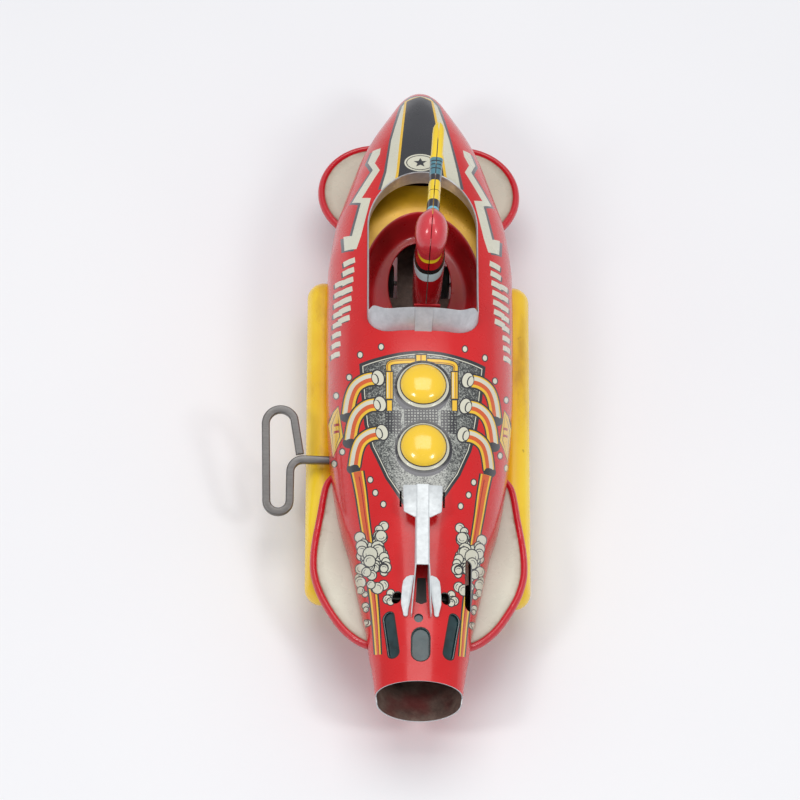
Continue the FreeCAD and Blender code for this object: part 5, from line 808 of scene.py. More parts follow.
    ('red2', 1, [(-19.56, -106.81), (-19.34, -108.46), (-19.12, -110.26), (-18.89, -112.09), (-18.69, -113.83), (-18.51, -115.51), (-18.34, -117.23), (-18.17, -118.99), (-18.01, -120.81), (-17.85, -122.66), (-17.7, -124.52), (-17.56, -126.5), (-17.41, -128.62), (-17.26, -130.7), (-17.13, -132.58), (-17.01, -134.14), (-16.92, -135.28), (-16.61, -135.46), (-16.69, -134.33), (-16.79, -132.76), (-16.92, -130.89), (-17.05, -128.82), (-17.19, -126.71), (-17.33, -124.74), (-17.47, -122.88), (-17.61, -121.03), (-17.76, -119.21), (-17.92, -117.45), (-18.09, -115.72), (-18.26, -114.05), (-18.45, -112.3), (-18.66, -110.47), (-18.88, -108.67), (-19.09, -107.02)]),
    ('black', 1, [(-16.13, -87.18), (-16.38, -88.11), (-17.09, -88.62), (-18.06, -88.55), (-19.04, -87.9), (-19.76, -86.86), (-20.04, -85.75), (-19.8, -84.87), (-19.1, -84.44), (-18.12, -84.53), (-17.14, -85.13), (-16.41, -86.09)]),
    ('cream', 1, [(-16.58, -87.05), (-16.77, -87.77), (-17.31, -88.15), (-18.07, -88.09), (-18.82, -87.59), (-19.39, -86.8), (-19.6, -85.95), (-19.41, -85.26), (-18.87, -84.92), (-18.12, -84.99), (-17.36, -85.46), (-16.79, -86.21)]),
    ('grey', 1, [(-18.67, -85.81), (-18.3, -85.7), (-17.89, -85.83), (-17.52, -86.15), (-17.27, -86.63), (-17.1, -86.59), (-17.35, -86.04), (-17.82, -85.57), (-18.39, -85.35), (-18.85, -85.42)]),
    ('black', 1, [(-13.42, -83.5), (-13.7, -84.6), (-14.5, -85.26), (-15.61, -85.28), (-16.72, -84.66), (-17.55, -83.56), (-17.86, -82.32), (-17.58, -81.28), (-16.78, -80.69), (-15.68, -80.68), (-14.56, -81.25), (-13.74, -82.28)]),
    ('cream', 1, [(-13.87, -83.41), (-14.09, -84.28), (-14.73, -84.8), (-15.62, -84.82), (-16.51, -84.33), (-17.17, -83.46), (-17.42, -82.47), (-17.19, -81.63), (-16.56, -81.15), (-15.67, -81.14), (-14.78, -81.6), (-14.12, -82.43)]),
    ('grey', 1, [(-16.57, -82.81), (-16.48, -82.3), (-16.17, -82), (-15.7, -81.96), (-15.17, -82.2), (-15.12, -82), (-15.71, -81.7), (-16.32, -81.71), (-16.77, -82.06), (-16.92, -82.62)]),
    ('black', 1, [(-15.64, -84.46), (-15.88, -85.39), (-16.58, -85.92), (-17.54, -85.87), (-18.51, -85.26), (-19.22, -84.27), (-19.49, -83.19), (-19.25, -82.3), (-18.56, -81.84), (-17.6, -81.9), (-16.63, -82.46), (-15.91, -83.39)]),
    ('cream', 1, [(-16.09, -84.34), (-16.27, -85.05), (-16.81, -85.45), (-17.55, -85.42), (-18.29, -84.95), (-18.84, -84.19), (-19.05, -83.36), (-18.87, -82.68), (-18.33, -82.31), (-17.59, -82.36), (-16.85, -82.79), (-16.3, -83.52)]),
    ('grey', 1, [(-17.81, -84.52), (-18.17, -84.14), (-18.34, -83.71), (-18.31, -83.31), (-18.05, -83.03), (-18.21, -82.85), (-18.53, -83.13), (-18.62, -83.64), (-18.43, -84.25), (-18.03, -84.74)]),
    ('black', 1, [(-14.99, -87.34), (-15.31, -88.57), (-16.23, -89.26), (-17.51, -89.19), (-18.79, -88.36), (-19.73, -87.02), (-20.1, -85.57), (-19.78, -84.42), (-18.86, -83.84), (-17.59, -83.94), (-16.3, -84.69), (-15.35, -85.92)]),
    ('cream', 1, [(-15.43, -87.22), (-15.7, -88.23), (-16.46, -88.8), (-17.51, -88.74), (-18.57, -88.06), (-19.35, -86.96), (-19.65, -85.76), (-19.39, -84.81), (-18.63, -84.32), (-17.58, -84.4), (-16.52, -85.02), (-15.73, -86.05)]),
    ('grey', 1, [(-17, -85.74), (-16.54, -86.35), (-16.38, -86.99), (-16.53, -87.55), (-16.98, -87.87), (-16.85, -88.06), (-16.32, -87.74), (-16.1, -87.08), (-16.26, -86.27), (-16.74, -85.57)]),
    ('black', 1, [(-22.63, -84.82), (-22.93, -85.86), (-23.82, -86.14), (-25.03, -85.5), (-26.26, -84.04), (-27.16, -82.26), (-27.52, -80.83), (-27.23, -80.11), (-26.36, -80.12), (-25.14, -80.77), (-23.9, -81.94), (-22.98, -83.39)]),
    ('cream', 1, [(-23.07, -84.56), (-23.32, -85.39), (-24.04, -85.61), (-25.04, -85.08), (-26.05, -83.91), (-26.8, -82.48), (-27.09, -81.3), (-26.85, -80.66), (-26.13, -80.65), (-25.13, -81.19), (-24.11, -82.16), (-23.36, -83.38)]),
    ('grey', 1, [(-24.02, -83.76), (-24.08, -84.31), (-24.41, -84.51), (-24.93, -84.32), (-25.55, -83.73), (-25.57, -83.89), (-24.9, -84.57), (-24.24, -84.85), (-23.78, -84.64), (-23.67, -84.05)]),
    ('black', 1, [(-15.18, -90.25), (-15.51, -91.5), (-16.46, -92.19), (-17.76, -92.1), (-19.07, -91.21), (-20.04, -89.81), (-20.41, -88.32), (-20.09, -87.15), (-19.15, -86.59), (-17.85, -86.73), (-16.53, -87.53), (-15.55, -88.8)]),
    ('cream', 1, [(-15.62, -90.13), (-15.9, -91.16), (-16.68, -91.73), (-17.77, -91.64), (-18.86, -90.92), (-19.66, -89.76), (-19.97, -88.52), (-19.7, -87.55), (-18.92, -87.07), (-17.84, -87.19), (-16.74, -87.85), (-15.93, -88.92)]),
    ('grey', 1, [(-18.9, -89.39), (-18.96, -88.7), (-18.7, -88.24), (-18.18, -88.08), (-17.52, -88.28), (-17.53, -88.07), (-18.26, -87.82), (-18.91, -87.96), (-19.28, -88.49), (-19.26, -89.25)]),
    ('black', 1, [(-13.95, -88.63), (-14.21, -89.63), (-14.96, -90.21), (-15.98, -90.21), (-17.02, -89.6), (-17.78, -88.56), (-18.08, -87.41), (-17.82, -86.45), (-17.08, -85.93), (-16.05, -85.96), (-15.01, -86.52), (-14.24, -87.49)]),
    ('cream', 1, [(-14.4, -88.52), (-14.6, -89.3), (-15.18, -89.76), (-15.99, -89.75), (-16.8, -89.27), (-17.4, -88.47), (-17.63, -87.56), (-17.43, -86.81), (-16.85, -86.39), (-16.04, -86.41), (-15.23, -86.86), (-14.63, -87.63)]),
    ('grey', 1, [(-15.25, -88.64), (-15.55, -88.94), (-15.96, -88.98), (-16.4, -88.77), (-16.78, -88.33), (-16.91, -88.44), (-16.51, -88.96), (-15.94, -89.28), (-15.36, -89.27), (-14.98, -88.96)]),
    ('black', 1, [(-18.72, -91.52), (-19.1, -92.88), (-20.18, -93.48), (-21.68, -93.05), (-23.18, -91.63), (-24.29, -89.68), (-24.72, -87.87), (-24.35, -86.75), (-23.28, -86.47), (-21.79, -86.99), (-20.27, -88.17), (-19.15, -89.8)]),
    ('cream', 1, [(-19.16, -91.33), (-19.48, -92.49), (-20.41, -92.98), (-21.68, -92.61), (-22.97, -91.42), (-23.92, -89.78), (-24.28, -88.24), (-23.97, -87.26), (-23.05, -86.99), (-21.78, -87.43), (-20.49, -88.46), (-19.53, -89.86)]),
    ('grey', 1, [(-20.33, -91.02), (-20.64, -91.58), (-21.24, -91.68), (-21.99, -91.3), (-22.71, -90.5), (-22.8, -90.61), (-22.04, -91.51), (-21.15, -92), (-20.4, -91.92), (-20, -91.34)]),
    ('black', 1, [(-13.8, -88.1), (-14.17, -89.5), (-15.2, -90.31), (-16.63, -90.28), (-18.07, -89.38), (-19.13, -87.9), (-19.53, -86.28), (-19.18, -84.98), (-18.15, -84.3), (-16.72, -84.37), (-15.28, -85.18), (-14.21, -86.53)]),
    ('cream', 1, [(-14.25, -88), (-14.56, -89.17), (-15.43, -89.85), (-16.64, -89.82), (-17.85, -89.07), (-18.75, -87.83), (-19.09, -86.47), (-18.79, -85.36), (-17.92, -84.77), (-16.71, -84.83), (-15.5, -85.52), (-14.59, -86.66)]),
    ('grey', 1, [(-15.8, -86.58), (-15.39, -87.33), (-15.35, -88.06), (-15.67, -88.62), (-16.3, -88.84), (-16.19, -89.05), (-15.49, -88.84), (-15.08, -88.21), (-15.08, -87.32), (-15.49, -86.48)]),
    ('black', 1, [(-14.12, -87.51), (-14.44, -88.73), (-15.35, -89.44), (-16.6, -89.41), (-17.86, -88.64), (-18.79, -87.35), (-19.15, -85.93), (-18.83, -84.78), (-17.93, -84.17), (-16.68, -84.23), (-15.42, -84.94), (-14.48, -86.12)]),
    ('cream', 1, [(-14.57, -87.4), (-14.83, -88.4), (-15.58, -88.98), (-16.61, -88.95), (-17.65, -88.32), (-18.41, -87.27), (-18.71, -86.11), (-18.45, -85.16), (-17.7, -84.65), (-16.67, -84.69), (-15.63, -85.28), (-14.86, -86.26)]),
    ('grey', 1, [(-15.55, -87.39), (-15.83, -87.88), (-16.33, -88.05), (-16.92, -87.89), (-17.48, -87.39), (-17.58, -87.53), (-16.98, -88.11), (-16.25, -88.36), (-15.6, -88.18), (-15.24, -87.66)]),
    ('black', 1, [(-17.81, -95.15), (-18.19, -96.56), (-19.3, -97.2), (-20.83, -96.81), (-22.37, -95.41), (-23.5, -93.45), (-23.94, -91.61), (-23.56, -90.43), (-22.47, -90.11), (-20.94, -90.6), (-19.39, -91.78), (-18.25, -93.41)]),
    ('cream', 1, [(-18.25, -94.98), (-18.58, -96.17), (-19.53, -96.71), (-20.84, -96.37), (-22.16, -95.19), (-23.13, -93.53), (-23.5, -91.96), (-23.18, -90.93), (-22.24, -90.63), (-20.93, -91.04), (-19.61, -92.06), (-18.62, -93.48)]),
    ('grey', 1, [(-21.33, -92.06), (-20.53, -92.48), (-19.85, -93.19), (-19.43, -94.06), (-19.4, -94.9), (-19.2, -94.99), (-19.2, -94.11), (-19.65, -93.09), (-20.45, -92.21), (-21.34, -91.7)]),
    ('black', 1, [(-21.55, -87.78), (-21.8, -88.64), (-22.52, -88.93), (-23.51, -88.52), (-24.5, -87.48), (-25.24, -86.14), (-25.52, -84.95), (-25.28, -84.23), (-24.57, -84.12), (-23.58, -84.56), (-22.58, -85.46), (-21.84, -86.62)]),
    ('cream', 1, [(-21.99, -87.53), (-22.18, -88.19), (-22.74, -88.41), (-23.51, -88.08), (-24.29, -87.29), (-24.87, -86.26), (-25.09, -85.34), (-24.9, -84.76), (-24.35, -84.65), (-23.57, -85), (-22.79, -85.71), (-22.21, -86.63)]),
    ('grey', 1, [(-24.28, -85.71), (-24.01, -85.56), (-23.63, -85.68), (-23.2, -86.03), (-22.83, -86.56), (-22.7, -86.49), (-23.1, -85.88), (-23.65, -85.39), (-24.2, -85.17), (-24.56, -85.27)]),
    ('black', 1, [(-13.49, -95.59), (-13.88, -97.1), (-15.01, -97.97), (-16.57, -97.9), (-18.14, -96.88), (-19.3, -95.21), (-19.75, -93.43), (-19.36, -92.04), (-18.23, -91.36), (-16.67, -91.49), (-15.1, -92.4), (-13.93, -93.88)]),
    ('cream', 1, [(-13.93, -95.49), (-14.27, -96.78), (-15.24, -97.51), (-16.58, -97.45), (-17.93, -96.58), (-18.92, -95.16), (-19.31, -93.64), (-18.97, -92.43), (-18.01, -91.83), (-16.67, -91.94), (-15.32, -92.73), (-14.31, -94.01)]),
    ('grey', 1, [(-17.1, -95.96), (-17.78, -95.24), (-18.13, -94.38), (-18.07, -93.6), (-17.61, -93.09), (-17.77, -92.91), (-18.3, -93.42), (-18.4, -94.31), (-18.03, -95.34), (-17.31, -96.18)]),
    ('black', 1, [(-15.03, -92.01), (-15.39, -93.39), (-16.44, -94.15), (-17.88, -94.03), (-19.34, -93.02), (-20.41, -91.44), (-20.82, -89.78), (-20.46, -88.51), (-19.42, -87.92), (-17.98, -88.09), (-16.52, -88.99), (-15.44, -90.4)]),
    ('cream', 1, [(-15.47, -91.88), (-15.78, -93.05), (-16.67, -93.68), (-17.89, -93.58), (-19.12, -92.73), (-20.03, -91.41), (-20.38, -90), (-20.08, -88.92), (-19.19, -88.4), (-17.97, -88.55), (-16.74, -89.31), (-15.82, -90.52)]),
    ('grey', 1, [(-17.65, -89.83), (-16.99, -90.42), (-16.6, -91.17), (-16.57, -91.91), (-16.92, -92.47), (-16.75, -92.64), (-16.34, -92.05), (-16.33, -91.18), (-16.76, -90.26), (-17.48, -89.57)]),
    ('black', 1, [(-14.57, -93.48), (-14.87, -94.63), (-15.74, -95.28), (-16.94, -95.21), (-18.15, -94.43), (-19.05, -93.16), (-19.39, -91.79), (-19.09, -90.71), (-18.22, -90.17), (-17.02, -90.27), (-15.81, -90.99), (-14.91, -92.15)]),
    ('cream', 1, [(-15.01, -93.36), (-15.26, -94.3), (-15.97, -94.82), (-16.95, -94.76), (-17.94, -94.12), (-18.67, -93.1), (-18.95, -91.99), (-18.7, -91.09), (-17.99, -90.64), (-17.01, -90.73), (-16.02, -91.31), (-15.29, -92.27)]),
    ('grey', 1, [(-15.94, -93.17), (-16.12, -93.68), (-16.54, -93.91), (-17.1, -93.82), (-17.66, -93.4), (-17.73, -93.56), (-17.12, -94.05), (-16.43, -94.21), (-15.86, -93.96), (-15.6, -93.41)]),
    ('black', 1, [(-21.65, -89.09), (-21.9, -89.96), (-22.63, -90.23), (-23.64, -89.78), (-24.65, -88.67), (-25.41, -87.27), (-25.7, -86.04), (-25.45, -85.33), (-24.73, -85.26), (-23.72, -85.76), (-22.7, -86.7), (-21.94, -87.9)]),
    ('cream', 1, [(-22.09, -88.83), (-22.28, -89.5), (-22.86, -89.71), (-23.65, -89.35), (-24.45, -88.49), (-25.04, -87.42), (-25.26, -86.45), (-25.07, -85.88), (-24.5, -85.8), (-23.71, -86.19), (-22.91, -86.94), (-22.31, -87.9)]),
    ('grey', 1, [(-23.1, -88.76), (-23.51, -88.69), (-23.94, -88.35), (-24.32, -87.82), (-24.55, -87.22), (-24.73, -87.16), (-24.5, -87.83), (-24.02, -88.54), (-23.44, -89.05), (-22.94, -89.19)]),
    ('black', 1, [(-15.2, -93.29), (-15.53, -94.53), (-16.47, -95.21), (-17.77, -95.09), (-19.07, -94.19), (-20.04, -92.78), (-20.41, -91.29), (-20.08, -90.14), (-19.15, -89.6), (-17.85, -89.76), (-16.54, -90.57), (-15.57, -91.85)]),
    ('cream', 1, [(-15.64, -93.16), (-15.92, -94.18), (-16.7, -94.74), (-17.77, -94.64), (-18.86, -93.9), (-19.66, -92.74), (-19.97, -91.51), (-19.7, -90.55), (-18.92, -90.09), (-17.85, -90.22), (-16.76, -90.89), (-15.95, -91.96)]),
    ('grey', 1, [(-18.91, -92.36), (-18.96, -91.68), (-18.69, -91.24), (-18.17, -91.1), (-17.51, -91.32), (-17.52, -91.11), (-18.24, -90.84), (-18.9, -90.96), (-19.27, -91.47), (-19.27, -92.21)]),
    ('black', 1, [(-22.42, -92.31), (-22.69, -93.18), (-23.45, -93.36), (-24.49, -92.69), (-25.54, -91.28), (-26.32, -89.58), (-26.62, -88.24), (-26.37, -87.67), (-25.62, -87.83), (-24.58, -88.57), (-23.52, -89.72), (-22.73, -91.05)]),
    ('cream', 1, [(-22.86, -92.01), (-23.07, -92.68), (-23.67, -92.8), (-24.5, -92.27), (-25.34, -91.18), (-25.96, -89.88), (-26.2, -88.82), (-25.99, -88.32), (-25.4, -88.42), (-24.57, -89), (-23.73, -89.92), (-23.1, -91)]),
    ('grey', 1, [(-23.67, -91.47), (-23.84, -91.79), (-24.2, -91.76), (-24.66, -91.39), (-25.13, -90.73), (-25.21, -90.81), (-24.69, -91.58), (-24.09, -92.1), (-23.59, -92.19), (-23.34, -91.88)]),
    ('black', 1, [(-15.37, -99.77), (-15.68, -100.91), (-16.56, -101.51), (-17.77, -101.37), (-18.98, -100.49), (-19.88, -99.15), (-20.23, -97.76), (-19.93, -96.7), (-19.06, -96.24), (-17.85, -96.43), (-16.63, -97.21), (-15.72, -98.42)]),
    ('cream', 1, [(-15.82, -99.63), (-16.07, -100.56), (-16.78, -101.04), (-17.77, -100.92), (-18.77, -100.21), (-19.51, -99.12), (-19.79, -97.99), (-19.54, -97.12), (-18.83, -96.72), (-17.84, -96.88), (-16.84, -97.53), (-16.1, -98.52)]),
    ('grey', 1, [(-17.36, -98.12), (-16.9, -98.69), (-16.71, -99.29), (-16.82, -99.82), (-17.22, -100.13), (-17.07, -100.32), (-16.61, -100.02), (-16.43, -99.39), (-16.63, -98.62), (-17.11, -97.94)]),
    ('black', 1, [(-16.68, -98.76), (-16.95, -99.72), (-17.69, -100.2), (-18.73, -100.03), (-19.77, -99.24), (-20.54, -98.06), (-20.83, -96.86), (-20.58, -95.97), (-19.83, -95.61), (-18.8, -95.81), (-17.75, -96.53), (-16.98, -97.6)]),
    ('cream', 1, [(-17.13, -98.6), (-17.33, -99.35), (-17.92, -99.72), (-18.74, -99.58), (-19.56, -98.97), (-20.16, -98.05), (-20.4, -97.11), (-20.19, -96.4), (-19.61, -96.1), (-18.79, -96.26), (-17.97, -96.83), (-17.36, -97.68)]),
    ('grey', 1, [(-18.64, -98.82), (-19.12, -98.53), (-19.47, -98.08), (-19.65, -97.57), (-19.59, -97.11), (-19.78, -96.98), (-19.89, -97.47), (-19.7, -98.13), (-19.25, -98.76), (-18.7, -99.15)]),
    ('black', 1, [(-19.86, -95.23), (-20.17, -96.34), (-21.08, -96.75), (-22.34, -96.26), (-23.6, -94.93), (-24.53, -93.18), (-24.89, -91.63), (-24.58, -90.75), (-23.68, -90.64), (-22.43, -91.21), (-21.16, -92.33), (-20.22, -93.77)]),
    ('cream', 1, [(-20.3, -95), (-20.56, -95.91), (-21.31, -96.24), (-22.35, -95.83), (-23.39, -94.75), (-24.16, -93.33), (-24.46, -92.06), (-24.2, -91.3), (-23.46, -91.18), (-22.42, -91.65), (-21.38, -92.59), (-20.6, -93.79)]),
    ('grey', 1, [(-21.63, -95.08), (-22.18, -94.99), (-22.77, -94.53), (-23.28, -93.81), (-23.56, -93.02), (-23.74, -92.95), (-23.46, -93.81), (-22.87, -94.71), (-22.12, -95.34), (-21.47, -95.5)]),
    ('black', 1, [(-21.87, -88.8), (-22.18, -89.87), (-23.09, -90.18), (-24.34, -89.53), (-25.59, -88.01), (-26.52, -86.12), (-26.88, -84.58), (-26.58, -83.82), (-25.69, -83.87), (-24.44, -84.59), (-23.17, -85.82), (-22.23, -87.32)]),
    ('cream', 1, [(-22.31, -88.54), (-22.57, -89.41), (-23.32, -89.65), (-24.35, -89.1), (-25.39, -87.87), (-26.16, -86.36), (-26.45, -85.09), (-26.2, -84.42), (-25.46, -84.43), (-24.43, -85.02), (-23.38, -86.05), (-22.61, -87.31)]),
    ('grey', 1, [(-23.3, -88.16), (-23.6, -88.48), (-24.11, -88.38), (-24.71, -87.87), (-25.26, -87.06), (-25.36, -87.12), (-24.77, -88.03), (-24.04, -88.69), (-23.38, -88.87), (-22.99, -88.56)]),
    ('black', 1, [(-18.59, -94.23), (-18.99, -95.68), (-20.14, -96.29), (-21.72, -95.79), (-23.32, -94.22), (-24.49, -92.06), (-24.95, -90.12), (-24.56, -88.98), (-23.42, -88.76), (-21.84, -89.38), (-20.24, -90.67), (-19.04, -92.41)]),
    ('cream', 1, [(-19.03, -94.04), (-19.37, -95.28), (-20.37, -95.79), (-21.73, -95.35), (-23.11, -94.02), (-24.12, -92.2), (-24.51, -90.53), (-24.18, -89.52), (-23.2, -89.3), (-21.83, -89.82), (-20.45, -90.95), (-19.42, -92.47)]),
    ('grey', 1, [(-22.89, -90.79), (-22.17, -90.85), (-21.37, -91.34), (-20.65, -92.15), (-20.22, -93.12), (-20.04, -93.11), (-20.48, -92.07), (-21.29, -91.12), (-22.25, -90.5), (-23.06, -90.36)]),
    ('black', 1, [(-18.16, -100.03), (-18.49, -101.21), (-19.44, -101.72), (-20.76, -101.32), (-22.07, -100.07), (-23.05, -98.36), (-23.42, -96.78), (-23.1, -95.79), (-22.16, -95.55), (-20.85, -96.03), (-19.53, -97.09), (-18.54, -98.53)]),
    ('cream', 1, [(-18.6, -99.83), (-18.88, -100.81), (-19.67, -101.22), (-20.76, -100.88), (-21.86, -99.86), (-22.68, -98.46), (-22.99, -97.15), (-22.72, -96.3), (-21.94, -96.08), (-20.84, -96.47), (-19.74, -97.37), (-18.92, -98.58)]),
    ('grey', 1, [(-21.9, -98.4), (-21.99, -97.7), (-21.74, -97.3), (-21.24, -97.26), (-20.57, -97.59), (-20.58, -97.38), (-21.32, -96.98), (-21.96, -96.97), (-22.3, -97.41), (-22.25, -98.17)]),
    ('black', 1, [(-19.51, -97.38), (-19.84, -98.51), (-20.76, -98.93), (-22.04, -98.44), (-23.33, -97.08), (-24.28, -95.29), (-24.64, -93.71), (-24.33, -92.81), (-23.42, -92.71), (-22.14, -93.29), (-20.84, -94.43), (-19.88, -95.89)]),
    ('cream', 1, [(-19.95, -97.15), (-20.22, -98.08), (-20.99, -98.42), (-22.05, -98), (-23.12, -96.9), (-23.91, -95.45), (-24.21, -94.14), (-23.95, -93.37), (-23.19, -93.25), (-22.13, -93.73), (-21.06, -94.69), (-20.26, -95.92)]),
    ('grey', 1, [(-22.93, -94.47), (-22.38, -94.55), (-21.77, -94.96), (-21.23, -95.61), (-20.89, -96.38), (-20.72, -96.38), (-21.06, -95.55), (-21.7, -94.75), (-22.46, -94.19), (-23.1, -94.03)]),
    ('black', 1, [(-21.93, -90.67), (-22.21, -91.6), (-23.01, -91.86), (-24.11, -91.27), (-25.22, -89.93), (-26.03, -88.27), (-26.35, -86.89), (-26.08, -86.21), (-25.3, -86.25), (-24.2, -86.91), (-23.08, -88.01), (-22.25, -89.36)]),
    ('cream', 1, [(-22.37, -90.39), (-22.6, -91.13), (-23.24, -91.32), (-24.12, -90.84), (-25.01, -89.79), (-25.67, -88.49), (-25.92, -87.39), (-25.71, -86.81), (-25.07, -86.81), (-24.19, -87.33), (-23.3, -88.24), (-22.63, -89.34)]),
    ('grey', 1, [(-24.73, -87.88), (-24.24, -88.1), (-23.75, -88.56), (-23.35, -89.17), (-23.15, -89.82), (-22.96, -89.88), (-23.16, -89.18), (-23.64, -88.41), (-24.27, -87.77), (-24.85, -87.45)]),
    ('black', 1, [(-22.14, -97.98), (-22.36, -98.68), (-22.99, -98.79), (-23.86, -98.2), (-24.74, -97), (-25.38, -95.57), (-25.63, -94.44), (-25.42, -93.96), (-24.8, -94.13), (-23.94, -94.79), (-23.05, -95.79), (-22.4, -96.93)]),
    ('cream', 1, [(-22.58, -97.65), (-22.74, -98.17), (-23.22, -98.24), (-23.87, -97.79), (-24.53, -96.91), (-25.02, -95.87), (-25.21, -95.03), (-25.05, -94.63), (-24.58, -94.73), (-23.93, -95.22), (-23.26, -95.98), (-22.77, -96.86)]),
    ('grey', 1, [(-23.73, -96.07), (-23.4, -96.57), (-23.23, -97.01), (-23.24, -97.35), (-23.45, -97.48), (-23.29, -97.74), (-23.02, -97.62), (-22.96, -97.2), (-23.16, -96.58), (-23.53, -95.98)]),
    ('black', 1, [(-13.1, -96.61), (-13.38, -97.68), (-14.19, -98.31), (-15.29, -98.3), (-16.4, -97.64), (-17.23, -96.53), (-17.54, -95.29), (-17.26, -94.26), (-16.47, -93.72), (-15.36, -93.75), (-14.25, -94.36), (-13.42, -95.4)]),
    ('cream', 1, [(-13.55, -96.51), (-13.77, -97.36), (-14.41, -97.86), (-15.3, -97.85), (-16.19, -97.32), (-16.85, -96.44), (-17.1, -95.45), (-16.88, -94.63), (-16.24, -94.18), (-15.35, -94.21), (-14.46, -94.7), (-13.8, -95.53)]),
    ('grey', 1, [(-14.45, -95.99), (-14.41, -96.54), (-14.64, -96.92), (-15.06, -97.07), (-15.6, -96.93), (-15.59, -97.14), (-14.99, -97.33), (-14.43, -97.18), (-14.1, -96.7), (-14.08, -96.08)]),
    ('black', 1, [(-16.87, -99.83), (-17.14, -100.82), (-17.92, -101.3), (-18.99, -101.1), (-20.06, -100.25), (-20.86, -99.01), (-21.17, -97.76), (-20.9, -96.86), (-20.13, -96.51), (-19.06, -96.75), (-17.98, -97.51), (-17.18, -98.62)]),
    ('cream', 1, [(-17.31, -99.66), (-17.53, -100.44), (-18.15, -100.81), (-19, -100.65), (-19.85, -99.99), (-20.49, -99.01), (-20.73, -98.03), (-20.52, -97.3), (-19.9, -97.01), (-19.05, -97.19), (-18.2, -97.8), (-17.56, -98.7)]),
    ('grey', 1, [(-19.44, -97.93), (-18.94, -98.07), (-18.49, -98.42), (-18.17, -98.93), (-18.07, -99.49), (-17.87, -99.54), (-17.95, -98.93), (-18.33, -98.27), (-18.91, -97.76), (-19.5, -97.54)]),
    ('black', 1, [(-17.68, -93.98), (-18.08, -95.46), (-19.24, -96.14), (-20.83, -95.75), (-22.44, -94.3), (-23.62, -92.26), (-24.08, -90.35), (-23.68, -89.12), (-22.54, -88.77), (-20.95, -89.26), (-19.34, -90.48), (-18.14, -92.17)]),
    ('cream', 1, [(-18.12, -93.81), (-18.47, -95.07), (-19.47, -95.65), (-20.84, -95.3), (-22.23, -94.08), (-23.25, -92.35), (-23.64, -90.7), (-23.3, -89.62), (-22.31, -89.29), (-20.94, -89.71), (-19.55, -90.77), (-18.52, -92.24)]),
    ('grey', 1, [(-20.34, -94.26), (-21.18, -93.87), (-21.92, -93.08), (-22.39, -92.1), (-22.47, -91.2), (-22.67, -91.08), (-22.62, -92.02), (-22.1, -93.16), (-21.24, -94.15), (-20.31, -94.63)]),
    ('black', 1, [(-13.39, -102.77), (-13.62, -103.65), (-14.28, -104.16), (-15.2, -104.13), (-16.11, -103.57), (-16.79, -102.64), (-17.05, -101.62), (-16.82, -100.78), (-16.17, -100.34), (-15.25, -100.38), (-14.33, -100.9), (-13.65, -101.77)]),
    ('cream', 1, [(-13.83, -102.66), (-14.01, -103.32), (-14.51, -103.7), (-15.2, -103.68), (-15.9, -103.25), (-16.42, -102.56), (-16.61, -101.78), (-16.44, -101.14), (-15.94, -100.8), (-15.25, -100.84), (-14.55, -101.23), (-14.03, -101.9)]),
    ('grey', 1, [(-15.89, -102.19), (-15.88, -101.79), (-15.69, -101.54), (-15.35, -101.47), (-14.94, -101.63), (-14.92, -101.43), (-15.39, -101.22), (-15.87, -101.26), (-16.18, -101.57), (-16.25, -102.03)]),
    ('black', 1, [(-18.71, -98.06), (-18.99, -99.07), (-19.81, -99.49), (-20.93, -99.15), (-22.06, -98.11), (-22.9, -96.67), (-23.22, -95.32), (-22.94, -94.45), (-22.13, -94.21), (-21.01, -94.61), (-19.88, -95.53), (-19.03, -96.77)]),
    ('cream', 1, [(-19.15, -97.86), (-19.38, -98.66), (-20.03, -98.99), (-20.94, -98.71), (-21.85, -97.88), (-22.52, -96.75), (-22.78, -95.66), (-22.56, -94.94), (-21.91, -94.74), (-21, -95.05), (-20.09, -95.8), (-19.41, -96.81)]),
    ('grey', 1, [(-20.5, -98), (-21.03, -97.81), (-21.51, -97.36), (-21.87, -96.75), (-22, -96.13), (-22.19, -96.03), (-22.08, -96.71), (-21.67, -97.49), (-21.05, -98.12), (-20.43, -98.39)]),
    ('black', 1, [(-18.88, -98.61), (-19.12, -99.43), (-19.78, -99.77), (-20.7, -99.5), (-21.63, -98.67), (-22.31, -97.52), (-22.58, -96.42), (-22.35, -95.69), (-21.69, -95.47), (-20.77, -95.78), (-19.84, -96.53), (-19.15, -97.55)]),
    ('cream', 1, [(-19.32, -98.4), (-19.5, -99.02), (-20.01, -99.27), (-20.71, -99.06), (-21.42, -98.43), (-21.94, -97.57), (-22.14, -96.74), (-21.97, -96.17), (-21.46, -95.99), (-20.76, -96.22), (-20.05, -96.8), (-19.53, -97.59)]),
    ('grey', 1, [(-20.03, -98.04), (-20.13, -98.38), (-20.4, -98.49), (-20.77, -98.37), (-21.18, -98), (-21.24, -98.15), (-20.78, -98.6), (-20.27, -98.81), (-19.87, -98.7), (-19.69, -98.33)]),
    ('black', 1, [(-18.48, -96.49), (-18.81, -97.67), (-19.75, -98.18), (-21.05, -97.8), (-22.35, -96.58), (-23.32, -94.9), (-23.69, -93.33), (-23.37, -92.33), (-22.44, -92.07), (-21.14, -92.53), (-19.83, -93.57), (-18.85, -95)]),
    ('cream', 1, [(-18.92, -96.29), (-19.19, -97.27), (-19.97, -97.68), (-21.06, -97.36), (-22.14, -96.36), (-22.95, -94.99), (-23.26, -93.69), (-22.99, -92.84), (-22.21, -92.6), (-21.13, -92.97), (-20.04, -93.85), (-19.23, -95.05)]),
    ('grey', 1, [(-22.24, -94.69), (-22.22, -94.06), (-21.89, -93.76), (-21.33, -93.82), (-20.66, -94.25), (-20.65, -94.05), (-21.38, -93.56), (-22.07, -93.43), (-22.52, -93.74), (-22.59, -94.41)]),
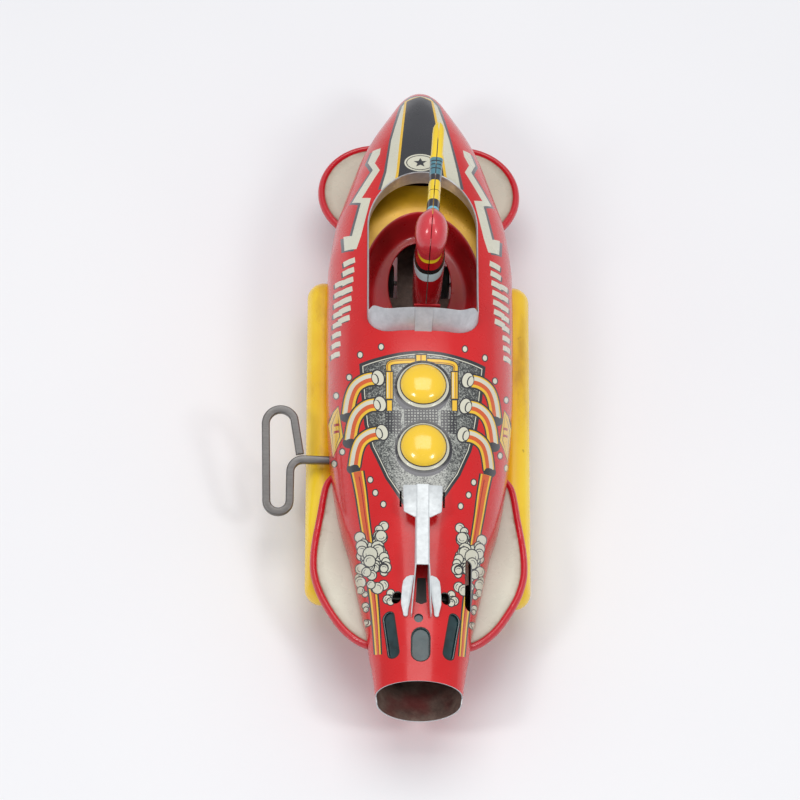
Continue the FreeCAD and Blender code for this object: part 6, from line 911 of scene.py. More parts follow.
    ('black', 1, [(-23.34, -100.03), (-23.57, -100.69), (-24.25, -100.55), (-25.17, -99.4), (-26.07, -97.21), (-26.54, -95.27), (-26.74, -94.12), (-26.8, -93.78), (-26.17, -94.73), (-25.26, -96.06), (-24.32, -97.48), (-23.62, -98.87)]),
    ('cream', 1, [(-23.77, -99.6), (-23.95, -100.08), (-24.47, -99.93), (-25.18, -99.04), (-25.88, -97.47), (-26.39, -95.63), (-26.6, -94.9), (-26.45, -94.72), (-25.96, -95.45), (-25.25, -96.45), (-24.53, -97.58), (-23.98, -98.7)]),
    ('grey', 1, [(-25.44, -96.82), (-25.02, -97.44), (-24.68, -98.07), (-24.46, -98.65), (-24.45, -99.06), (-24.26, -99.3), (-24.24, -98.87), (-24.48, -98.15), (-24.93, -97.29), (-25.43, -96.53)]),
    ('black', 1, [(-12.58, -98.6), (-12.83, -99.54), (-13.53, -100.11), (-14.51, -100.12), (-15.49, -99.56), (-16.22, -98.6), (-16.49, -97.51), (-16.25, -96.6), (-15.54, -96.1), (-14.57, -96.11), (-13.59, -96.63), (-12.86, -97.53)]),
    ('cream', 1, [(-13.03, -98.5), (-13.22, -99.23), (-13.76, -99.66), (-14.52, -99.66), (-15.27, -99.24), (-15.84, -98.5), (-16.05, -97.66), (-15.86, -96.96), (-15.32, -96.56), (-14.56, -96.57), (-13.8, -96.97), (-13.24, -97.67)]),
    ('grey', 1, [(-14.16, -98.9), (-14.59, -98.89), (-14.98, -98.66), (-15.27, -98.26), (-15.38, -97.78), (-15.57, -97.76), (-15.49, -98.3), (-15.14, -98.85), (-14.61, -99.21), (-14.09, -99.28)]),
    ('black', 1, [(-22.23, -97.5), (-22.52, -98.44), (-23.37, -98.56), (-24.53, -97.63), (-25.69, -95.71), (-26.54, -93.37), (-26.88, -91.76), (-26.61, -91.47), (-25.8, -92.05), (-24.64, -93.13), (-23.45, -94.54), (-22.57, -96.09)]),
    ('cream', 1, [(-22.66, -97.18), (-22.9, -97.92), (-23.59, -97.99), (-24.54, -97.22), (-25.49, -95.72), (-26.19, -93.94), (-26.47, -92.66), (-26.25, -92.29), (-25.58, -92.68), (-24.63, -93.55), (-23.66, -94.72), (-22.94, -96.01)]),
    ('grey', 1, [(-24.66, -96.26), (-25.2, -95.4), (-25.54, -94.55), (-25.64, -93.93), (-25.44, -93.72), (-25.62, -93.41), (-25.87, -93.56), (-25.79, -94.26), (-25.38, -95.36), (-24.79, -96.4)]),
    ('black', 1, [(-12.07, -101.04), (-12.39, -102.27), (-13.3, -103), (-14.57, -103.01), (-15.83, -102.26), (-16.77, -100.99), (-17.13, -99.58), (-16.81, -98.42), (-15.91, -97.79), (-14.65, -97.83), (-13.37, -98.5), (-12.43, -99.67)]),
    ('cream', 1, [(-12.51, -100.95), (-12.78, -101.96), (-13.53, -102.55), (-14.57, -102.55), (-15.62, -101.94), (-16.39, -100.91), (-16.69, -99.75), (-16.43, -98.78), (-15.68, -98.26), (-14.64, -98.28), (-13.59, -98.84), (-12.81, -99.81)]),
    ('grey', 1, [(-15.18, -101.21), (-15.62, -100.61), (-15.76, -99.98), (-15.58, -99.45), (-15.11, -99.16), (-15.25, -98.96), (-15.78, -99.25), (-16.04, -99.86), (-15.91, -100.65), (-15.46, -101.37)]),
    ('black', 1, [(-13.28, -101.03), (-13.55, -102.05), (-14.32, -102.64), (-15.38, -102.61), (-16.46, -101.96), (-17.25, -100.87), (-17.55, -99.67), (-17.28, -98.7), (-16.52, -98.19), (-15.45, -98.25), (-14.38, -98.85), (-13.58, -99.86)]),
    ('cream', 1, [(-13.72, -100.91), (-13.94, -101.72), (-14.55, -102.19), (-15.39, -102.16), (-16.24, -101.64), (-16.87, -100.79), (-17.11, -99.85), (-16.9, -99.07), (-16.29, -98.66), (-15.45, -98.7), (-14.6, -99.18), (-13.97, -99.99)]),
    ('grey', 1, [(-15.76, -99.5), (-15.26, -99.59), (-14.83, -99.91), (-14.55, -100.38), (-14.49, -100.92), (-14.28, -100.96), (-14.32, -100.37), (-14.65, -99.75), (-15.21, -99.29), (-15.79, -99.12)]),
    ('black', 1, [(-22.12, -102.77), (-22.43, -103.71), (-23.32, -103.68), (-24.53, -102.34), (-25.73, -99.71), (-26.09, -97.74), (-26.37, -96.23), (-26.64, -94.69), (-25.87, -96.26), (-24.66, -97.87), (-23.41, -99.55), (-22.48, -101.26)]),
    ('cream', 1, [(-22.55, -102.4), (-22.8, -103.15), (-23.54, -103.09), (-24.55, -101.97), (-25.54, -99.78), (-26.14, -97.47), (-26.37, -96.21), (-26.34, -95.87), (-25.65, -96.97), (-24.65, -98.27), (-23.62, -99.69), (-22.85, -101.15)]),
    ('grey', 1, [(-25.67, -98.21), (-25.48, -98.15), (-25.06, -98.57), (-24.48, -99.3), (-23.89, -100.2), (-23.82, -100.11), (-24.46, -99.12), (-25.17, -98.19), (-25.73, -97.52), (-25.98, -97.36)]),
    ('black', 1, [(-13.39, -101.19), (-13.63, -102.1), (-14.32, -102.63), (-15.27, -102.6), (-16.22, -102.03), (-16.92, -101.06), (-17.19, -100), (-16.96, -99.13), (-16.27, -98.67), (-15.33, -98.72), (-14.37, -99.25), (-13.66, -100.15)]),
    ('cream', 1, [(-13.84, -101.08), (-14.02, -101.77), (-14.55, -102.17), (-15.27, -102.15), (-16, -101.71), (-16.55, -100.98), (-16.75, -100.17), (-16.57, -99.5), (-16.04, -99.14), (-15.32, -99.17), (-14.59, -99.58), (-14.04, -100.28)]),
    ('grey', 1, [(-15.88, -100.02), (-15.55, -99.87), (-15.16, -99.94), (-14.79, -100.21), (-14.53, -100.65), (-14.36, -100.58), (-14.63, -100.07), (-15.11, -99.68), (-15.65, -99.52), (-16.09, -99.65)]),
    ('black', 1, [(-17.9, -102.44), (-18.18, -103.44), (-18.98, -103.87), (-20.08, -103.56), (-21.19, -102.56), (-22.01, -101.18), (-22.33, -99.87), (-22.05, -99), (-21.26, -98.75), (-20.16, -99.11), (-19.05, -99.98), (-18.22, -101.18)]),
    ('cream', 1, [(-18.34, -102.25), (-18.56, -103.04), (-19.2, -103.37), (-20.09, -103.12), (-20.98, -102.33), (-21.64, -101.24), (-21.89, -100.19), (-21.67, -99.48), (-21.04, -99.26), (-20.15, -99.55), (-19.26, -100.26), (-18.59, -101.23)]),
    ('grey', 1, [(-20.15, -100.39), (-19.63, -100.81), (-19.28, -101.34), (-19.14, -101.9), (-19.27, -102.35), (-19.08, -102.51), (-18.9, -102.03), (-19.03, -101.33), (-19.47, -100.62), (-20.05, -100.11)]),
    ('black', 1, [(-20.17, -100.06), (-20.44, -100.96), (-21.19, -101.25), (-22.23, -100.77), (-23.28, -99.6), (-24.06, -98.11), (-24.36, -96.81), (-24.1, -96.11), (-23.36, -96.07), (-22.32, -96.61), (-21.26, -97.6), (-20.47, -98.84)]),
    ('cream', 1, [(-20.61, -99.81), (-20.82, -100.51), (-21.42, -100.72), (-22.24, -100.34), (-23.07, -99.43), (-23.69, -98.28), (-23.93, -97.27), (-23.72, -96.68), (-23.13, -96.62), (-22.31, -97.05), (-21.47, -97.84), (-20.85, -98.84)]),
    ('grey', 1, [(-22.91, -98.75), (-23.13, -98.13), (-23.11, -97.71), (-22.85, -97.55), (-22.4, -97.7), (-22.48, -97.46), (-23, -97.25), (-23.36, -97.39), (-23.44, -97.9), (-23.23, -98.6)]),
    ('black', 1, [(-13.1, -108.19), (-13.4, -109.31), (-14.23, -109.93), (-15.39, -109.87), (-16.55, -109.1), (-17.41, -107.88), (-17.74, -106.56), (-17.45, -105.52), (-16.62, -105.01), (-15.46, -105.11), (-14.3, -105.79), (-13.43, -106.91)]),
    ('cream', 1, [(-13.55, -108.07), (-13.78, -108.97), (-14.46, -109.47), (-15.4, -109.41), (-16.34, -108.8), (-17.03, -107.82), (-17.3, -106.76), (-17.07, -105.91), (-16.39, -105.48), (-15.46, -105.56), (-14.51, -106.12), (-13.81, -107.03)]),
    ('grey', 1, [(-15.23, -106.56), (-14.73, -106.99), (-14.44, -107.54), (-14.41, -108.09), (-14.68, -108.53), (-14.5, -108.69), (-14.18, -108.23), (-14.17, -107.55), (-14.5, -106.83), (-15.05, -106.3)]),
    ('black', 1, [(-10.51, -112.14), (-10.75, -113.09), (-11.45, -113.67), (-12.42, -113.71), (-13.39, -113.17), (-14.1, -112.23), (-14.38, -111.15), (-14.13, -110.24), (-13.44, -109.72), (-12.47, -109.7), (-11.5, -110.2), (-10.78, -111.08)]),
    ('cream', 1, [(-10.95, -112.05), (-11.14, -112.78), (-11.68, -113.22), (-12.42, -113.25), (-13.17, -112.84), (-13.72, -112.12), (-13.93, -111.29), (-13.75, -110.58), (-13.21, -110.17), (-12.47, -110.16), (-11.72, -110.55), (-11.16, -111.23)]),
    ('grey', 1, [(-11.85, -111.38), (-11.68, -111.84), (-11.74, -112.23), (-11.99, -112.51), (-12.4, -112.57), (-12.34, -112.78), (-11.85, -112.75), (-11.48, -112.42), (-11.36, -111.89), (-11.51, -111.34)]),
    ('black', 1, [(-16.79, -108.32), (-17.04, -109.2), (-17.74, -109.6), (-18.7, -109.37), (-19.68, -108.54), (-20.4, -107.37), (-20.67, -106.23), (-20.43, -105.44), (-19.74, -105.17), (-18.77, -105.43), (-17.8, -106.17), (-17.07, -107.21)]),
    ('cream', 1, [(-17.23, -108.13), (-17.42, -108.81), (-17.96, -109.11), (-18.71, -108.92), (-19.47, -108.29), (-20.02, -107.4), (-20.24, -106.52), (-20.05, -105.9), (-19.51, -105.67), (-18.76, -105.88), (-18.01, -106.45), (-17.45, -107.27)]),
    ('grey', 1, [(-18.06, -108.1), (-18.36, -108.28), (-18.74, -108.19), (-19.15, -107.87), (-19.48, -107.37), (-19.62, -107.42), (-19.27, -108.01), (-18.75, -108.47), (-18.2, -108.64), (-17.81, -108.49)]),
    ('black', 1, [(-15.28, -108.33), (-15.53, -109.23), (-16.22, -109.69), (-17.17, -109.54), (-18.13, -108.83), (-18.84, -107.76), (-19.12, -106.65), (-18.88, -105.83), (-18.19, -105.47), (-17.24, -105.63), (-16.27, -106.28), (-15.56, -107.26)]),
    ('cream', 1, [(-15.73, -108.18), (-15.91, -108.86), (-16.44, -109.21), (-17.18, -109.1), (-17.92, -108.55), (-18.47, -107.74), (-18.68, -106.89), (-18.49, -106.24), (-17.96, -105.96), (-17.23, -106.08), (-16.49, -106.59), (-15.94, -107.34)]),
    ('grey', 1, [(-16.55, -107.51), (-16.45, -107.98), (-16.57, -108.32), (-16.87, -108.47), (-17.3, -108.37), (-17.26, -108.59), (-16.76, -108.73), (-16.34, -108.57), (-16.13, -108.13), (-16.2, -107.59)]),
    ('black', 1, [(-15.16, -108.78), (-15.49, -109.98), (-16.41, -110.58), (-17.69, -110.36), (-18.97, -109.34), (-19.92, -107.84), (-20.29, -106.34), (-19.97, -105.28), (-19.05, -104.86), (-17.78, -105.14), (-16.49, -106.02), (-15.53, -107.34)]),
    ('cream', 1, [(-15.6, -108.62), (-15.87, -109.61), (-16.64, -110.1), (-17.7, -109.91), (-18.76, -109.08), (-19.55, -107.85), (-19.85, -106.62), (-19.59, -105.72), (-18.83, -105.36), (-17.77, -105.59), (-16.7, -106.33), (-15.91, -107.43)]),
    ('grey', 1, [(-18, -106.5), (-17.35, -106.82), (-16.84, -107.37), (-16.56, -108.05), (-16.59, -108.7), (-16.39, -108.8), (-16.32, -108.1), (-16.63, -107.28), (-17.25, -106.56), (-17.97, -106.15)]),
    ('black', 1, [(-11.05, -114.38), (-11.31, -115.36), (-12.03, -115.94), (-13.03, -115.94), (-14.03, -115.36), (-14.77, -114.36), (-15.05, -113.24), (-14.8, -112.3), (-14.08, -111.79), (-13.09, -111.81), (-12.08, -112.35), (-11.34, -113.28)]),
    ('cream', 1, [(-11.5, -114.28), (-11.69, -115.04), (-12.26, -115.48), (-13.03, -115.48), (-13.81, -115.03), (-14.39, -114.26), (-14.61, -113.39), (-14.42, -112.66), (-13.85, -112.26), (-13.08, -112.27), (-12.3, -112.69), (-11.72, -113.42)]),
    ('grey', 1, [(-12.47, -114.6), (-12.86, -114.74), (-13.28, -114.62), (-13.66, -114.29), (-13.9, -113.8), (-14.08, -113.84), (-13.84, -114.41), (-13.36, -114.88), (-12.78, -115.08), (-12.3, -114.97)]),
    ('black', 1, [(-18.42, -105.97), (-18.67, -106.82), (-19.36, -107.14), (-20.32, -106.81), (-21.28, -105.87), (-22, -104.62), (-22.27, -103.47), (-22.03, -102.75), (-21.35, -102.58), (-20.39, -102.95), (-19.42, -103.77), (-18.7, -104.86)]),
    ('cream', 1, [(-18.86, -105.74), (-19.05, -106.39), (-19.59, -106.64), (-20.33, -106.37), (-21.07, -105.66), (-21.63, -104.72), (-21.84, -103.83), (-21.65, -103.25), (-21.12, -103.11), (-20.38, -103.39), (-19.63, -104.03), (-19.08, -104.88)]),
    ('grey', 1, [(-21.05, -104.67), (-21.1, -104.21), (-20.94, -103.97), (-20.6, -103.97), (-20.15, -104.22), (-20.16, -104.01), (-20.67, -103.69), (-21.14, -103.64), (-21.41, -103.92), (-21.41, -104.42)]),
    ('black', 1, [(-21.25, -107.96), (-21.42, -108.51), (-21.93, -108.55), (-22.63, -108), (-23.33, -106.96), (-23.85, -105.76), (-24.05, -104.85), (-23.88, -104.52), (-23.39, -104.71), (-22.69, -105.31), (-21.98, -106.16), (-21.45, -107.11)]),
    ('cream', 1, [(-21.68, -107.6), (-21.8, -107.97), (-22.15, -107.98), (-22.64, -107.59), (-23.13, -106.89), (-23.49, -106.1), (-23.63, -105.48), (-23.51, -105.21), (-23.17, -105.31), (-22.68, -105.72), (-22.19, -106.33), (-21.82, -107.01)]),
    ('grey', 1, [(-23.01, -106.02), (-22.79, -106.12), (-22.55, -106.35), (-22.32, -106.68), (-22.16, -107.06), (-21.99, -107.13), (-22.16, -106.68), (-22.48, -106.17), (-22.87, -105.75), (-23.19, -105.53)]),
    ('black', 1, [(-22.66, -105.24), (-22.87, -105.82), (-23.48, -105.66), (-24.31, -104.57), (-25.12, -102.53), (-25.48, -101.03), (-25.68, -99.99), (-25.77, -99.48), (-25.22, -100.39), (-24.4, -101.62), (-23.55, -102.92), (-22.91, -104.19)]),
    ('cream', 1, [(-23.09, -104.79), (-23.25, -105.2), (-23.7, -105.04), (-24.32, -104.22), (-24.93, -102.82), (-25.38, -101.53), (-25.56, -100.61), (-25.43, -100.46), (-25, -101.1), (-24.39, -102), (-23.75, -103.01), (-23.28, -104)]),
    ('grey', 1, [(-23.87, -103.51), (-23.73, -104), (-23.78, -104.23), (-23.98, -104.17), (-24.33, -103.73), (-24.27, -103.99), (-23.86, -104.52), (-23.53, -104.66), (-23.42, -104.38), (-23.54, -103.83)]),
    ('black', 1, [(-11.67, -114.46), (-11.94, -115.46), (-12.68, -116.04), (-13.71, -116.02), (-14.75, -115.39), (-15.51, -114.33), (-15.81, -113.17), (-15.55, -112.22), (-14.8, -111.71), (-13.78, -111.76), (-12.74, -112.34), (-11.97, -113.32)]),
    ('cream', 1, [(-12.12, -114.35), (-12.32, -115.14), (-12.91, -115.59), (-13.72, -115.57), (-14.53, -115.07), (-15.14, -114.25), (-15.37, -113.34), (-15.16, -112.59), (-14.58, -112.18), (-13.77, -112.22), (-12.95, -112.68), (-12.35, -113.45)]),
    ('grey', 1, [(-14.3, -114.35), (-14.56, -113.84), (-14.58, -113.38), (-14.37, -113.04), (-13.96, -112.92), (-14.06, -112.7), (-14.54, -112.81), (-14.85, -113.21), (-14.87, -113.82), (-14.61, -114.42)]),
    ('black', 1, [(-10.68, -115.57), (-10.91, -116.44), (-11.54, -116.95), (-12.42, -116.97), (-13.3, -116.47), (-13.95, -115.61), (-14.2, -114.63), (-13.98, -113.8), (-13.35, -113.34), (-12.47, -113.34), (-11.59, -113.8), (-10.93, -114.61)]),
    ('cream', 1, [(-11.13, -115.48), (-11.3, -116.12), (-11.77, -116.5), (-12.43, -116.51), (-13.09, -116.14), (-13.57, -115.5), (-13.76, -114.77), (-13.6, -114.15), (-13.12, -113.8), (-12.47, -113.79), (-11.8, -114.14), (-11.32, -114.76)]),
    ('grey', 1, [(-13.05, -114.76), (-12.83, -114.5), (-12.52, -114.44), (-12.16, -114.58), (-11.85, -114.9), (-11.72, -114.77), (-12.07, -114.38), (-12.55, -114.15), (-13.02, -114.18), (-13.33, -114.44)]),
    ('black', 1, [(-20.75, -112.92), (-20.95, -113.52), (-21.53, -113.5), (-22.32, -112.74), (-23.1, -111.3), (-23.68, -109.64), (-23.91, -108.56), (-23.73, -108.43), (-23.18, -108.93), (-22.39, -109.77), (-21.59, -110.82), (-20.98, -111.94)]),
    ('cream', 1, [(-21.18, -112.54), (-21.33, -112.96), (-21.75, -112.92), (-22.33, -112.35), (-22.91, -111.36), (-23.34, -110.25), (-23.51, -109.48), (-23.37, -109.28), (-22.96, -109.56), (-22.38, -110.17), (-21.79, -110.97), (-21.35, -111.81)]),
    ('grey', 1, [(-21.99, -111.32), (-21.8, -111.79), (-21.79, -112.09), (-21.93, -112.19), (-22.22, -112), (-22.12, -112.27), (-21.76, -112.53), (-21.52, -112.44), (-21.5, -112.03), (-21.69, -111.48)]),
    ('black', 1, [(-21.91, -117.52), (-22.05, -117.63), (-22.27, -117.22), (-22.22, -117.45), (-22.26, -117.26), (-22.38, -116.71), (-22.55, -115.95), (-22.72, -115.18), (-22.84, -114.6), (-22.89, -114.38), (-22.54, -115.46), (-22.09, -116.73)]),
    ('cream', 1, [(-22.32, -116.61), (-22.4, -116.48), (-22.36, -116.77), (-22.33, -116.92), (-22.36, -116.8), (-22.44, -116.44), (-22.55, -115.94), (-22.66, -115.43), (-22.75, -115.05), (-22.78, -114.9), (-22.72, -115.18), (-22.44, -116.09)]),
    ('grey', 1, [(-22.65, -115.49), (-22.62, -115.61), (-22.58, -115.8), (-22.53, -116.04), (-22.47, -116.3), (-22.44, -116.42), (-22.51, -116.12), (-22.49, -116.2), (-22.64, -115.41), (-22.73, -115.12)]),
    ('black', 1, [(-20.87, -114.11), (-21.03, -114.57), (-21.49, -114.52), (-22.12, -113.9), (-22.75, -112.78), (-23.22, -111.51), (-23.4, -110.67), (-23.26, -110.5), (-22.81, -110.86), (-22.18, -111.54), (-21.54, -112.41), (-21.06, -113.33)]),
    ('cream', 1, [(-21.3, -113.7), (-21.41, -113.99), (-21.71, -113.94), (-22.13, -113.51), (-22.55, -112.81), (-22.87, -112.03), (-22.99, -111.48), (-22.89, -111.31), (-22.59, -111.49), (-22.17, -111.94), (-21.75, -112.54), (-21.43, -113.17)]),
    ('grey', 1, [(-21.84, -112.97), (-21.79, -113.24), (-21.85, -113.34), (-22, -113.27), (-22.24, -112.99), (-22.22, -113.19), (-21.92, -113.57), (-21.64, -113.74), (-21.48, -113.63), (-21.49, -113.32)]),
    ('black', 1, [(-19.85, -120.05), (-20.05, -120.62), (-20.6, -120.52), (-21.36, -119.55), (-22.12, -117.94), (-22.41, -116.56), (-22.62, -115.6), (-22.72, -115.18), (-22.2, -115.83), (-21.44, -116.82), (-20.66, -117.93), (-20.08, -119.06)]),
    ('cream', 1, [(-20.28, -119.61), (-20.42, -120), (-20.82, -119.89), (-21.37, -119.18), (-21.92, -118), (-22.33, -116.95), (-22.49, -116.22), (-22.37, -116.02), (-21.98, -116.49), (-21.43, -117.2), (-20.87, -118.04), (-20.44, -118.89)]),
    ('grey', 1, [(-21.89, -117.49), (-21.92, -117.22), (-21.79, -117.24), (-21.55, -117.5), (-21.22, -117.96), (-21.22, -117.8), (-21.61, -117.23), (-21.98, -116.77), (-22.21, -116.58), (-22.23, -116.78)]),
    ('black', 1, [(-20.79, -118.81), (-20.94, -119.17), (-21.36, -118.94), (-21.94, -117.95), (-22.4, -116.6), (-22.52, -116.06), (-22.69, -115.32), (-22.85, -114.56), (-22.6, -115.06), (-22.02, -116.07), (-21.42, -117.09), (-20.97, -118.05)]),
    ('cream', 1, [(-21.22, -118.27), (-21.31, -118.47), (-21.58, -118.27), (-21.96, -117.64), (-22.34, -116.89), (-22.58, -115.79), (-22.69, -115.3), (-22.64, -115.51), (-22.38, -115.77), (-22.01, -116.42), (-21.62, -117.11), (-21.33, -117.77)]),
    ('grey', 1, [(-22.21, -116.44), (-22.03, -116.72), (-21.85, -117.04), (-21.7, -117.37), (-21.6, -117.69), (-21.42, -117.9), (-21.52, -117.54), (-21.75, -117.01), (-22.06, -116.43), (-22.33, -115.96)]),
    ('black', 1, [(-16.01, -1.3), (-16.19, -2.22), (-16.7, -2.82), (-17.39, -2.94), (-18.09, -2.53), (-18.61, -1.71), (-18.8, -0.71), (-18.62, 0.21), (-18.11, 0.79), (-17.42, 0.9), (-16.72, 0.49), (-16.2, -0.31)]),
    ('cream', 1, [(-16.46, -1.22), (-16.58, -1.88), (-16.93, -2.31), (-17.4, -2.4), (-17.87, -2.11), (-18.22, -1.53), (-18.35, -0.81), (-18.23, -0.15), (-17.89, 0.27), (-17.42, 0.35), (-16.94, 0.07), (-16.59, -0.5)]),
    ('black', 1, [(-24.57, -2.78), (-24.75, -3.66), (-25.25, -4.14), (-25.94, -4.09), (-26.64, -3.51), (-27.15, -2.55), (-27.34, -1.5), (-27.16, -0.64), (-26.66, -0.18), (-25.97, -0.26), (-25.28, -0.82), (-24.77, -1.74)]),
    ('cream', 1, [(-25.02, -2.59), (-25.14, -3.22), (-25.48, -3.58), (-25.95, -3.55), (-26.42, -3.15), (-26.76, -2.48), (-26.89, -1.73), (-26.77, -1.1), (-26.43, -0.76), (-25.97, -0.8), (-25.5, -1.19), (-25.15, -1.85)]),
    ('black', 1, [(-28.95, -11.53), (-29.12, -12.36), (-29.62, -12.74), (-30.3, -12.54), (-30.99, -11.8), (-31.5, -10.73), (-31.69, -9.64), (-31.51, -8.84), (-31.02, -8.53), (-30.34, -8.76), (-29.65, -9.47), (-29.14, -10.47)]),
    ('cream', 1, [(-29.39, -11.26), (-29.51, -11.86), (-29.85, -12.13), (-30.31, -12), (-30.77, -11.5), (-31.12, -10.75), (-31.25, -9.98), (-31.13, -9.4), (-30.79, -9.15), (-30.33, -9.29), (-29.87, -9.79), (-29.52, -10.5)]),
    ('black', 1, [(-34.08, -16.25), (-34.25, -16.98), (-34.73, -17.08), (-35.4, -16.46), (-36.07, -15.24), (-36.56, -13.75), (-36.75, -12.51), (-36.58, -11.91), (-36.1, -12.03), (-35.44, -12.75), (-34.77, -13.86), (-34.27, -15.12)]),
    ('cream', 1, [(-34.51, -15.76), (-34.63, -16.28), (-34.96, -16.36), (-35.41, -15.94), (-35.86, -15.12), (-36.19, -14.12), (-36.32, -13.26), (-36.21, -12.79), (-35.88, -12.81), (-35.43, -13.28), (-34.98, -14.05), (-34.64, -14.95)]),
    ('black', 1, [(-31.38, -44.08), (-31.55, -44.78), (-32.03, -44.95), (-32.7, -44.5), (-33.38, -43.53), (-33.88, -42.33), (-34.07, -41.26), (-33.9, -40.65), (-33.42, -40.61), (-32.75, -41.11), (-32.07, -41.99), (-31.57, -43.06)]),
    ('cream', 1, [(-31.82, -43.69), (-31.93, -44.19), (-32.26, -44.32), (-32.71, -44.02), (-33.17, -43.37), (-33.5, -42.55), (-33.64, -41.8), (-33.52, -41.34), (-33.2, -41.27), (-32.75, -41.59), (-32.29, -42.2), (-31.95, -42.97)]),
    ('black', 1, [(-34.45, -45.66), (-34.61, -46.18), (-35.08, -45.91), (-35.72, -44.71), (-36.35, -42.66), (-36.81, -40.29), (-36.98, -38.78), (-36.85, -39.09), (-36.42, -40.24), (-35.79, -41.68), (-35.13, -43.18), (-34.64, -44.58)]),
    ('cream', 1, [(-34.88, -44.97), (-34.98, -45.32), (-35.3, -45.11), (-35.73, -44.29), (-36.16, -42.99), (-36.48, -41.6), (-36.6, -40.7), (-36.51, -40.62), (-36.21, -41.19), (-35.78, -42.11), (-35.34, -43.17), (-35.01, -44.19)]),
    ('black', 1, [(-19.95, -62.2), (-20.12, -62.99), (-20.62, -63.45), (-21.3, -63.45), (-21.99, -62.98), (-22.5, -62.17), (-22.7, -61.26), (-22.53, -60.48), (-22.03, -60.05), (-21.35, -60.06), (-20.66, -60.51), (-20.14, -61.3)]),
    ('cream', 1, [(-20.39, -62.07), (-20.51, -62.63), (-20.85, -62.97), (-21.31, -62.97), (-21.78, -62.65), (-22.12, -62.08), (-22.25, -61.43), (-22.14, -60.86), (-21.8, -60.54), (-21.34, -60.54), (-20.87, -60.86), (-20.53, -61.42)]),
    ('black', 1, [(-17.85, -68.4), (-18.02, -69.19), (-18.52, -69.67), (-19.2, -69.69), (-19.89, -69.26), (-20.41, -68.48), (-20.6, -67.58), (-20.43, -66.81), (-19.93, -66.36), (-19.25, -66.34), (-18.56, -66.76), (-18.04, -67.51)]),
    ('cream', 1, [(-18.29, -68.29), (-18.41, -68.85), (-18.75, -69.2), (-19.21, -69.22), (-19.68, -68.92), (-20.02, -68.37), (-20.16, -67.73), (-20.04, -67.17), (-19.71, -66.84), (-19.24, -66.82), (-18.77, -67.11), (-18.43, -67.65)]),
    ('black', 1, [(-14.53, -74.07), (-14.71, -74.86), (-15.21, -75.37), (-15.89, -75.43), (-16.58, -75.05), (-17.1, -74.32), (-17.29, -73.45), (-17.12, -72.67), (-16.62, -72.18), (-15.94, -72.12), (-15.24, -72.49), (-14.73, -73.2)]),
    ('cream', 1, [(-14.98, -73.98), (-15.1, -74.55), (-15.43, -74.91), (-15.9, -74.97), (-16.37, -74.7), (-16.71, -74.18), (-16.85, -73.56), (-16.73, -73), (-16.4, -72.64), (-15.93, -72.59), (-15.46, -72.85), (-15.11, -73.36)]),
    ('black', 1, [(-34.49, -20.26), (-32.13, -36.94), (-36.25, -39.93), (-38.37, -19.79)]),
    ('yellow', 1, [(-34.58, -20.84), (-32.62, -36.41), (-36.19, -39.58), (-38.26, -20.78)]),
    ('black', 1, [(-34.77, -22.07), (-33.69, -35.13), (-36.05, -38.75), (-37.29, -24.88)]),
    ('yellow', 1, [(-34.83, -22.4), (-33.98, -34.76), (-36.01, -38.52), (-37.02, -25.62)]),
    ('red2', 1, [(-36.24, -26.33), (-34.09, -28.91), (-33.92, -30.22), (-36.07, -27.71)]),
    ('red2', 1, [(-36.15, -29.48), (-33.93, -32.19), (-33.95, -33.26), (-36.18, -30.49)]),
]
DOMES = ((0.0, -20.8), (0.3, -49.4))


def emboss(x, y):
    """Height of the pressed dome and its ring above the deck."""
    h = 0.0
    for cx, cy in DOMES:
        r = math.hypot(x - cx, y - cy)
        if r < 9.3:
            h = 1.0 + 3.6 * math.sqrt(max(0.0, 1 - (r / 9.3) ** 2)) ** 1.15
        elif r < 10.7:
            t = (r - 9.3) / 1.4
            h = 1.0 * (1 - t * t * (3 - 2 * t)) + 0.0
    return h


def slot_outline(x0, y0, x1, y1, r, n=8):
    a = math.atan2(y1 - y0, x1 - x0)
    pts = []
    for i in range(n + 1):
        t = a + math.pi / 2 + math.pi * i / n
        pts.append((x0 + r * math.cos(t), y0 + r * math.sin(t)))
    for i in range(n + 1):
        t = a - math.pi / 2 + math.pi * i / n
        pts.append((x1 + r * math.cos(t), y1 + r * math.sin(t)))
    return pts


def cockpit_outline(grow, n=16, hw0=23.3, rear0=6.0, front0=91.0):
    hw, rear, front = hw0 + grow, rear0 - grow, front0 + grow
    r, arch = 10.5 + grow, 27.0 + grow
    pts = []
    for i in range(9):
        a = math.radians(180 + 90 * i / 8)
        pts.append((-hw + r + r * math.cos(a), rear + r + r * math.sin(a)))
    for i in range(9):
        a = math.radians(270 + 90 * i / 8)
        pts.append((hw - r + r * math.cos(a), rear + r + r * math.sin(a)))
    for i in range(2 * n + 1):
        a = math.radians(180.0 * i / (2 * n))
        pts.append((hw * math.cos(a), front - arch + arch * math.sin(a)))
    return pts


OPENINGS = [cockpit_outline(0.0),
            slot_outline(-13.2, -121.5, -11.0, -137.0, 2.1), slot_outline(13.9, -121.5, 11.5, -137.0, 2.1),
            slot_outline(0, -131.2, 0, -137.9, 3.65), slot_outline(19.6, -96.5, 19.6, -113.3, 1.45),
            slot_outline(-9.9, -113.2, -10.2, -114.6, 1.9), slot_outline(9.9, -113.2, 10.2, -114.6, 1.9),
            [(-9.3, -76), (-8.5, -76), (-8.5, -69), (-9.3, -69)], [(8.5, -76), (9.3, -76), (9.3, -69), (8.5, -69)],
            [(-1.0 + 1.9 * math.cos(t * math.pi / 8), -123.4 + 1.9 * math.sin(t * math.pi / 8)) for t in range(16)]]

KS = 45.0   # mm per radian of section angle in the flat layout


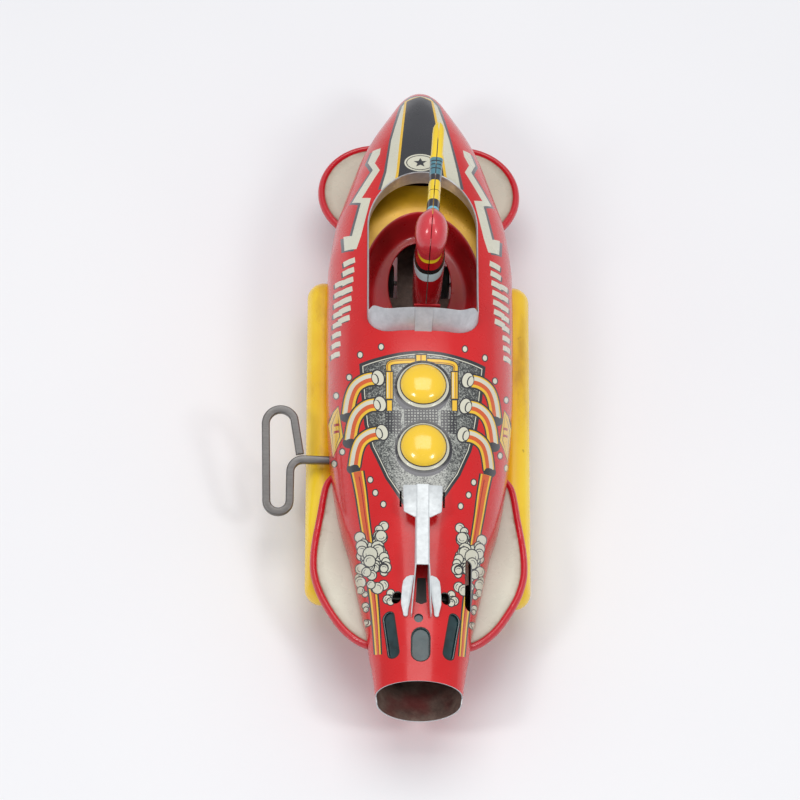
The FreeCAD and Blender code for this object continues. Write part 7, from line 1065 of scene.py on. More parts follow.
def to_flat(poly, step=1.6):
    out = []
    n = len(poly)
    for i in range(n):
        x0, y0 = poly[i]
        x1, y1 = poly[(i + 1) % n]
        l = math.hypot(x1 - x0, y1 - y0)
        k = max(1, int(l / step))
        for j in range(k):
            t = j / k
            x, y = x0 + (x1 - x0) * t, y0 + (y1 - y0) * t
            y = max(-149.9, min(152.3, y))
            out.append(((math.pi / 2 - angle_of(x, y)) * KS, y))
    res = []
    for p in out:
        if not res or math.hypot(p[0] - res[-1][0], p[1] - res[-1][1]) > 0.02:
            res.append(p)
    # the fill needs anticlockwise outlines
    area2 = sum(res[i - 1][0] * res[i][1] - res[i][0] * res[i - 1][1] for i in range(len(res)))
    return res if area2 > 0 else res[::-1]


def build_upper():
    polys = [("edge", [(-math.pi / 2 * KS, -150.0), (math.pi / 2 * KS, -150.0), (math.pi / 2 * KS, 152.5), (-math.pi / 2 * KS, 152.5)])]
    for col, mir, pts in ART:
        polys.append((col, to_flat(pts)))
        if mir:
            polys.append((col, to_flat([(-x, y) for x, y in pts][::-1])))
    # painted shadow ring round each tail window, in the shade print
    for x0, y0, x1, y1, r in ((-13.2, -121.5, -11.0, -137.0, 2.1), (13.9, -121.5, 11.5, -137.0, 2.1), (0, -131.2, 0, -137.9, 3.65)):
        polys.append(("shade", to_flat(slot_outline(x0, y0, x1, y1, r + 0.42))))
    # painted shade: dark patch between the tail fin's rear walls, standing in for the shadowed slot under the strip
    polys.append(("shade", to_flat([(-1.75, -106.4), (1.75, -106.4), (2.3, -116.6), (0.0, -117.6), (-2.3, -116.6)])))
    for cx, cy in DOMES:
        circ = lambda r, n: [(cx + r * math.cos(2 * math.pi * i / n), cy + r * math.sin(2 * math.pi * i / n)) for i in range(n)]
        polys.append(("black", to_flat(circ(11.9, 64))))
        polys.append(("cream", to_flat(circ(10.7, 64))))
        polys.append(("black", to_flat(circ(9.75, 64))))
        polys.append(("dome", to_flat(circ(9.35, 64))))
        for r, n in ((9.1, 64), (8.5, 56), (7.6, 48), (6.3, 40), (4.8, 30), (3.0, 20), (1.3, 10)):
            polys.append(("dome", to_flat(circ(r, n), 9)))
        for r in (10.35, 10.0):
            polys.append(("cream" if r > 9.8 else "black", None, circ(r, 60)))
    coords, faces, owner = [], [], []
    for item in polys:
        if item[1] is None:
            # shaping points only
            for x, y in item[2]:
                coords.append(((math.pi / 2 - angle_of(x, y)) * KS, y))
            continue
        pts = item[1]
        base = len(coords)
        coords += pts
        faces.append(list(range(base, base + len(pts))))
        owner.append(item[0])
    for op in OPENINGS:
        pts = to_flat(op)
        base = len(coords)
        coords += pts
        faces.append(list(range(base, base + len(pts))))
        owner.append("hole")
    ny, na = 112, 52
    for i in range(ny + 1):
        y = -150 + 302.5 * i / ny
        for j in range(na + 1):
            a = math.pi * j / na
            # keep the section points even along the skin near the seam
            coords.append(((math.pi / 2 - a) * KS, y))
    res = delaunay_2d_cdt([Vector(c) for c in coords], [], faces, 1, 0.004, True)
    vc, _, fc, _, _, forig = res
    uv = [(v[0], v[1]) for v in vc]
    order = []
    for c in ("red", "red2", "cream", "black", "grey", "yellow", "ochre", "orange", "blue", "palered", "dome", "panel", "shade"):
        order.append(c)
    index = {c: i for i, c in enumerate(order)}
    keep, km = [], []
    for f, o in zip(fc, forig):
        if not o:
            continue
        top = max(o)
        if any(owner[k] == "hole" for k in o):
            continue
        name = owner[top]
        if name == "edge":
            name = "red"
        keep.append(f)
        km.append(index[name])

    def skin(s, y, inset):
        a = math.pi / 2 - s / KS
        p = hull_pt(min(max(a, 0.0), math.pi), y, inset)
        if abs(p.x) < 14 and -64 < y < -6:
            p = Vector((p.x, p.y, p.z + emboss(p.x, y)))
        return p

    def normal(s, y):
        e, f = 0.35, 0.35
        s0, s1 = max(s - e, -math.pi / 2 * KS), min(s + e, math.pi / 2 * KS)
        y0, y1 = max(y - f, -150.0), min(y + f, 152.5)
        du = skin(s1, y, 0) - skin(s0, y, 0)
        dv = skin(s, y1, 0) - skin(s, y0, 0)
        n = du.cross(dv)
        if n.length < 1e-9:
            n = Vector((0, 1, 0))
        n.normalize()
        return n

    used = {}
    for f in keep:
        for i in f:
            used.setdefault(i, len(used))
    ids = sorted(used, key=lambda k: used[k])
    P = [skin(uv[i][0], uv[i][1], 0) for i in ids]
    N = [normal(uv[i][0], uv[i][1]) for i in ids]
    N = [n if n.dot(Vector((p.x, 0, p.z - 30))) > 0 else -n for n, p in zip(N, P)]
    Q = [p - n * GAUGE for p, n in zip(P, N)]
    nv = len(P)
    verts = P + Q
    norms = N + [-n for n in N]
    faces3, fm = [], []
    edge_count = {}
    for f, mt in zip(keep, km):
        t = [used[i] for i in f]
        a, b, c = (P[k] for k in t)
        nn = (b - a).cross(c - a)
        if nn.dot(N[t[0]]) < 0:
            t = t[::-1]
        faces3.append(tuple(t))
        fm.append(mt)
        faces3.append(tuple(k + nv for k in reversed(t)))
        fm.append(len(order))
        for q in range(3):
            e = (t[q], t[(q + 1) % 3])
            edge_count[e] = edge_count.get(e, 0) + 1
    # side walls on every open edge, with their own corners
    for (a, b), _c in list(edge_count.items()):
        if (b, a) in edge_count:
            continue
        base = len(verts)
        wn = (P[b] - P[a]).cross(N[a])
        wn = wn.normalized() if wn.length > 1e-9 else Vector((0, 0, -1))
        verts += [P[a], Q[a], Q[b], P[b]]
        norms += [wn] * 4
        faces3.append((base, base + 1, base + 2, base + 3))
        fm.append(len(order) + 1)
    # closed tip of the nose
    base = len(verts)
    tip = [hull_pt(math.pi * k / 16, 152.5) for k in range(17)]
    verts += tip
    norms += [Vector((0, 1, 0))] * 17
    faces3.append(tuple(range(base, base + 17)))
    fm.append(index["red"])
    mats = [M[c] for c in order] + [M["inside"], M["rim"]]
    ob = new_obj("upper_shell_printed", verts, faces3, mats, fm, normals=norms)
    print("upper shell faces", len(faces3))
    return ob


upper = build_upper()
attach(upper, "hull")
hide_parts("upper_shell")

# ------------------------------------------------------------------ lower shell
def build_lower():
    cuts_rect = [(-21.6, 21.6, -84.0, -52.8), (-14.8, -8.6, 64.0, 84.0), (8.6, 14.8, 64.0, 84.0)]
    ny, na = 150, 72
    polys, owner, coords = [], [], []

    def flat(poly):
        out = []
        n = len(poly)
        for i in range(n):
            (x0, y0), (x1, y1) = poly[i], poly[(i + 1) % n]
            k = max(1, int(math.hypot(x1 - x0, y1 - y0) / 1.6))
            for j in range(k):
                t = j / k
                x, y = x0 + (x1 - x0) * t, y0 + (y1 - y0) * t
                w, n2 = cv("W", y), cv("NL", y)
                a = math.acos(spow(max(-1, min(1, x / w)), n2 / 2.0))
                out.append(((math.pi / 2 - a) * KS, y))
        return out

    e = [(-math.pi / 2 * KS, -153.0), (math.pi / 2 * KS, -153.0), (math.pi / 2 * KS, 152.5), (-math.pi / 2 * KS, 152.5)]
    faces = []
    for o, pts in [("edge", e)] + [("hole", flat([(a, c), (b, c), (b, d), (a, d)])) for a, b, c, d in cuts_rect]:
        base = len(coords)
        coords += pts
        faces.append(list(range(base, base + len(pts))))
        owner.append(o)
    # round hole for the key, in the left wall
    w, n2 = cv("W", -33.0), cv("NL", -33.0)
    hole = []
    for i in range(24):
        t = 2 * math.pi * i / 24
        y, z = -33 + 2.6 * math.cos(t), 32 + 2.6 * math.sin(t)
        rise = SEAM - cv("B", y)
        sn = max(0.0, (SEAM - z) / rise) ** (cv("NL", y) / 2.0)
        hole.append((-(math.pi / 2 - math.asin(min(1, sn))) * KS, y))
    a2 = sum(hole[i - 1][0] * hole[i][1] - hole[i][0] * hole[i - 1][1] for i in range(24))
    if a2 < 0:
        hole = hole[::-1]
    base = len(coords)
    coords += hole
    faces.append(list(range(base, base + 24)))
    owner.append("hole")
    for i in range(ny + 1):
        y = -153 + 305.5 * i / ny
        for j in range(na + 1):
            # even steps of section angle
            q = -1 + 2.0 * j / na
            coords.append((q * math.pi / 2 * KS, y))
    vc, _, fc, _, _, fo, = delaunay_2d_cdt([Vector(c) for c in coords], [], faces, 1, 0.004, True)
    keep = [f for f, o in zip(fc, fo) if o and not any(owner[k] == "hole" for k in o)]

    def skin(s, y):
        return hull_pt(min(max(math.pi / 2 - s / KS, 0.0), math.pi), y, 0.0, False)

    uv = [(v[0], v[1]) for v in vc]
    used = {}
    for f in keep:
        for i in f:
            used.setdefault(i, len(used))
    ids = sorted(used, key=lambda k: used[k])
    P = [skin(*uv[i]) for i in ids]
    N = []
    for i in ids:
        s, y = uv[i]
        s0, s1 = max(s - 0.4, -math.pi / 2 * KS), min(s + 0.4, math.pi / 2 * KS)
        y0, y1 = max(y - 0.4, -153.0), min(y + 0.4, 152.5)
        n = (skin(s1, y) - skin(s0, y)).cross(skin(s, y1) - skin(s, y0))
        p = skin(s, y)
        if n.length < 1e-9:
            n = Vector((p.x, 0, p.z - SEAM))
        n.normalize()
        N.append(n if n.dot(Vector((p.x, 0, p.z - 38))) > 0 else -n)
    Q = [p - n * GAUGE for p, n in zip(P, N)]
    # keep the wall closed over the seam plane
    Q = [Vector((q.x, q.y, min(q.z, SEAM))) for q in Q]
    nv = len(P)
    verts, norms = P + Q, N + [-n for n in N]
    out, fm, ec = [], [], {}
    for f in keep:
        t = [used[i] for i in f]
        a, b, c = (P[k] for k in t)
        if (b - a).cross(c - a).dot(N[t[0]]) < 0:
            t = t[::-1]
        out.append(tuple(t))
        fm.append(0)
        out.append(tuple(k + nv for k in reversed(t)))
        deep = sum(P[k].y for k in t) / 3 < -118
        fm.append(3)
        for q in range(3):
            ec[(t[q], t[(q + 1) % 3])] = 1
    for (a, b) in list(ec):
        if (b, a) in ec:
            continue
        base = len(verts)
        wn = (P[b] - P[a]).cross(N[a])
        wn = wn.normalized() if wn.length > 1e-9 else Vector((0, 0, 1))
        verts += [P[a], Q[a], Q[b], P[b]]
        norms += [wn] * 4
        out.append((base, base + 1, base + 2, base + 3))
        fm.append(2)
    # closed tip of the nose
    base = len(verts)
    verts += [hull_pt(math.pi - math.pi * k / 16, 152.5, 0.0, False) for k in range(17)]
    norms += [Vector((0, 1, 0))] * 17
    out.append(tuple(range(base, base + 17)))
    fm.append(0)
    # flat pad under the belly
    base = len(verts)
    x, y0, y1, z0, z1 = 11.0, 4.0, 30.0, 9.5, 10.4
    corners = [(-x, y0), (x, y0), (x, y1), (-x, y1)]
    quads = [((0, 3, 2, 1), z0, (0, 0, -1))]
    for (px, py) in [corners[0], corners[3], corners[2], corners[1]]:
        verts.append(Vector((px, py, z0)))
        norms.append(Vector((0, 0, -1)))
    out.append((base, base + 1, base + 2, base + 3))
    fm.append(0)
    for i in range(4):
        (ax, ay), (bx, by) = corners[i], corners[(i + 1) % 4]
        base = len(verts)
        nn = Vector((by - ay, -(bx - ax), 0)).normalized()
        verts += [Vector((ax, ay, z0)), Vector((bx, by, z0)), Vector((bx, by, z1 + 1)), Vector((ax, ay, z1 + 1))]
        norms += [nn] * 4
        out.append((base, base + 1, base + 2, base + 3))
        fm.append(0)
    return new_obj("lower_shell_pressed", verts, out, [M["red"], M["inside"], M["rim"], M["mouth"]], fm, normals=norms)


low = build_lower()
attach(low, "hull")
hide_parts("lower_shell")


# ------------------------------------------------------------------ cockpit tub: flange, rounded well, oval hole
def superoval(hw, y0, y1, z, n=96, p=2.6):
    c, l = (y0 + y1) / 2, (y1 - y0) / 2
    return [(hw * spow(math.cos(2 * math.pi * i / n), 2 / p), c + l * spow(math.sin(2 * math.pi * i / n), 2 / p), z) for i in range(n)]


def oval(hw, hl, yc, z, n=96):
    return [(hw * math.cos(2 * math.pi * i / n), yc + hl * math.sin(2 * math.pi * i / n), z) for i in range(n)]


def build_tub():
    n = 96
    # flange ring follows the inside of the hull
    outer = []
    for i in range(n):
        t = 2 * math.pi * i / n
        y = 49.5 + 46.0 * spow(math.sin(t), 2 / 3.4)
        w = (cv("W", y) - 1.0) * (max(0.0, 1 - ((49.9 - SEAM) / (cv("D", y) - SEAM - 0.9)) ** cv("NT", y))) ** (1 / cv("NT", y))
        x = min(w, 36.0) * spow(math.cos(t), 2 / 3.4)
        outer.append((x, y))
    ring = lambda z, d=0.0: [(x, y, z) for x, y in outer]
    rings = [ring(49.4), ring(49.9)]
    prof = [(25.0, 9.8, 82.2, 49.9), (24.5, 10.2, 81.8, 49.75), (24.0, 10.7, 81.4, 49.1), (23.2, 11.4, 80.9, 46.0), (22.4, 12.0, 80.5, 41.2), (21.6, 12.7, 80.0, 38.4),
            (20.8, 13.3, 79.5, 37.0), (19.8, 14.0, 79.0, 36.1), (18.4, 15.2, 78.2, 35.72)]
    for hw, a, b, z in prof:
        rings.append(superoval(hw, a, b, z, n, 1.9))
    rings.append(oval(13.9, 22.6, 54, 35.72, n))
    rings.append(oval(13.45, 22.15, 54, 35.6, n))
    rings.append(oval(13.3, 22.0, 54, 35.4, n))
    rings.append(oval(13.3, 22.0, 54, 35.2, n))
    for hw, a, b, z in [(18.8, 14.9, 78.4, 35.2), (20.2, 13.7, 79.3, 35.6), (21.2, 12.9, 79.9, 36.8), (22.0, 12.3, 80.4, 38.2), (22.9, 11.5, 81.0, 41.2),
                        (23.8, 10.8, 81.5, 46.0), (24.9, 9.8, 82.2, 49.0), (25.5, 9.3, 82.7, 49.4)]:
        rings.append(superoval(hw, a, b, z, n, 1.9))
    rings.append(rings[0])
    v, f = loft(rings[:-1], True, False, False)
    # close the loop back to the first ring
    k = len(rings) - 2
    for j in range(n):
        f.append((k * n + j, k * n + (j + 1) % n, (j + 1) % n, j))
    ob = new_obj("cockpit_tub_drawn", v, f, [M["tub"], M["gold"]], [1 if i < 2 * n else 0 for i in range(len(f))])
    finish_mesh(ob, angle=50)
    return ob


tub = build_tub()
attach(tub, "hull")
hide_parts("cockpit_tub")


# ------------------------------------------------------------------ cockpit rim strip
def build_rim():
    out = cockpit_outline(-0.15, 40)
    # resample the closed outline evenly, starting at the rear middle
    pts = []
    total, acc = 0.0, [0.0]
    n = len(out)
    for i in range(n):
        (x0, y0), (x1, y1) = out[i], out[(i + 1) % n]
        total += math.hypot(x1 - x0, y1 - y0)
        acc.append(total)
    K = 300
    for k in range(K):
        d = total * k / K
        i = max(j for j in range(n) if acc[j] <= d + 1e-9)
        (x0, y0), (x1, y1) = out[i], out[(i + 1) % n]
        l = math.hypot(x1 - x0, y1 - y0) or 1e-9
        t = (d - acc[i]) / l
        pts.append((x0 + (x1 - x0) * t, y0 + (y1 - y0) * t))
    inner = inset_loop(pts, 0.55)
    mid = inset_loop(pts, 0.28)
    curl = inset_loop(pts, -0.0)

    def base(x, y):
        return surf_z(max(-C_HW, min(C_HW, x)), y)

    def top(y):
        if y > 30:
            return 1.5
        t = min(1.0, (30 - y) / 19.0)
        return 1.5 + 7.0 * t ** 2.1

    def lean(y, up):
        # the tall rear part tips towards the nose
        t = max(0.0, min(1.0, (16.5 - y) / 8.5))
        return 0.62 * up * t * t * (3 - 2 * t)

    C_HW = 23.15
    rings = []
    for lo in (None,):
        pass
    # strip drops inside the shell at the front, stands tall at the back
    low_o, low_i, hi_o, hi_i, hm = [], [], [], [], []
    for (x, y), (a, b), (c, d) in zip(pts, inner, mid):
        z = base(x, y)
        drop = 3.2 if y < 70 else 3.2 + (y - 70) * 0.16
        t = top(y)
        low_o.append((x, y, z - drop))
        low_i.append((a, b, z - drop))
        hi_o.append((x, y + lean(y, t), z + t - 0.25))
        hm.append((c, d + lean(y, t), z + t))
        hi_i.append((a, b + lean(y, t), z + t - 0.25))
    mid_o = [((p[0]), p[1], base(p[0], p[1]) + 0.1) for p in low_o]
    mid_i = [((p[0]), p[1], base(q[0], q[1]) + 0.1) for p, q in zip(low_i, low_o)]
    order = [low_o, mid_o, hi_o, hm, hi_i, mid_i, low_i]
    v, f = loft(order, True, False, False)
    for j in range(K):
        f.append((6 * K + j, 6 * K + (j + 1) % K, (j + 1) % K, j))
    parts = [(v, f, 0)]
    # overlap joint of the strip behind the figure, a second thickness with its own edge
    ys = 6.15
    z = base(0, ys)
    tt = top(ys)
    n0 = Vector((0, lean(ys, tt), tt)).normalized()
    back = Vector((0, -n0.z, n0.y))
    o0 = Vector((0, ys, z + 0.1))
    vv = []
    for off in (0.02, 0.5):
        for x, q in ((-3.6, -0.6), (3.4, -0.6), (3.4, Vector((0, lean(ys, tt), tt)).length + 0.12), (-3.6, Vector((0, lean(ys, tt), tt)).length + 0.12)):
            vv.append(o0 + n0 * q + back * off + Vector((x + (0.4 if q > 1 and x > 0 else 0), 0, 0)))
    parts.append((vv, [(0, 1, 2, 3), (5, 4, 7, 6), (4, 0, 3, 7), (1, 5, 6, 2), (3, 2, 6, 7), (4, 5, 1, 0)], 0))
    v, f, fm = merge_parts(parts)
    ob = new_obj("cockpit_rim_strip", v, f, [M["rim"]], fm)
    finish_mesh(ob, angle=40)
    return ob


rim = build_rim()
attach(rim, "hull")
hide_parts("cockpit_rim")

# ------------------------------------------------------------------ pods: capsule, crimped flange with tabs
POD_X, POD_Z, POD_R, POD_Y0, POD_Y1 = 39.9, 20.3, 7.0, -96.0, 63.0


def build_pod(sx):
    seg = 48
    prof = [(POD_Y0, 0.02)]
    for i in range(1, 11):
        t = math.pi / 2 * i / 10
        prof.append((POD_Y0 + POD_R * (1 - math.cos(t)), POD_R * math.sin(t)))
    for i in range(1, 24):
        prof.append((POD_Y0 + POD_R + (POD_Y1 - POD_Y0 - 2 * POD_R) * i / 24, POD_R))
    for i in range(0, 10):
        t = math.pi / 2 * i / 10
        prof.append((POD_Y1 - POD_R * (1 - math.sin(math.pi / 2 - t)) if False else POD_Y1 - POD_R + POD_R * math.sin(t), POD_R * math.cos(t)))
    prof.append((POD_Y1, 0.02))
    rings = []
    for y, r in prof:
        ring = []
        for k in range(seg):
            t = 2 * math.pi * k / seg
            ring.append((sx * POD_X + r * math.cos(t), y, POD_Z + r * math.sin(t)))
        rings.append(ring)
    v, f = loft(rings)
    parts = [(v, f, 0)]
    # raised strip along the inner top edge, reaching in to the hull wall, with cut tabs
    zt = POD_Z + POD_R - 0.62
    x_in = lambda y: (cv("W", y) * (max(0.0, 1 - ((SEAM - zt) / (SEAM - cv("B", y))) ** cv("NL", y))) ** (1 / cv("NL", y)))
    ys = [58 - i * 1.35 for i in range(46)]
    lo, hi = [], []
    a, b = [], []
    for y in ys:
        gap = x_in(y)
        a.append((sx * (gap + 0.05), y))
        b.append((sx * (POD_X - 1.2), y))
    def tile(y0, y1, x0f, x1f, z0, z1):
        xa0, xa1 = x0f(y0), x0f(y1)
        xb0, xb1 = x1f(y0), x1f(y1)
        vv = [(sx * xa0, y0, z0), (sx * xb0, y0, z0), (sx * xb1, y1, z0), (sx * xa1, y1, z0),
              (sx * xa0, y0, z1), (sx * xb0, y0, z1), (sx * xb1, y1, z1), (sx * xa1, y1, z1)]
        ff = [(0, 3, 2, 1), (4, 5, 6, 7), (0, 1, 5, 4), (1, 2, 6, 5), (2, 3, 7, 6), (3, 0, 4, 7)]
        return vv, ff, 0
    for i in range(22):
        y1, y0 = 57.5 - i * 2.75, 57.5 - (i + 1) * 2.75
        parts.append(tile(y0 + 0.002, y1 - 0.002, lambda y: x_in(y) + 0.06, lambda y: POD_X - 2.2, zt - 0.5, zt))
    for y0, y1 in ((50, 56), (32, 38), (14, 20), (0.5, 4.5)):
        parts.append(tile(y0, y1, lambda y: x_in(y) + 0.15, lambda y: POD_X - 1.6, zt + 0.02, zt + 0.42))
    v, f, fm = merge_parts(parts)
    ob = new_obj("pod_%s_formed" % ("left" if sx < 0 else "right"), v, f, [M["pod"]], fm)
    finish_mesh(ob, angle=38)
    return ob


for nm, sx in (("pod_left", -1), ("pod_right", 1)):
    pod = build_pod(sx)
    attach(pod, "hull")
    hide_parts(nm)


# ------------------------------------------------------------------ fins: field with a rolled bead along the free edge
def fin_material(name, field, rim_rgb):
    """Cream field inside a red bead; the distance from the edge is stored on the mesh."""
    m = Mat(name)
    c = lin(field)
    col = m.ramp(m.noise(42, 4), [(0.3, tuple(v * 0.92 for v in c[:3])), (0.7, tuple(min(1, v * 1.05) for v in c[:3]))])
    at = m.n("ShaderNodeAttribute", attribute_name="inland")
    wob = m.n("ShaderNodeMath", operation="MULTIPLY_ADD")
    m.link(m.noise(160, 3), wob.inputs[0])
    wob.inputs[1].default_value = 0.03
    m.link(at.outputs["Fac"], wob.inputs[2])
    # brownish band on the field along the foot of the bead, broken up by noise: painted shade in the crease
    mask = m.mix(1.0, m.ramp(wob.outputs[0], [(0.32, g(1.0)), (0.40, g(0.5)), (0.62, g(0.0))]),
                 m.ramp(m.noise(90, 5, 0.65), [(0.3, g(0.2)), (0.7, g(0.85))]), "MULTIPLY")
    col = m.mix(mask, col, lin((134, 110, 84)))
    fine = m.noise(700, 5, 0.7)
    col = m.mix(m.ramp(fine, [(0.66, g(0)), (0.74, g(0.3))]), col, lin((140, 120, 96)))
    r = lin(rim_rgb)
    red = m.ramp(m.noise(38, 3), [(0.3, tuple(v * 0.94 for v in r[:3])), (0.7, r)])
    red = m.mix(m.ramp(m.noise(320, 5, 0.75), [(0.66, g(0)), (0.73, g(0.55))]), red, lin((150, 120, 112)))
    col = m.mix(m.ramp(wob.outputs[0], [(0.296, g(0)), (0.304, g(1))]), red, col)
    m.base(col)
    m.rough(m.ramp(m.noise(130, 4), [(0.3, g(0.22)), (0.75, g(0.38))]))
    m.setb(Coat_Weight=0.45, Coat_Roughness=0.10)
    m.link(m.bump(m.noise(70, 3), 0.12, 0.0006), m.b.inputs["Normal"])
    return m.m


M["fin_field"] = fin_material("fin_cream", (206, 203, 184), (204, 30, 44))
M["fin_lower"] = fin_material("fin_under", (190, 30, 40), (200, 30, 42))
REAR = [(39.3, -43), (40.6, -48), (42.2, -60), (44.8, -74.5), (45.2, -84), (44.6, -90.5), (42.3, -98.5), (38.2, -107.2), (33.2, -115.7), (27, -121.5), (21, -124.6), (12, -124.6), (12, -60), (30, -42)]


BEAD = [(0.0, 0.0), (0.12, 0.9), (0.45, 1.55), (0.95, 2.05), (1.5, 2.2), (2.05, 2.05), (2.55, 1.6), (2.85, 1.2), (3.05, 1.03), (3.5, 1.0)]


def bead_height(d):
    for (d0, h0), (d1, h1) in zip(BEAD, BEAD[1:]):
        if d <= d1:
            return h0 + (h1 - h0) * (d - d0) / (d1 - d0)
    return 1.0


def edge_distance(p, poly):
    # distance to an open line
    best = 1e9
    for i in range(1, len(poly)):
        ax, ay = poly[i - 1]
        bx, by = poly[i]
        ex, ey = bx - ax, by - ay
        t = max(0.0, min(1.0, ((p[0] - ax) * ex + (p[1] - ay) * ey) / ((ex * ex + ey * ey) or 1e-9)))
        d = math.hypot(p[0] - ax - ex * t, p[1] - ay - ey * t)
        best = min(best, d)
    return best


def build_fin(name, outline, zf, up, nfree):
    """Pressed leaf: height follows the distance from its free edge, so the bead runs along that edge."""
    free = outline[:nfree]
    a2 = sum(outline[i - 1][0] * outline[i][1] - outline[i][0] * outline[i - 1][1] for i in range(len(outline)))
    if a2 < 0:
        outline = outline[::-1]
    s = 1 if up else -1
    k = 1.0 if up else 0.727
    pts = list(outline)
    m = len(pts)
    for d in (0.12, 0.3, 0.6, 0.95, 1.25, 1.5, 1.8, 2.05, 2.3, 2.55, 2.7, 2.85, 3.05, 3.5):
        for p in inset_loop(outline, d):
            if abs(edge_distance(p, free) - d) < 0.03 * d + 0.01:
                pts.append(p)
    xs, ys = [p[0] for p in outline], [p[1] for p in outline]
    y = min(ys)
    while y < max(ys):
        x = min(xs)
        while x < max(xs):
            pts.append((x, y))
            x += 2.6
        y += 2.6
    extra = pts[m:]
    vc, _, fc, _, _, fo = delaunay_2d_cdt([Vector(p) for p in pts], [], [list(range(m))], 1, 0.004, True)
    keep = [f for f, o in zip(fc, fo) if o]
    P = [(v[0], v[1]) for v in vc]
    D = [edge_distance(p, free) for p in P]
    H = [bead_height(d) * k for d in D]
    n = len(P)
    verts = [(p[0], p[1], zf + s * h) for p, h in zip(P, H)] + [(p[0], p[1], zf + s * max(h - 0.5, 0.0)) for p, h in zip(P, H)]
    faces = [tuple(f) if up else tuple(reversed(f)) for f in keep] + [tuple(i + n for i in (reversed(f) if up else f)) for f in keep]
    ob = new_obj(name + "_pressed", verts, faces, [M["fin_lower"] if not up else M["fin_field"]])
    at = ob.data.attributes.new("inland", "FLOAT", "POINT")
    at.data.foreach_set("value", [d / 10.0 for d in D] * 2)
    bm = bmesh.new()
    bm.from_mesh(ob.data)
    loose = [v for v in bm.verts if not v.link_faces]
    bmesh.ops.delete(bm, geom=loose, context="VERTS")
    bm.to_mesh(ob.data)
    bm.free()
    ob.data.polygons.foreach_set("use_smooth", [True] * len(ob.data.polygons))
    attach(ob, "hull")
    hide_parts(name)
    return ob


def wall_x(y, z):
    """Half-width of the hull skin at height z."""
    if z >= SEAM:
        r, nn = (z - SEAM) / max(cv("D", y) - SEAM, 0.5), cv("NT", y)
    else:
        r, nn = (SEAM - z) / max(SEAM - cv("B", y), 0.5), cv("NL", y)
    return cv("W", y) * max(0.0, 1 - min(r, 1.0) ** nn) ** (1.0 / nn)


def closed_by_wall(free, zr, step):
    """Free edge from the front to the back, then back along the hull wall, just inside the skin."""
    free = [p for p in free if p[0] > wall_x(p[1], zr) - 0.35]
    y0, y1 = free[0][1], free[-1][1]
    n = max(2, int(abs(y0 - y1) / step))
    root = []
    for i in range(1, n):
        y = y1 + (y0 - y1) * i / n
        root.append((wall_x(y, zr) - 0.4, y))
    return free, root


def rear_outline(zr):
    free = catmull([(37.0, -40.0), (39.6, -44.0), (41.0, -50), (42.4, -60), (44.6, -74.5), (45.1, -84), (44.5, -90.5), (42.3, -98.5), (38.2, -107.2), (33.2, -115.2),
                    (28.0, -120.6), (23.4, -123.6), (20.0, -124.6), (15.0, -124.8)], 7)
    return closed_by_wall(free, zr, 2.2)


def front_outline(zr):
    cx, cy, r = 18.0, 108.0, 25.0
    free = [(cx + r * math.cos(math.radians(140 - 280 * i / 110)), cy + r * math.sin(math.radians(140 - 280 * i / 110))) for i in range(111)]
    return closed_by_wall(free, zr, 2.2)


def even(poly, n):
    tot, acc = 0, [0]
    m = len(poly)
    for i in range(m):
        tot += math.dist(poly[i], poly[(i + 1) % m])
        acc.append(tot)
    out, i = [], 0
    for k in range(n):
        d = tot * k / n
        while acc[i + 1] < d:
            i += 1
        t = (d - acc[i]) / ((acc[i + 1] - acc[i]) or 1e-9)
        a, b = poly[i], poly[(i + 1) % m]
        out.append((a[0] + (b[0] - a[0]) * t, a[1] + (b[1] - a[1]) * t))
    return out


for side, sx in (("left", -1), ("right", 1)):
    for lvl, up in (("upper", True), ("lower", False)):
        free, root = rear_outline(31.0 + (1.0 if up else -0.8))
        build_fin("rear_fin_%s_%s" % (side, lvl), [(sx * x, y) for x, y in free + root], 31.0, up, len(free))
        free, root = front_outline(25.0 + (1.0 if up else -0.8))
        build_fin("front_fin_%s_%s" % (side, lvl), [(sx * x, y) for x, y in free + root], 25.0, up, len(free))
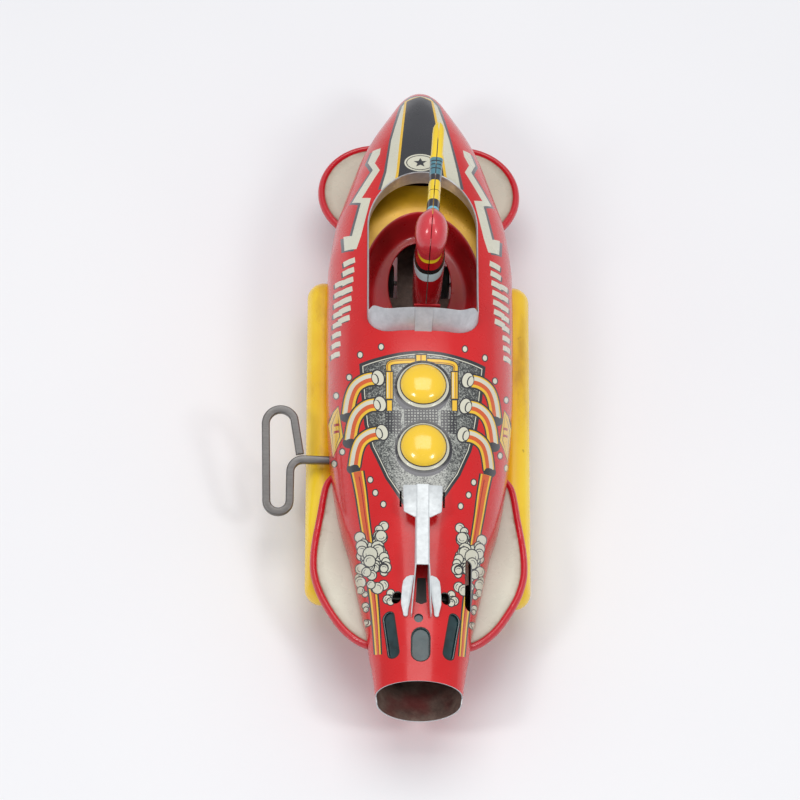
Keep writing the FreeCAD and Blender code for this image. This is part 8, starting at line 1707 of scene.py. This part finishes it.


# ------------------------------------------------------------------ tail fin in silver sheet: top strip, rear walls, front winglets and rear feet
def build_tail():
    parts = []
    TOPZ = 70.05

    def top(y):
        return 69.3 + (70.3 - 69.3) * (y + 107.0) / 38.5

    # top strip with rolled long edges, running into walls that splay apart at the back
    def half(y):
        if y > -96:
            return 2.62
        return 2.62

    ys = [-68.6 - 1.2 * i for i in range(33)]
    section = []
    rings = []
    for y in ys:
        z = min(top(y), 70.28)
        h = half(y)
        wall = z - 2.4 if y > -69.5 else max(surf_z(2.7, y) - 0.3, z - 12)
        ring = [(-h - 0.28, y, wall), (-h - 0.28, y, z - 0.85), (-h - 0.10, y, z - 0.32), (-h + 0.35, y, z),
                (h - 0.35, y, z), (h + 0.10, y, z - 0.32), (h + 0.28, y, z - 0.85), (h + 0.28, y, wall),
                (h - 0.12, y, wall), (h - 0.12, y, z - 0.9), (h - 0.5, y, z - 0.45), (-h + 0.5, y, z - 0.45), (-h + 0.12, y, z - 0.9), (-h + 0.12, y, wall)]
        rings.append(ring)
    v, f = loft(rings)
    parts.append((v, f, 0))

    # swept plate helper, not used; the walls behind the strip are built below
    def prism(profile, th, place):
        # profile in (y, z) swept across a thickness; place maps (t, y, z) to a point
        n = len(profile)
        vv = [place(0.0, y, z) for y, z in profile] + [place(th, y, z) for y, z in profile]
        ff = [tuple(range(n))[::-1], tuple(range(n, 2 * n))]
        for i in range(n):
            ff.append((i, (i + 1) % n, (i + 1) % n + n, i + n))
        return vv, ff, 0

    # walls behind the end of the strip: separate quads so the top edge can splay
    for sx in (-1, 1):
        n = 13
        rr = []
        for i in range(n):
            t = i / (n - 1)
            y = -106.6 - 16.3 * t
            if y > -110:
                zt = 69.2 - (-106.6 - y) * 0.9
            else:
                zt = 66.2 - (-110 - y) * 0.52
            zt = min(zt, 69.3) if y > -110 else zt
            zt = 69.3 - 12.4 * t ** 1.05
            out = 2.5 + 1.25 * t
            zb = surf_z(out, y) + 0.02
            zt = max(zt, zb + 0.6)
            rr.append([(sx * out, y, zb), (sx * (out + 0.1), y, zt), (sx * (out + 0.5), y, zt), (sx * (out + 0.42), y, zb)])
        v, f = loft(rr)
        parts.append((v, f, 0))

    # front winglets, lightly domed plates with rounded rear corners
    def plate(outline, zfun, th, edge=0.25, mat=0):
        top_l = inset_loop(outline, edge)
        rings = [[(x, y, zfun(x, y) - th) for x, y in outline], [(x, y, zfun(x, y) - edge) for x, y in outline],
                 [(x, y, zfun(x, y) - edge * 0.3) for x, y in inset_loop(outline, edge * 0.3)],
                 [(x, y, zfun(x, y)) for x, y in top_l]]
        v, f = loft(rings)
        return v, f, mat

    def arc(cx, cy, r, a0, a1, n=7):
        return [(cx + r * math.cos(math.radians(a0 + (a1 - a0) * i / n)), cy + r * math.sin(math.radians(a0 + (a1 - a0) * i / n))) for i in range(n + 1)]

    for sx in (-1, 1):
        o = [(2.5, -68.75)] + arc(7.3, -69.6, 0.85, 90, 0, 5)[:] + [(8.05, -73.0), (7.9, -79.6)] + arc(6.6, -80.9, 1.25, 0, -62, 6) + [(5.2, -83.2), (3.4, -84.35), (2.5, -84.4)]
        o = [(sx * x, y) for x, y in o]
        if sx > 0:
            o = o[::-1]
        parts.append(plate(o, lambda x, y: 70.05 - 0.008 * (abs(x) - 2.5) ** 2 - 0.0 * y, 0.5))
        # outline of a lock tab for the slots of the shell; it is not used
        t = [(sx * 8.55, -69.6), (sx * 9.15, -69.6), (sx * 9.15, -75.4), (sx * 8.55, -75.4)]
        # rear feet, leaf-shaped and lying on the deck
        ft = [(3.0, -105.6), (4.6, -105.5), (6.3, -106.2), (7.5, -107.8), (7.9, -110.2), (8.2, -114.5), (8.25, -117.6)] + \
            [(7.7, -119.8), (7.3, -121.6)] + arc(6.35, -121.8, 1.0, 0, -180, 8) + [(5.1, -119.4), (4.6, -117.2), (4.0, -113.0), (3.6, -109.5)]
        ft = [(sx * x, y) for x, y in ft]
        if sx > 0:
            ft = ft[::-1]
        parts.append(plate(ft, lambda x, y: max(surf_z(x, y), surf_z(3, y) - 0.3) + 0.75, 0.6))
    v, f, fm = merge_parts(parts)
    ob = new_obj("tail_fin_folded", v, f, [M["silver"]], fm)
    finish_mesh(ob, angle=34)
    return ob


tail = build_tail()
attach(tail, "hull")
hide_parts("tail_fin")


# ------------------------------------------------------------------ the figure: two embossed halves, printed
def fig_mat(name, rgb, **k):
    return tin_print(name, rgb, var=0.06, specks=0.15, rough=0.24, coat=0.6, **k)


# figure_dark is the dark print on the arms and also painted shade on the inner skins of both halves
FM = {"helmet": fig_mat("figure_helmet", (206, 52, 62)), "suit": fig_mat("figure_suit", (176, 18, 26)), "blue": fig_mat("figure_blue", (110, 186, 206)),
      "band": fig_mat("figure_band", (196, 218, 222)), "yellow": fig_mat("figure_yellow", (242, 206, 40)), "dark": fig_mat("figure_dark", (46, 44, 50)),
      "gun": fig_mat("figure_gun", (78, 128, 142)), "black": fig_mat("figure_line", (30, 26, 28)), "white": fig_mat("figure_white", (226, 226, 220))}
FK = list(FM)
FI = {k: i for i, k in enumerate(FK)}


def figure_half(name, sx, cx):
    """One stamping. Half-breadth follows a rounded section, open towards the other half."""
    gap = 0.2
    parts = []
    # torso and head: stations along a slanting spine, each (y centre, z centre, half length across the spine, half breadth, colour)
    st = [(47.0, 38.6, 12.6, 5.6, "suit"), (47.0, 46.0, 13.4, 6.0, "suit"), (47.0, 54.0, 13.6, 6.1, "suit"), (46.9, 60.0, 13.0, 6.2, "suit"),
          (46.4, 64.0, 12.0, 6.3, "suit"), (45.8, 66.6, 11.0, 6.2, "band"), (45.4, 68.6, 10.3, 6.3, "band"), (45.2, 70.8, 9.6, 6.2, "band"),
          (45.1, 72.2, 9.2, 5.9, "black"), (45.2, 72.9, 9.0, 5.7, "suit"), (45.3, 75.0, 8.6, 5.3, "suit"), (45.6, 76.6, 8.4, 5.1, "yellow"), (45.8, 77.6, 8.4, 5.2, "yellow"),
          (46.0, 78.6, 8.6, 5.4, "helmet"), (46.4, 80.6, 9.2, 6.0, "helmet"), (46.9, 83.4, 9.8, 6.55, "helmet"), (47.1, 86.2, 9.9, 6.7, "helmet"),
          (47.2, 88.8, 9.3, 6.3, "helmet"), (47.4, 91.2, 8.0, 5.4, "helmet"), (47.7, 93.2, 5.9, 4.0, "helmet"), (47.9, 94.6, 3.6, 2.4, "helmet"), (48.0, 95.2, 1.6, 1.0, "helmet"), (48.0, 95.3, 0.05, 0.03, "helmet")]
    seg = 24
    rings, cols = [], []
    for yc, zc, hl, hw, col in st:
        ring = []
        for k in range(seg + 1):
            t = -math.pi / 2 + math.pi * k / seg
            p = 2.3
            x = hw * spow(math.cos(t), 2 / p)
            y = yc + hl * spow(math.sin(t), 2 / p)
            # nose of the helmet is drawn to a blunt point at the front
            if col == "helmet" and t > 0:
                x *= 1 - 0.60 * (math.sin(t)) ** 3
            ring.append((cx + sx * (x + gap) if True else 0, y, zc))
        rings.append(ring)
        cols.append(col)
    v, f = loft(rings, closed=False, cap0=False, cap1=False)
    fm = []
    for i in range(len(rings) - 1):
        fm += [FI[cols[i + 1]] if cols[i] != cols[i + 1] and cols[i + 1] in ("black",) else FI[cols[i]]] * seg
    # inner skin, 0.5 in, so the half is a shell; its faces get the near-black figure_dark print as painted shade inside
    # the hollow
    o = len(v)
    inner = []
    for (yc, zc, hl, hw, col) in st:
        for k in range(seg + 1):
            t = -math.pi / 2 + math.pi * k / seg
            x = max(hw - 0.5, 0.02) * spow(math.cos(t), 2 / 2.3)
            y = yc + max(hl - 0.5, 0.02) * spow(math.sin(t), 2 / 2.3)
            if col == "helmet" and t > 0:
                x *= 1 - 0.60 * (math.sin(t)) ** 3
            inner.append((cx + sx * (x + gap), y, zc))
    v = list(v) + inner
    n = seg + 1
    R = len(rings)
    for i in range(R - 1):
        for j in range(seg):
            a, b = o + i * n + j, o + i * n + j + 1
            f.append((a, a + n, b + n, b))
            fm.append(FI["dark"])
    for i in range(R - 1):
        for j in (0, seg):
            f.append((i * n + j, (i + 1) * n + j, o + (i + 1) * n + j, o + i * n + j))
            fm.append(FI["white"])
    for j in range(seg):
        f.append((j, j + 1, o + j + 1, o + j))
        fm.append(FI["white"])
        k = (R - 1) * n
        f.append((k + j, k + j + 1, o + k + j + 1, o + k + j))
        fm.append(FI["helmet"])
    parts.append((v, f, fm))
    # arms reaching forward, the gun in the gloves: stations along Y, top and bottom heights, half breadth, colour
    gs = [(49.5, 76.5, 85.0, 2.2, "blue"), (52, 76.2, 86.4, 2.5, "blue"), (55.6, 75.4, 87.5, 2.6, "blue"), (58.4, 74.9, 88.4, 2.55, "dark"), (60.9, 75.2, 89.0, 2.5, "dark"),
          (61.6, 76.0, 89.3, 2.55, "yellow"), (64.0, 77.4, 89.6, 2.65, "yellow"), (66.0, 78.0, 89.5, 2.5, "black"), (66.25, 78.1, 89.5, 2.5, "yellow"), (69.2, 78.9, 89.8, 2.6, "yellow"), (71.0, 79.4, 89.8, 2.4, "dark"), (74.0, 81.0, 89.8, 2.4, "gun"),
          (76.6, 83.0, 89.9, 2.45, "black"), (77.1, 83.6, 89.9, 2.45, "gun"), (78.6, 84.4, 89.9, 2.45, "black"), (79.1, 84.5, 89.9, 2.45, "gun"), (80.4, 84.6, 89.9, 2.45, "black"),
          (80.9, 84.7, 89.9, 2.5, "gun"), (82.4, 84.8, 89.9, 2.6, "yellow"), (83.2, 84.9, 89.9, 2.75, "yellow"), (84.2, 84.9, 89.9, 2.35, "yellow"), (90, 85.1, 89.9, 2.3, "yellow"), (96, 85.6, 89.4, 2.3, "yellow"),
          (98.6, 86.0, 89.0, 2.15, "yellow"), (100.4, 86.4, 88.7, 1.5, "yellow"), (101.3, 86.8, 88.4, 0.7, "yellow")]
    rings, cols = [], []
    m = 14
    for y, z0, z1, hw, col in gs:
        ring = []
        for k in range(m + 1):
            t = math.pi / 2 - math.pi * k / m
            ring.append((cx + sx * (hw * spow(math.cos(t), 0.8) + gap), y, (z0 + z1) / 2 + (z1 - z0) / 2 * spow(math.sin(t), 0.8)))
        rings.append(ring)
        cols.append(col)
    v, f = loft(rings, closed=False, cap0=False, cap1=False)
    fm = []
    for i in range(len(rings) - 1):
        fm += [FI[cols[i]]] * m
    # inner skin of the arms; its faces get the near-black figure_dark print as painted shade inside the hollow
    o = len(v)
    for y, z0, z1, hw, col in gs:
        for k in range(m + 1):
            t = math.pi / 2 - math.pi * k / m
            v.append((cx + sx * (max(hw - 0.45, 0.2) * spow(math.cos(t), 0.8) + gap), y, (z0 + z1) / 2 + max((z1 - z0) / 2 - 0.45, 0.2) * spow(math.sin(t), 0.8)))
    n = m + 1
    R = len(rings)
    for i in range(R - 1):
        for j in range(m):
            a, b = o + i * n + j, o + i * n + j + 1
            f.append((a, a + n, b + n, b))
            fm.append(FI["dark"])
        for j in (0, m):
            f.append((i * n + j, (i + 1) * n + j, o + (i + 1) * n + j, o + i * n + j))
            fm.append(FI["white"])
    for k in (0, (R - 1) * n):
        for j in range(m):
            f.append((k + j, k + j + 1, o + k + j + 1, o + k + j))
            fm.append(FI["yellow"])
    parts.append((v, f, fm))
    vs, fs, fms = merge_parts(parts)
    ca, sa = math.cos(math.radians(-3.3)), math.sin(math.radians(-3.3))
    vs = [(2.35 + (p[0] - 2.35) * ca - (p[1] - 40) * sa, 40 + (p[0] - 2.35) * sa + (p[1] - 40) * ca, p[2]) for p in vs]
    ob = new_obj(name + "_stamped", vs, fs, [FM[k] for k in FK], fms)
    bm = bmesh.new()
    bm.from_mesh(ob.data)
    bmesh.ops.remove_doubles(bm, verts=bm.verts, dist=0.000005)
    bmesh.ops.recalc_face_normals(bm, faces=bm.faces)
    bm.to_mesh(ob.data)
    bm.free()
    ob.data.polygons.foreach_set("use_smooth", [True] * len(ob.data.polygons))
    ob.data.set_sharp_from_angle(angle=math.radians(55))
    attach(ob, "hull")
    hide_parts(name)
    return ob


figure_half("pilot_left_half", -1, 2.35)
figure_half("pilot_right_half", 1, 2.35)


# ------------------------------------------------------------------ winding key: square wire bent to a flattened loop
def build_key():
    # path in the key's own plane: across (x) and along the handle (q)
    pts = []

    def arc(cx, cq, r, a0, a1, n):
        for i in range(n + 1):
            a = math.radians(a0 + (a1 - a0) * i / n)
            pts.append((cx + r * math.cos(a), cq + r * math.sin(a)))

    pts.append((-15.0, 0.0))
    for x in (-20, -26, -32, -36, -40, -44, -46.5, -48.4):
        pts.append((x, 0.0))
    arc(-48.4, -5.2, 5.2, 100, 180, 12)
    arc(-58.45, -17.6, 4.85, 0, -180, 24)
    arc(-58.0, 15.0, 6.2, 180, 25, 22)
    # long straight back to the shank, leaning a little outwards
    x0, q0 = pts[-1]
    for i in range(1, 7):
        pts.append((x0 + (-49.7 - x0) * i / 6, q0 + (2.4 - q0) * i / 6))
    # thin out coincident points
    path = [pts[0]]
    for p in pts[1:]:
        if math.dist(p, path[-1]) > 0.35:
            path.append(p)
    up = Vector((0, math.sin(math.radians(69)), math.cos(math.radians(69))))
    nrm = Vector((0, -math.cos(math.radians(69)), math.sin(math.radians(69))))
    base = Vector((0, -33, 32))
    rings = []
    n = len(path)
    for i, (x, q) in enumerate(path):
        ax, aq = path[max(i - 1, 0)]
        bx, bq = path[min(i + 1, n - 1)]
        t = Vector((bx - ax, 0, 0)) + up * (bq - aq)
        t.normalize()
        side = nrm.cross(t).normalized()
        c = base + Vector((x, 0, 0)) + up * q
        ring = []
        blend = 0.0 if x > -39 and i < 8 else (1.0 if x < -42 or i > 10 else 0.5)
        for k in range(24):
            a = 2 * math.pi * k / 24
            # round shank, then wire rolled nearly square with eased corners
            e = 1.0 if blend == 0 else (0.42 if blend == 1 else 0.7)
            rr = 1.7
            ring.append(c + side * (rr * spow(math.cos(a), e)) + nrm * (rr * spow(math.sin(a), e)))
        rings.append(ring)
    v, f = loft(rings)
    ob = new_obj("winding_key_bent", v, f, [M["keysteel"]])
    finish_mesh(ob, angle=60)
    return ob


key = build_key()
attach(key, "key")
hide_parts("winding_key")


# ------------------------------------------------------------------ wheels
def build_wheel(name, body, x0, x1, cy, cz, r, hub):
    w = x1 - x0
    prof = [(x0, 1.0), (x0, hub), (x0 + 0.5, hub + 0.2), (x0 + 0.5, r - 2.6), (x0 + 0.12, r - 2.2), (x0, r - 1.0), (x0 + 0.25, r - 0.3), (x0 + 0.8, r),
            (x0 + w * 0.3, r - 0.02), (x0 + w * 0.34, r - 0.28), (x0 + w * 0.4, r - 0.28), (x0 + w * 0.44, r - 0.01),
            (x0 + w * 0.56, r - 0.01), (x0 + w * 0.6, r - 0.28), (x0 + w * 0.66, r - 0.28), (x0 + w * 0.7, r - 0.02),
            (x1 - 0.8, r), (x1 - 0.25, r - 0.3), (x1, r - 1.0), (x1 - 0.12, r - 2.2), (x1 - 0.5, r - 2.6), (x1 - 0.5, hub + 0.2), (x1, hub), (x1, 1.0)]
    v, f = lathe_x(prof, cy, cz, 96)
    ob = new_obj(name + "_turned", v, f, [M["rubber"]])
    finish_mesh(ob, angle=40)
    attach(ob, body)
    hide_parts(name)


build_wheel("drive_wheel_left", "drive", -19.8, -15.2, -68.55, 12.5, 12.5, 3.4)
build_wheel("drive_wheel_right", "drive", 15.2, 19.8, -68.55, 12.5, 12.5, 3.4)
build_wheel("front_wheel_left", "front", -13.6, -10.0, 74, 8, 8, 2.6)
build_wheel("front_wheel_right", "front", 10.0, 13.6, 74, 8, 8, 2.6)

# ------------------------------------------------------------------ working metals on the pieces kept as modelled
KEEP = {"steel": M["steel"], "spring_steel": M["spring"], "brass": M["brass"], "abrasive": M["grit"], "flint": M["grit"], "film": M["film"],
        "silver_tin": M["rim"], "red_tin": M["red"], "tub_tin": M["tub"], "figure_tin": FM["suit"], "yellow_tin": M["pod"], "fin_tin": M["fin_field"], "tyre": M["rubber"]}
DONE = {"upper_shell", "lower_shell", "cockpit_tub", "cockpit_rim", "tail_fin", "winding_key", "pod_left", "pod_right", "pilot_left_half", "pilot_right_half",
        "drive_wheel_left", "drive_wheel_right", "front_wheel_left", "front_wheel_right"}
for row in frame["record"]["subparts"]:
    node = NODES[row["node"]]
    if row["node"] in DONE:
        continue
    mat = KEEP[row["material_slot"]]
    if row["node"] in ("pilot_strap",):
        mat = M["tub"]
    node.data.materials.clear()
    node.data.materials.append(mat)
    node.data.set_sharp_from_angle(angle=math.radians(35))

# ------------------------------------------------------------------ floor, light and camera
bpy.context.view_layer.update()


def floor_material():
    m = Mat("backdrop")
    col = m.ramp(m.noise(3.0, 3), [(0.3, lin((238, 238, 240))), (0.7, lin((242, 242, 243)))])
    m.base(col)
    m.rough(m.ramp(m.noise(260, 3), [(0.3, g(0.6)), (0.7, g(0.7))]))
    return m.m


bpy.ops.mesh.primitive_plane_add(size=6.0, location=(0, 0, 0))
floor = bpy.context.object
floor.name = "floor"
floor.data.materials.append(floor_material())

world = bpy.data.worlds.new("world")
SCN.world = world
world.use_nodes = True
bg = world.node_tree.nodes["Background"]
bg.inputs["Color"].default_value = (0.93, 0.95, 1.0, 1)
bg.inputs["Strength"].default_value = 0.52


def area(name, loc, target, size, power, size_y=None, color=(1, 1, 1)):
    d = bpy.data.lights.new(name, "AREA")
    d.energy = power
    d.color = color
    d.shape = "RECTANGLE" if size_y else "SQUARE"
    d.size = size
    if size_y:
        d.size_y = size_y
    ob = bpy.data.objects.new(name, d)
    ob.location = loc
    ob.rotation_euler = (Vector(target) - Vector(loc)).to_track_quat("-Z", "Y").to_euler()
    SCN.collection.objects.link(ob)
    return ob


area("overhead", (0.0, 0.25, 1.15), (0, 0, 0.03), 0.9, 5.2, size_y=0.7, color=(1.0, 0.98, 0.96))
area("strobe_left", (-0.75, -0.55, 1.05), (0, 0, 0.03), 0.26, 3.4)
area("strobe_right", (0.72, -0.60, 1.1), (0, 0, 0.03), 0.26, 3.4)

cam_data = bpy.data.cameras.new("camera")
cam_data.lens = 376.588
cam_data.sensor_width = 36.0
cam_data.clip_start = 0.05
cam_data.clip_end = 60.0
cam = bpy.data.objects.new("camera", cam_data)
cam.matrix_world = Matrix(((0.999143, -0.025072, -0.032946, -0.12349),
                           (0.002555, 0.831605, -0.555362, -1.94857),
                           (0.041322, 0.554802, 0.830956, 2.94481),
                           (0, 0, 0, 1)))
SCN.collection.objects.link(cam)
SCN.camera = cam
SCN.view_settings.view_transform = "Standard"
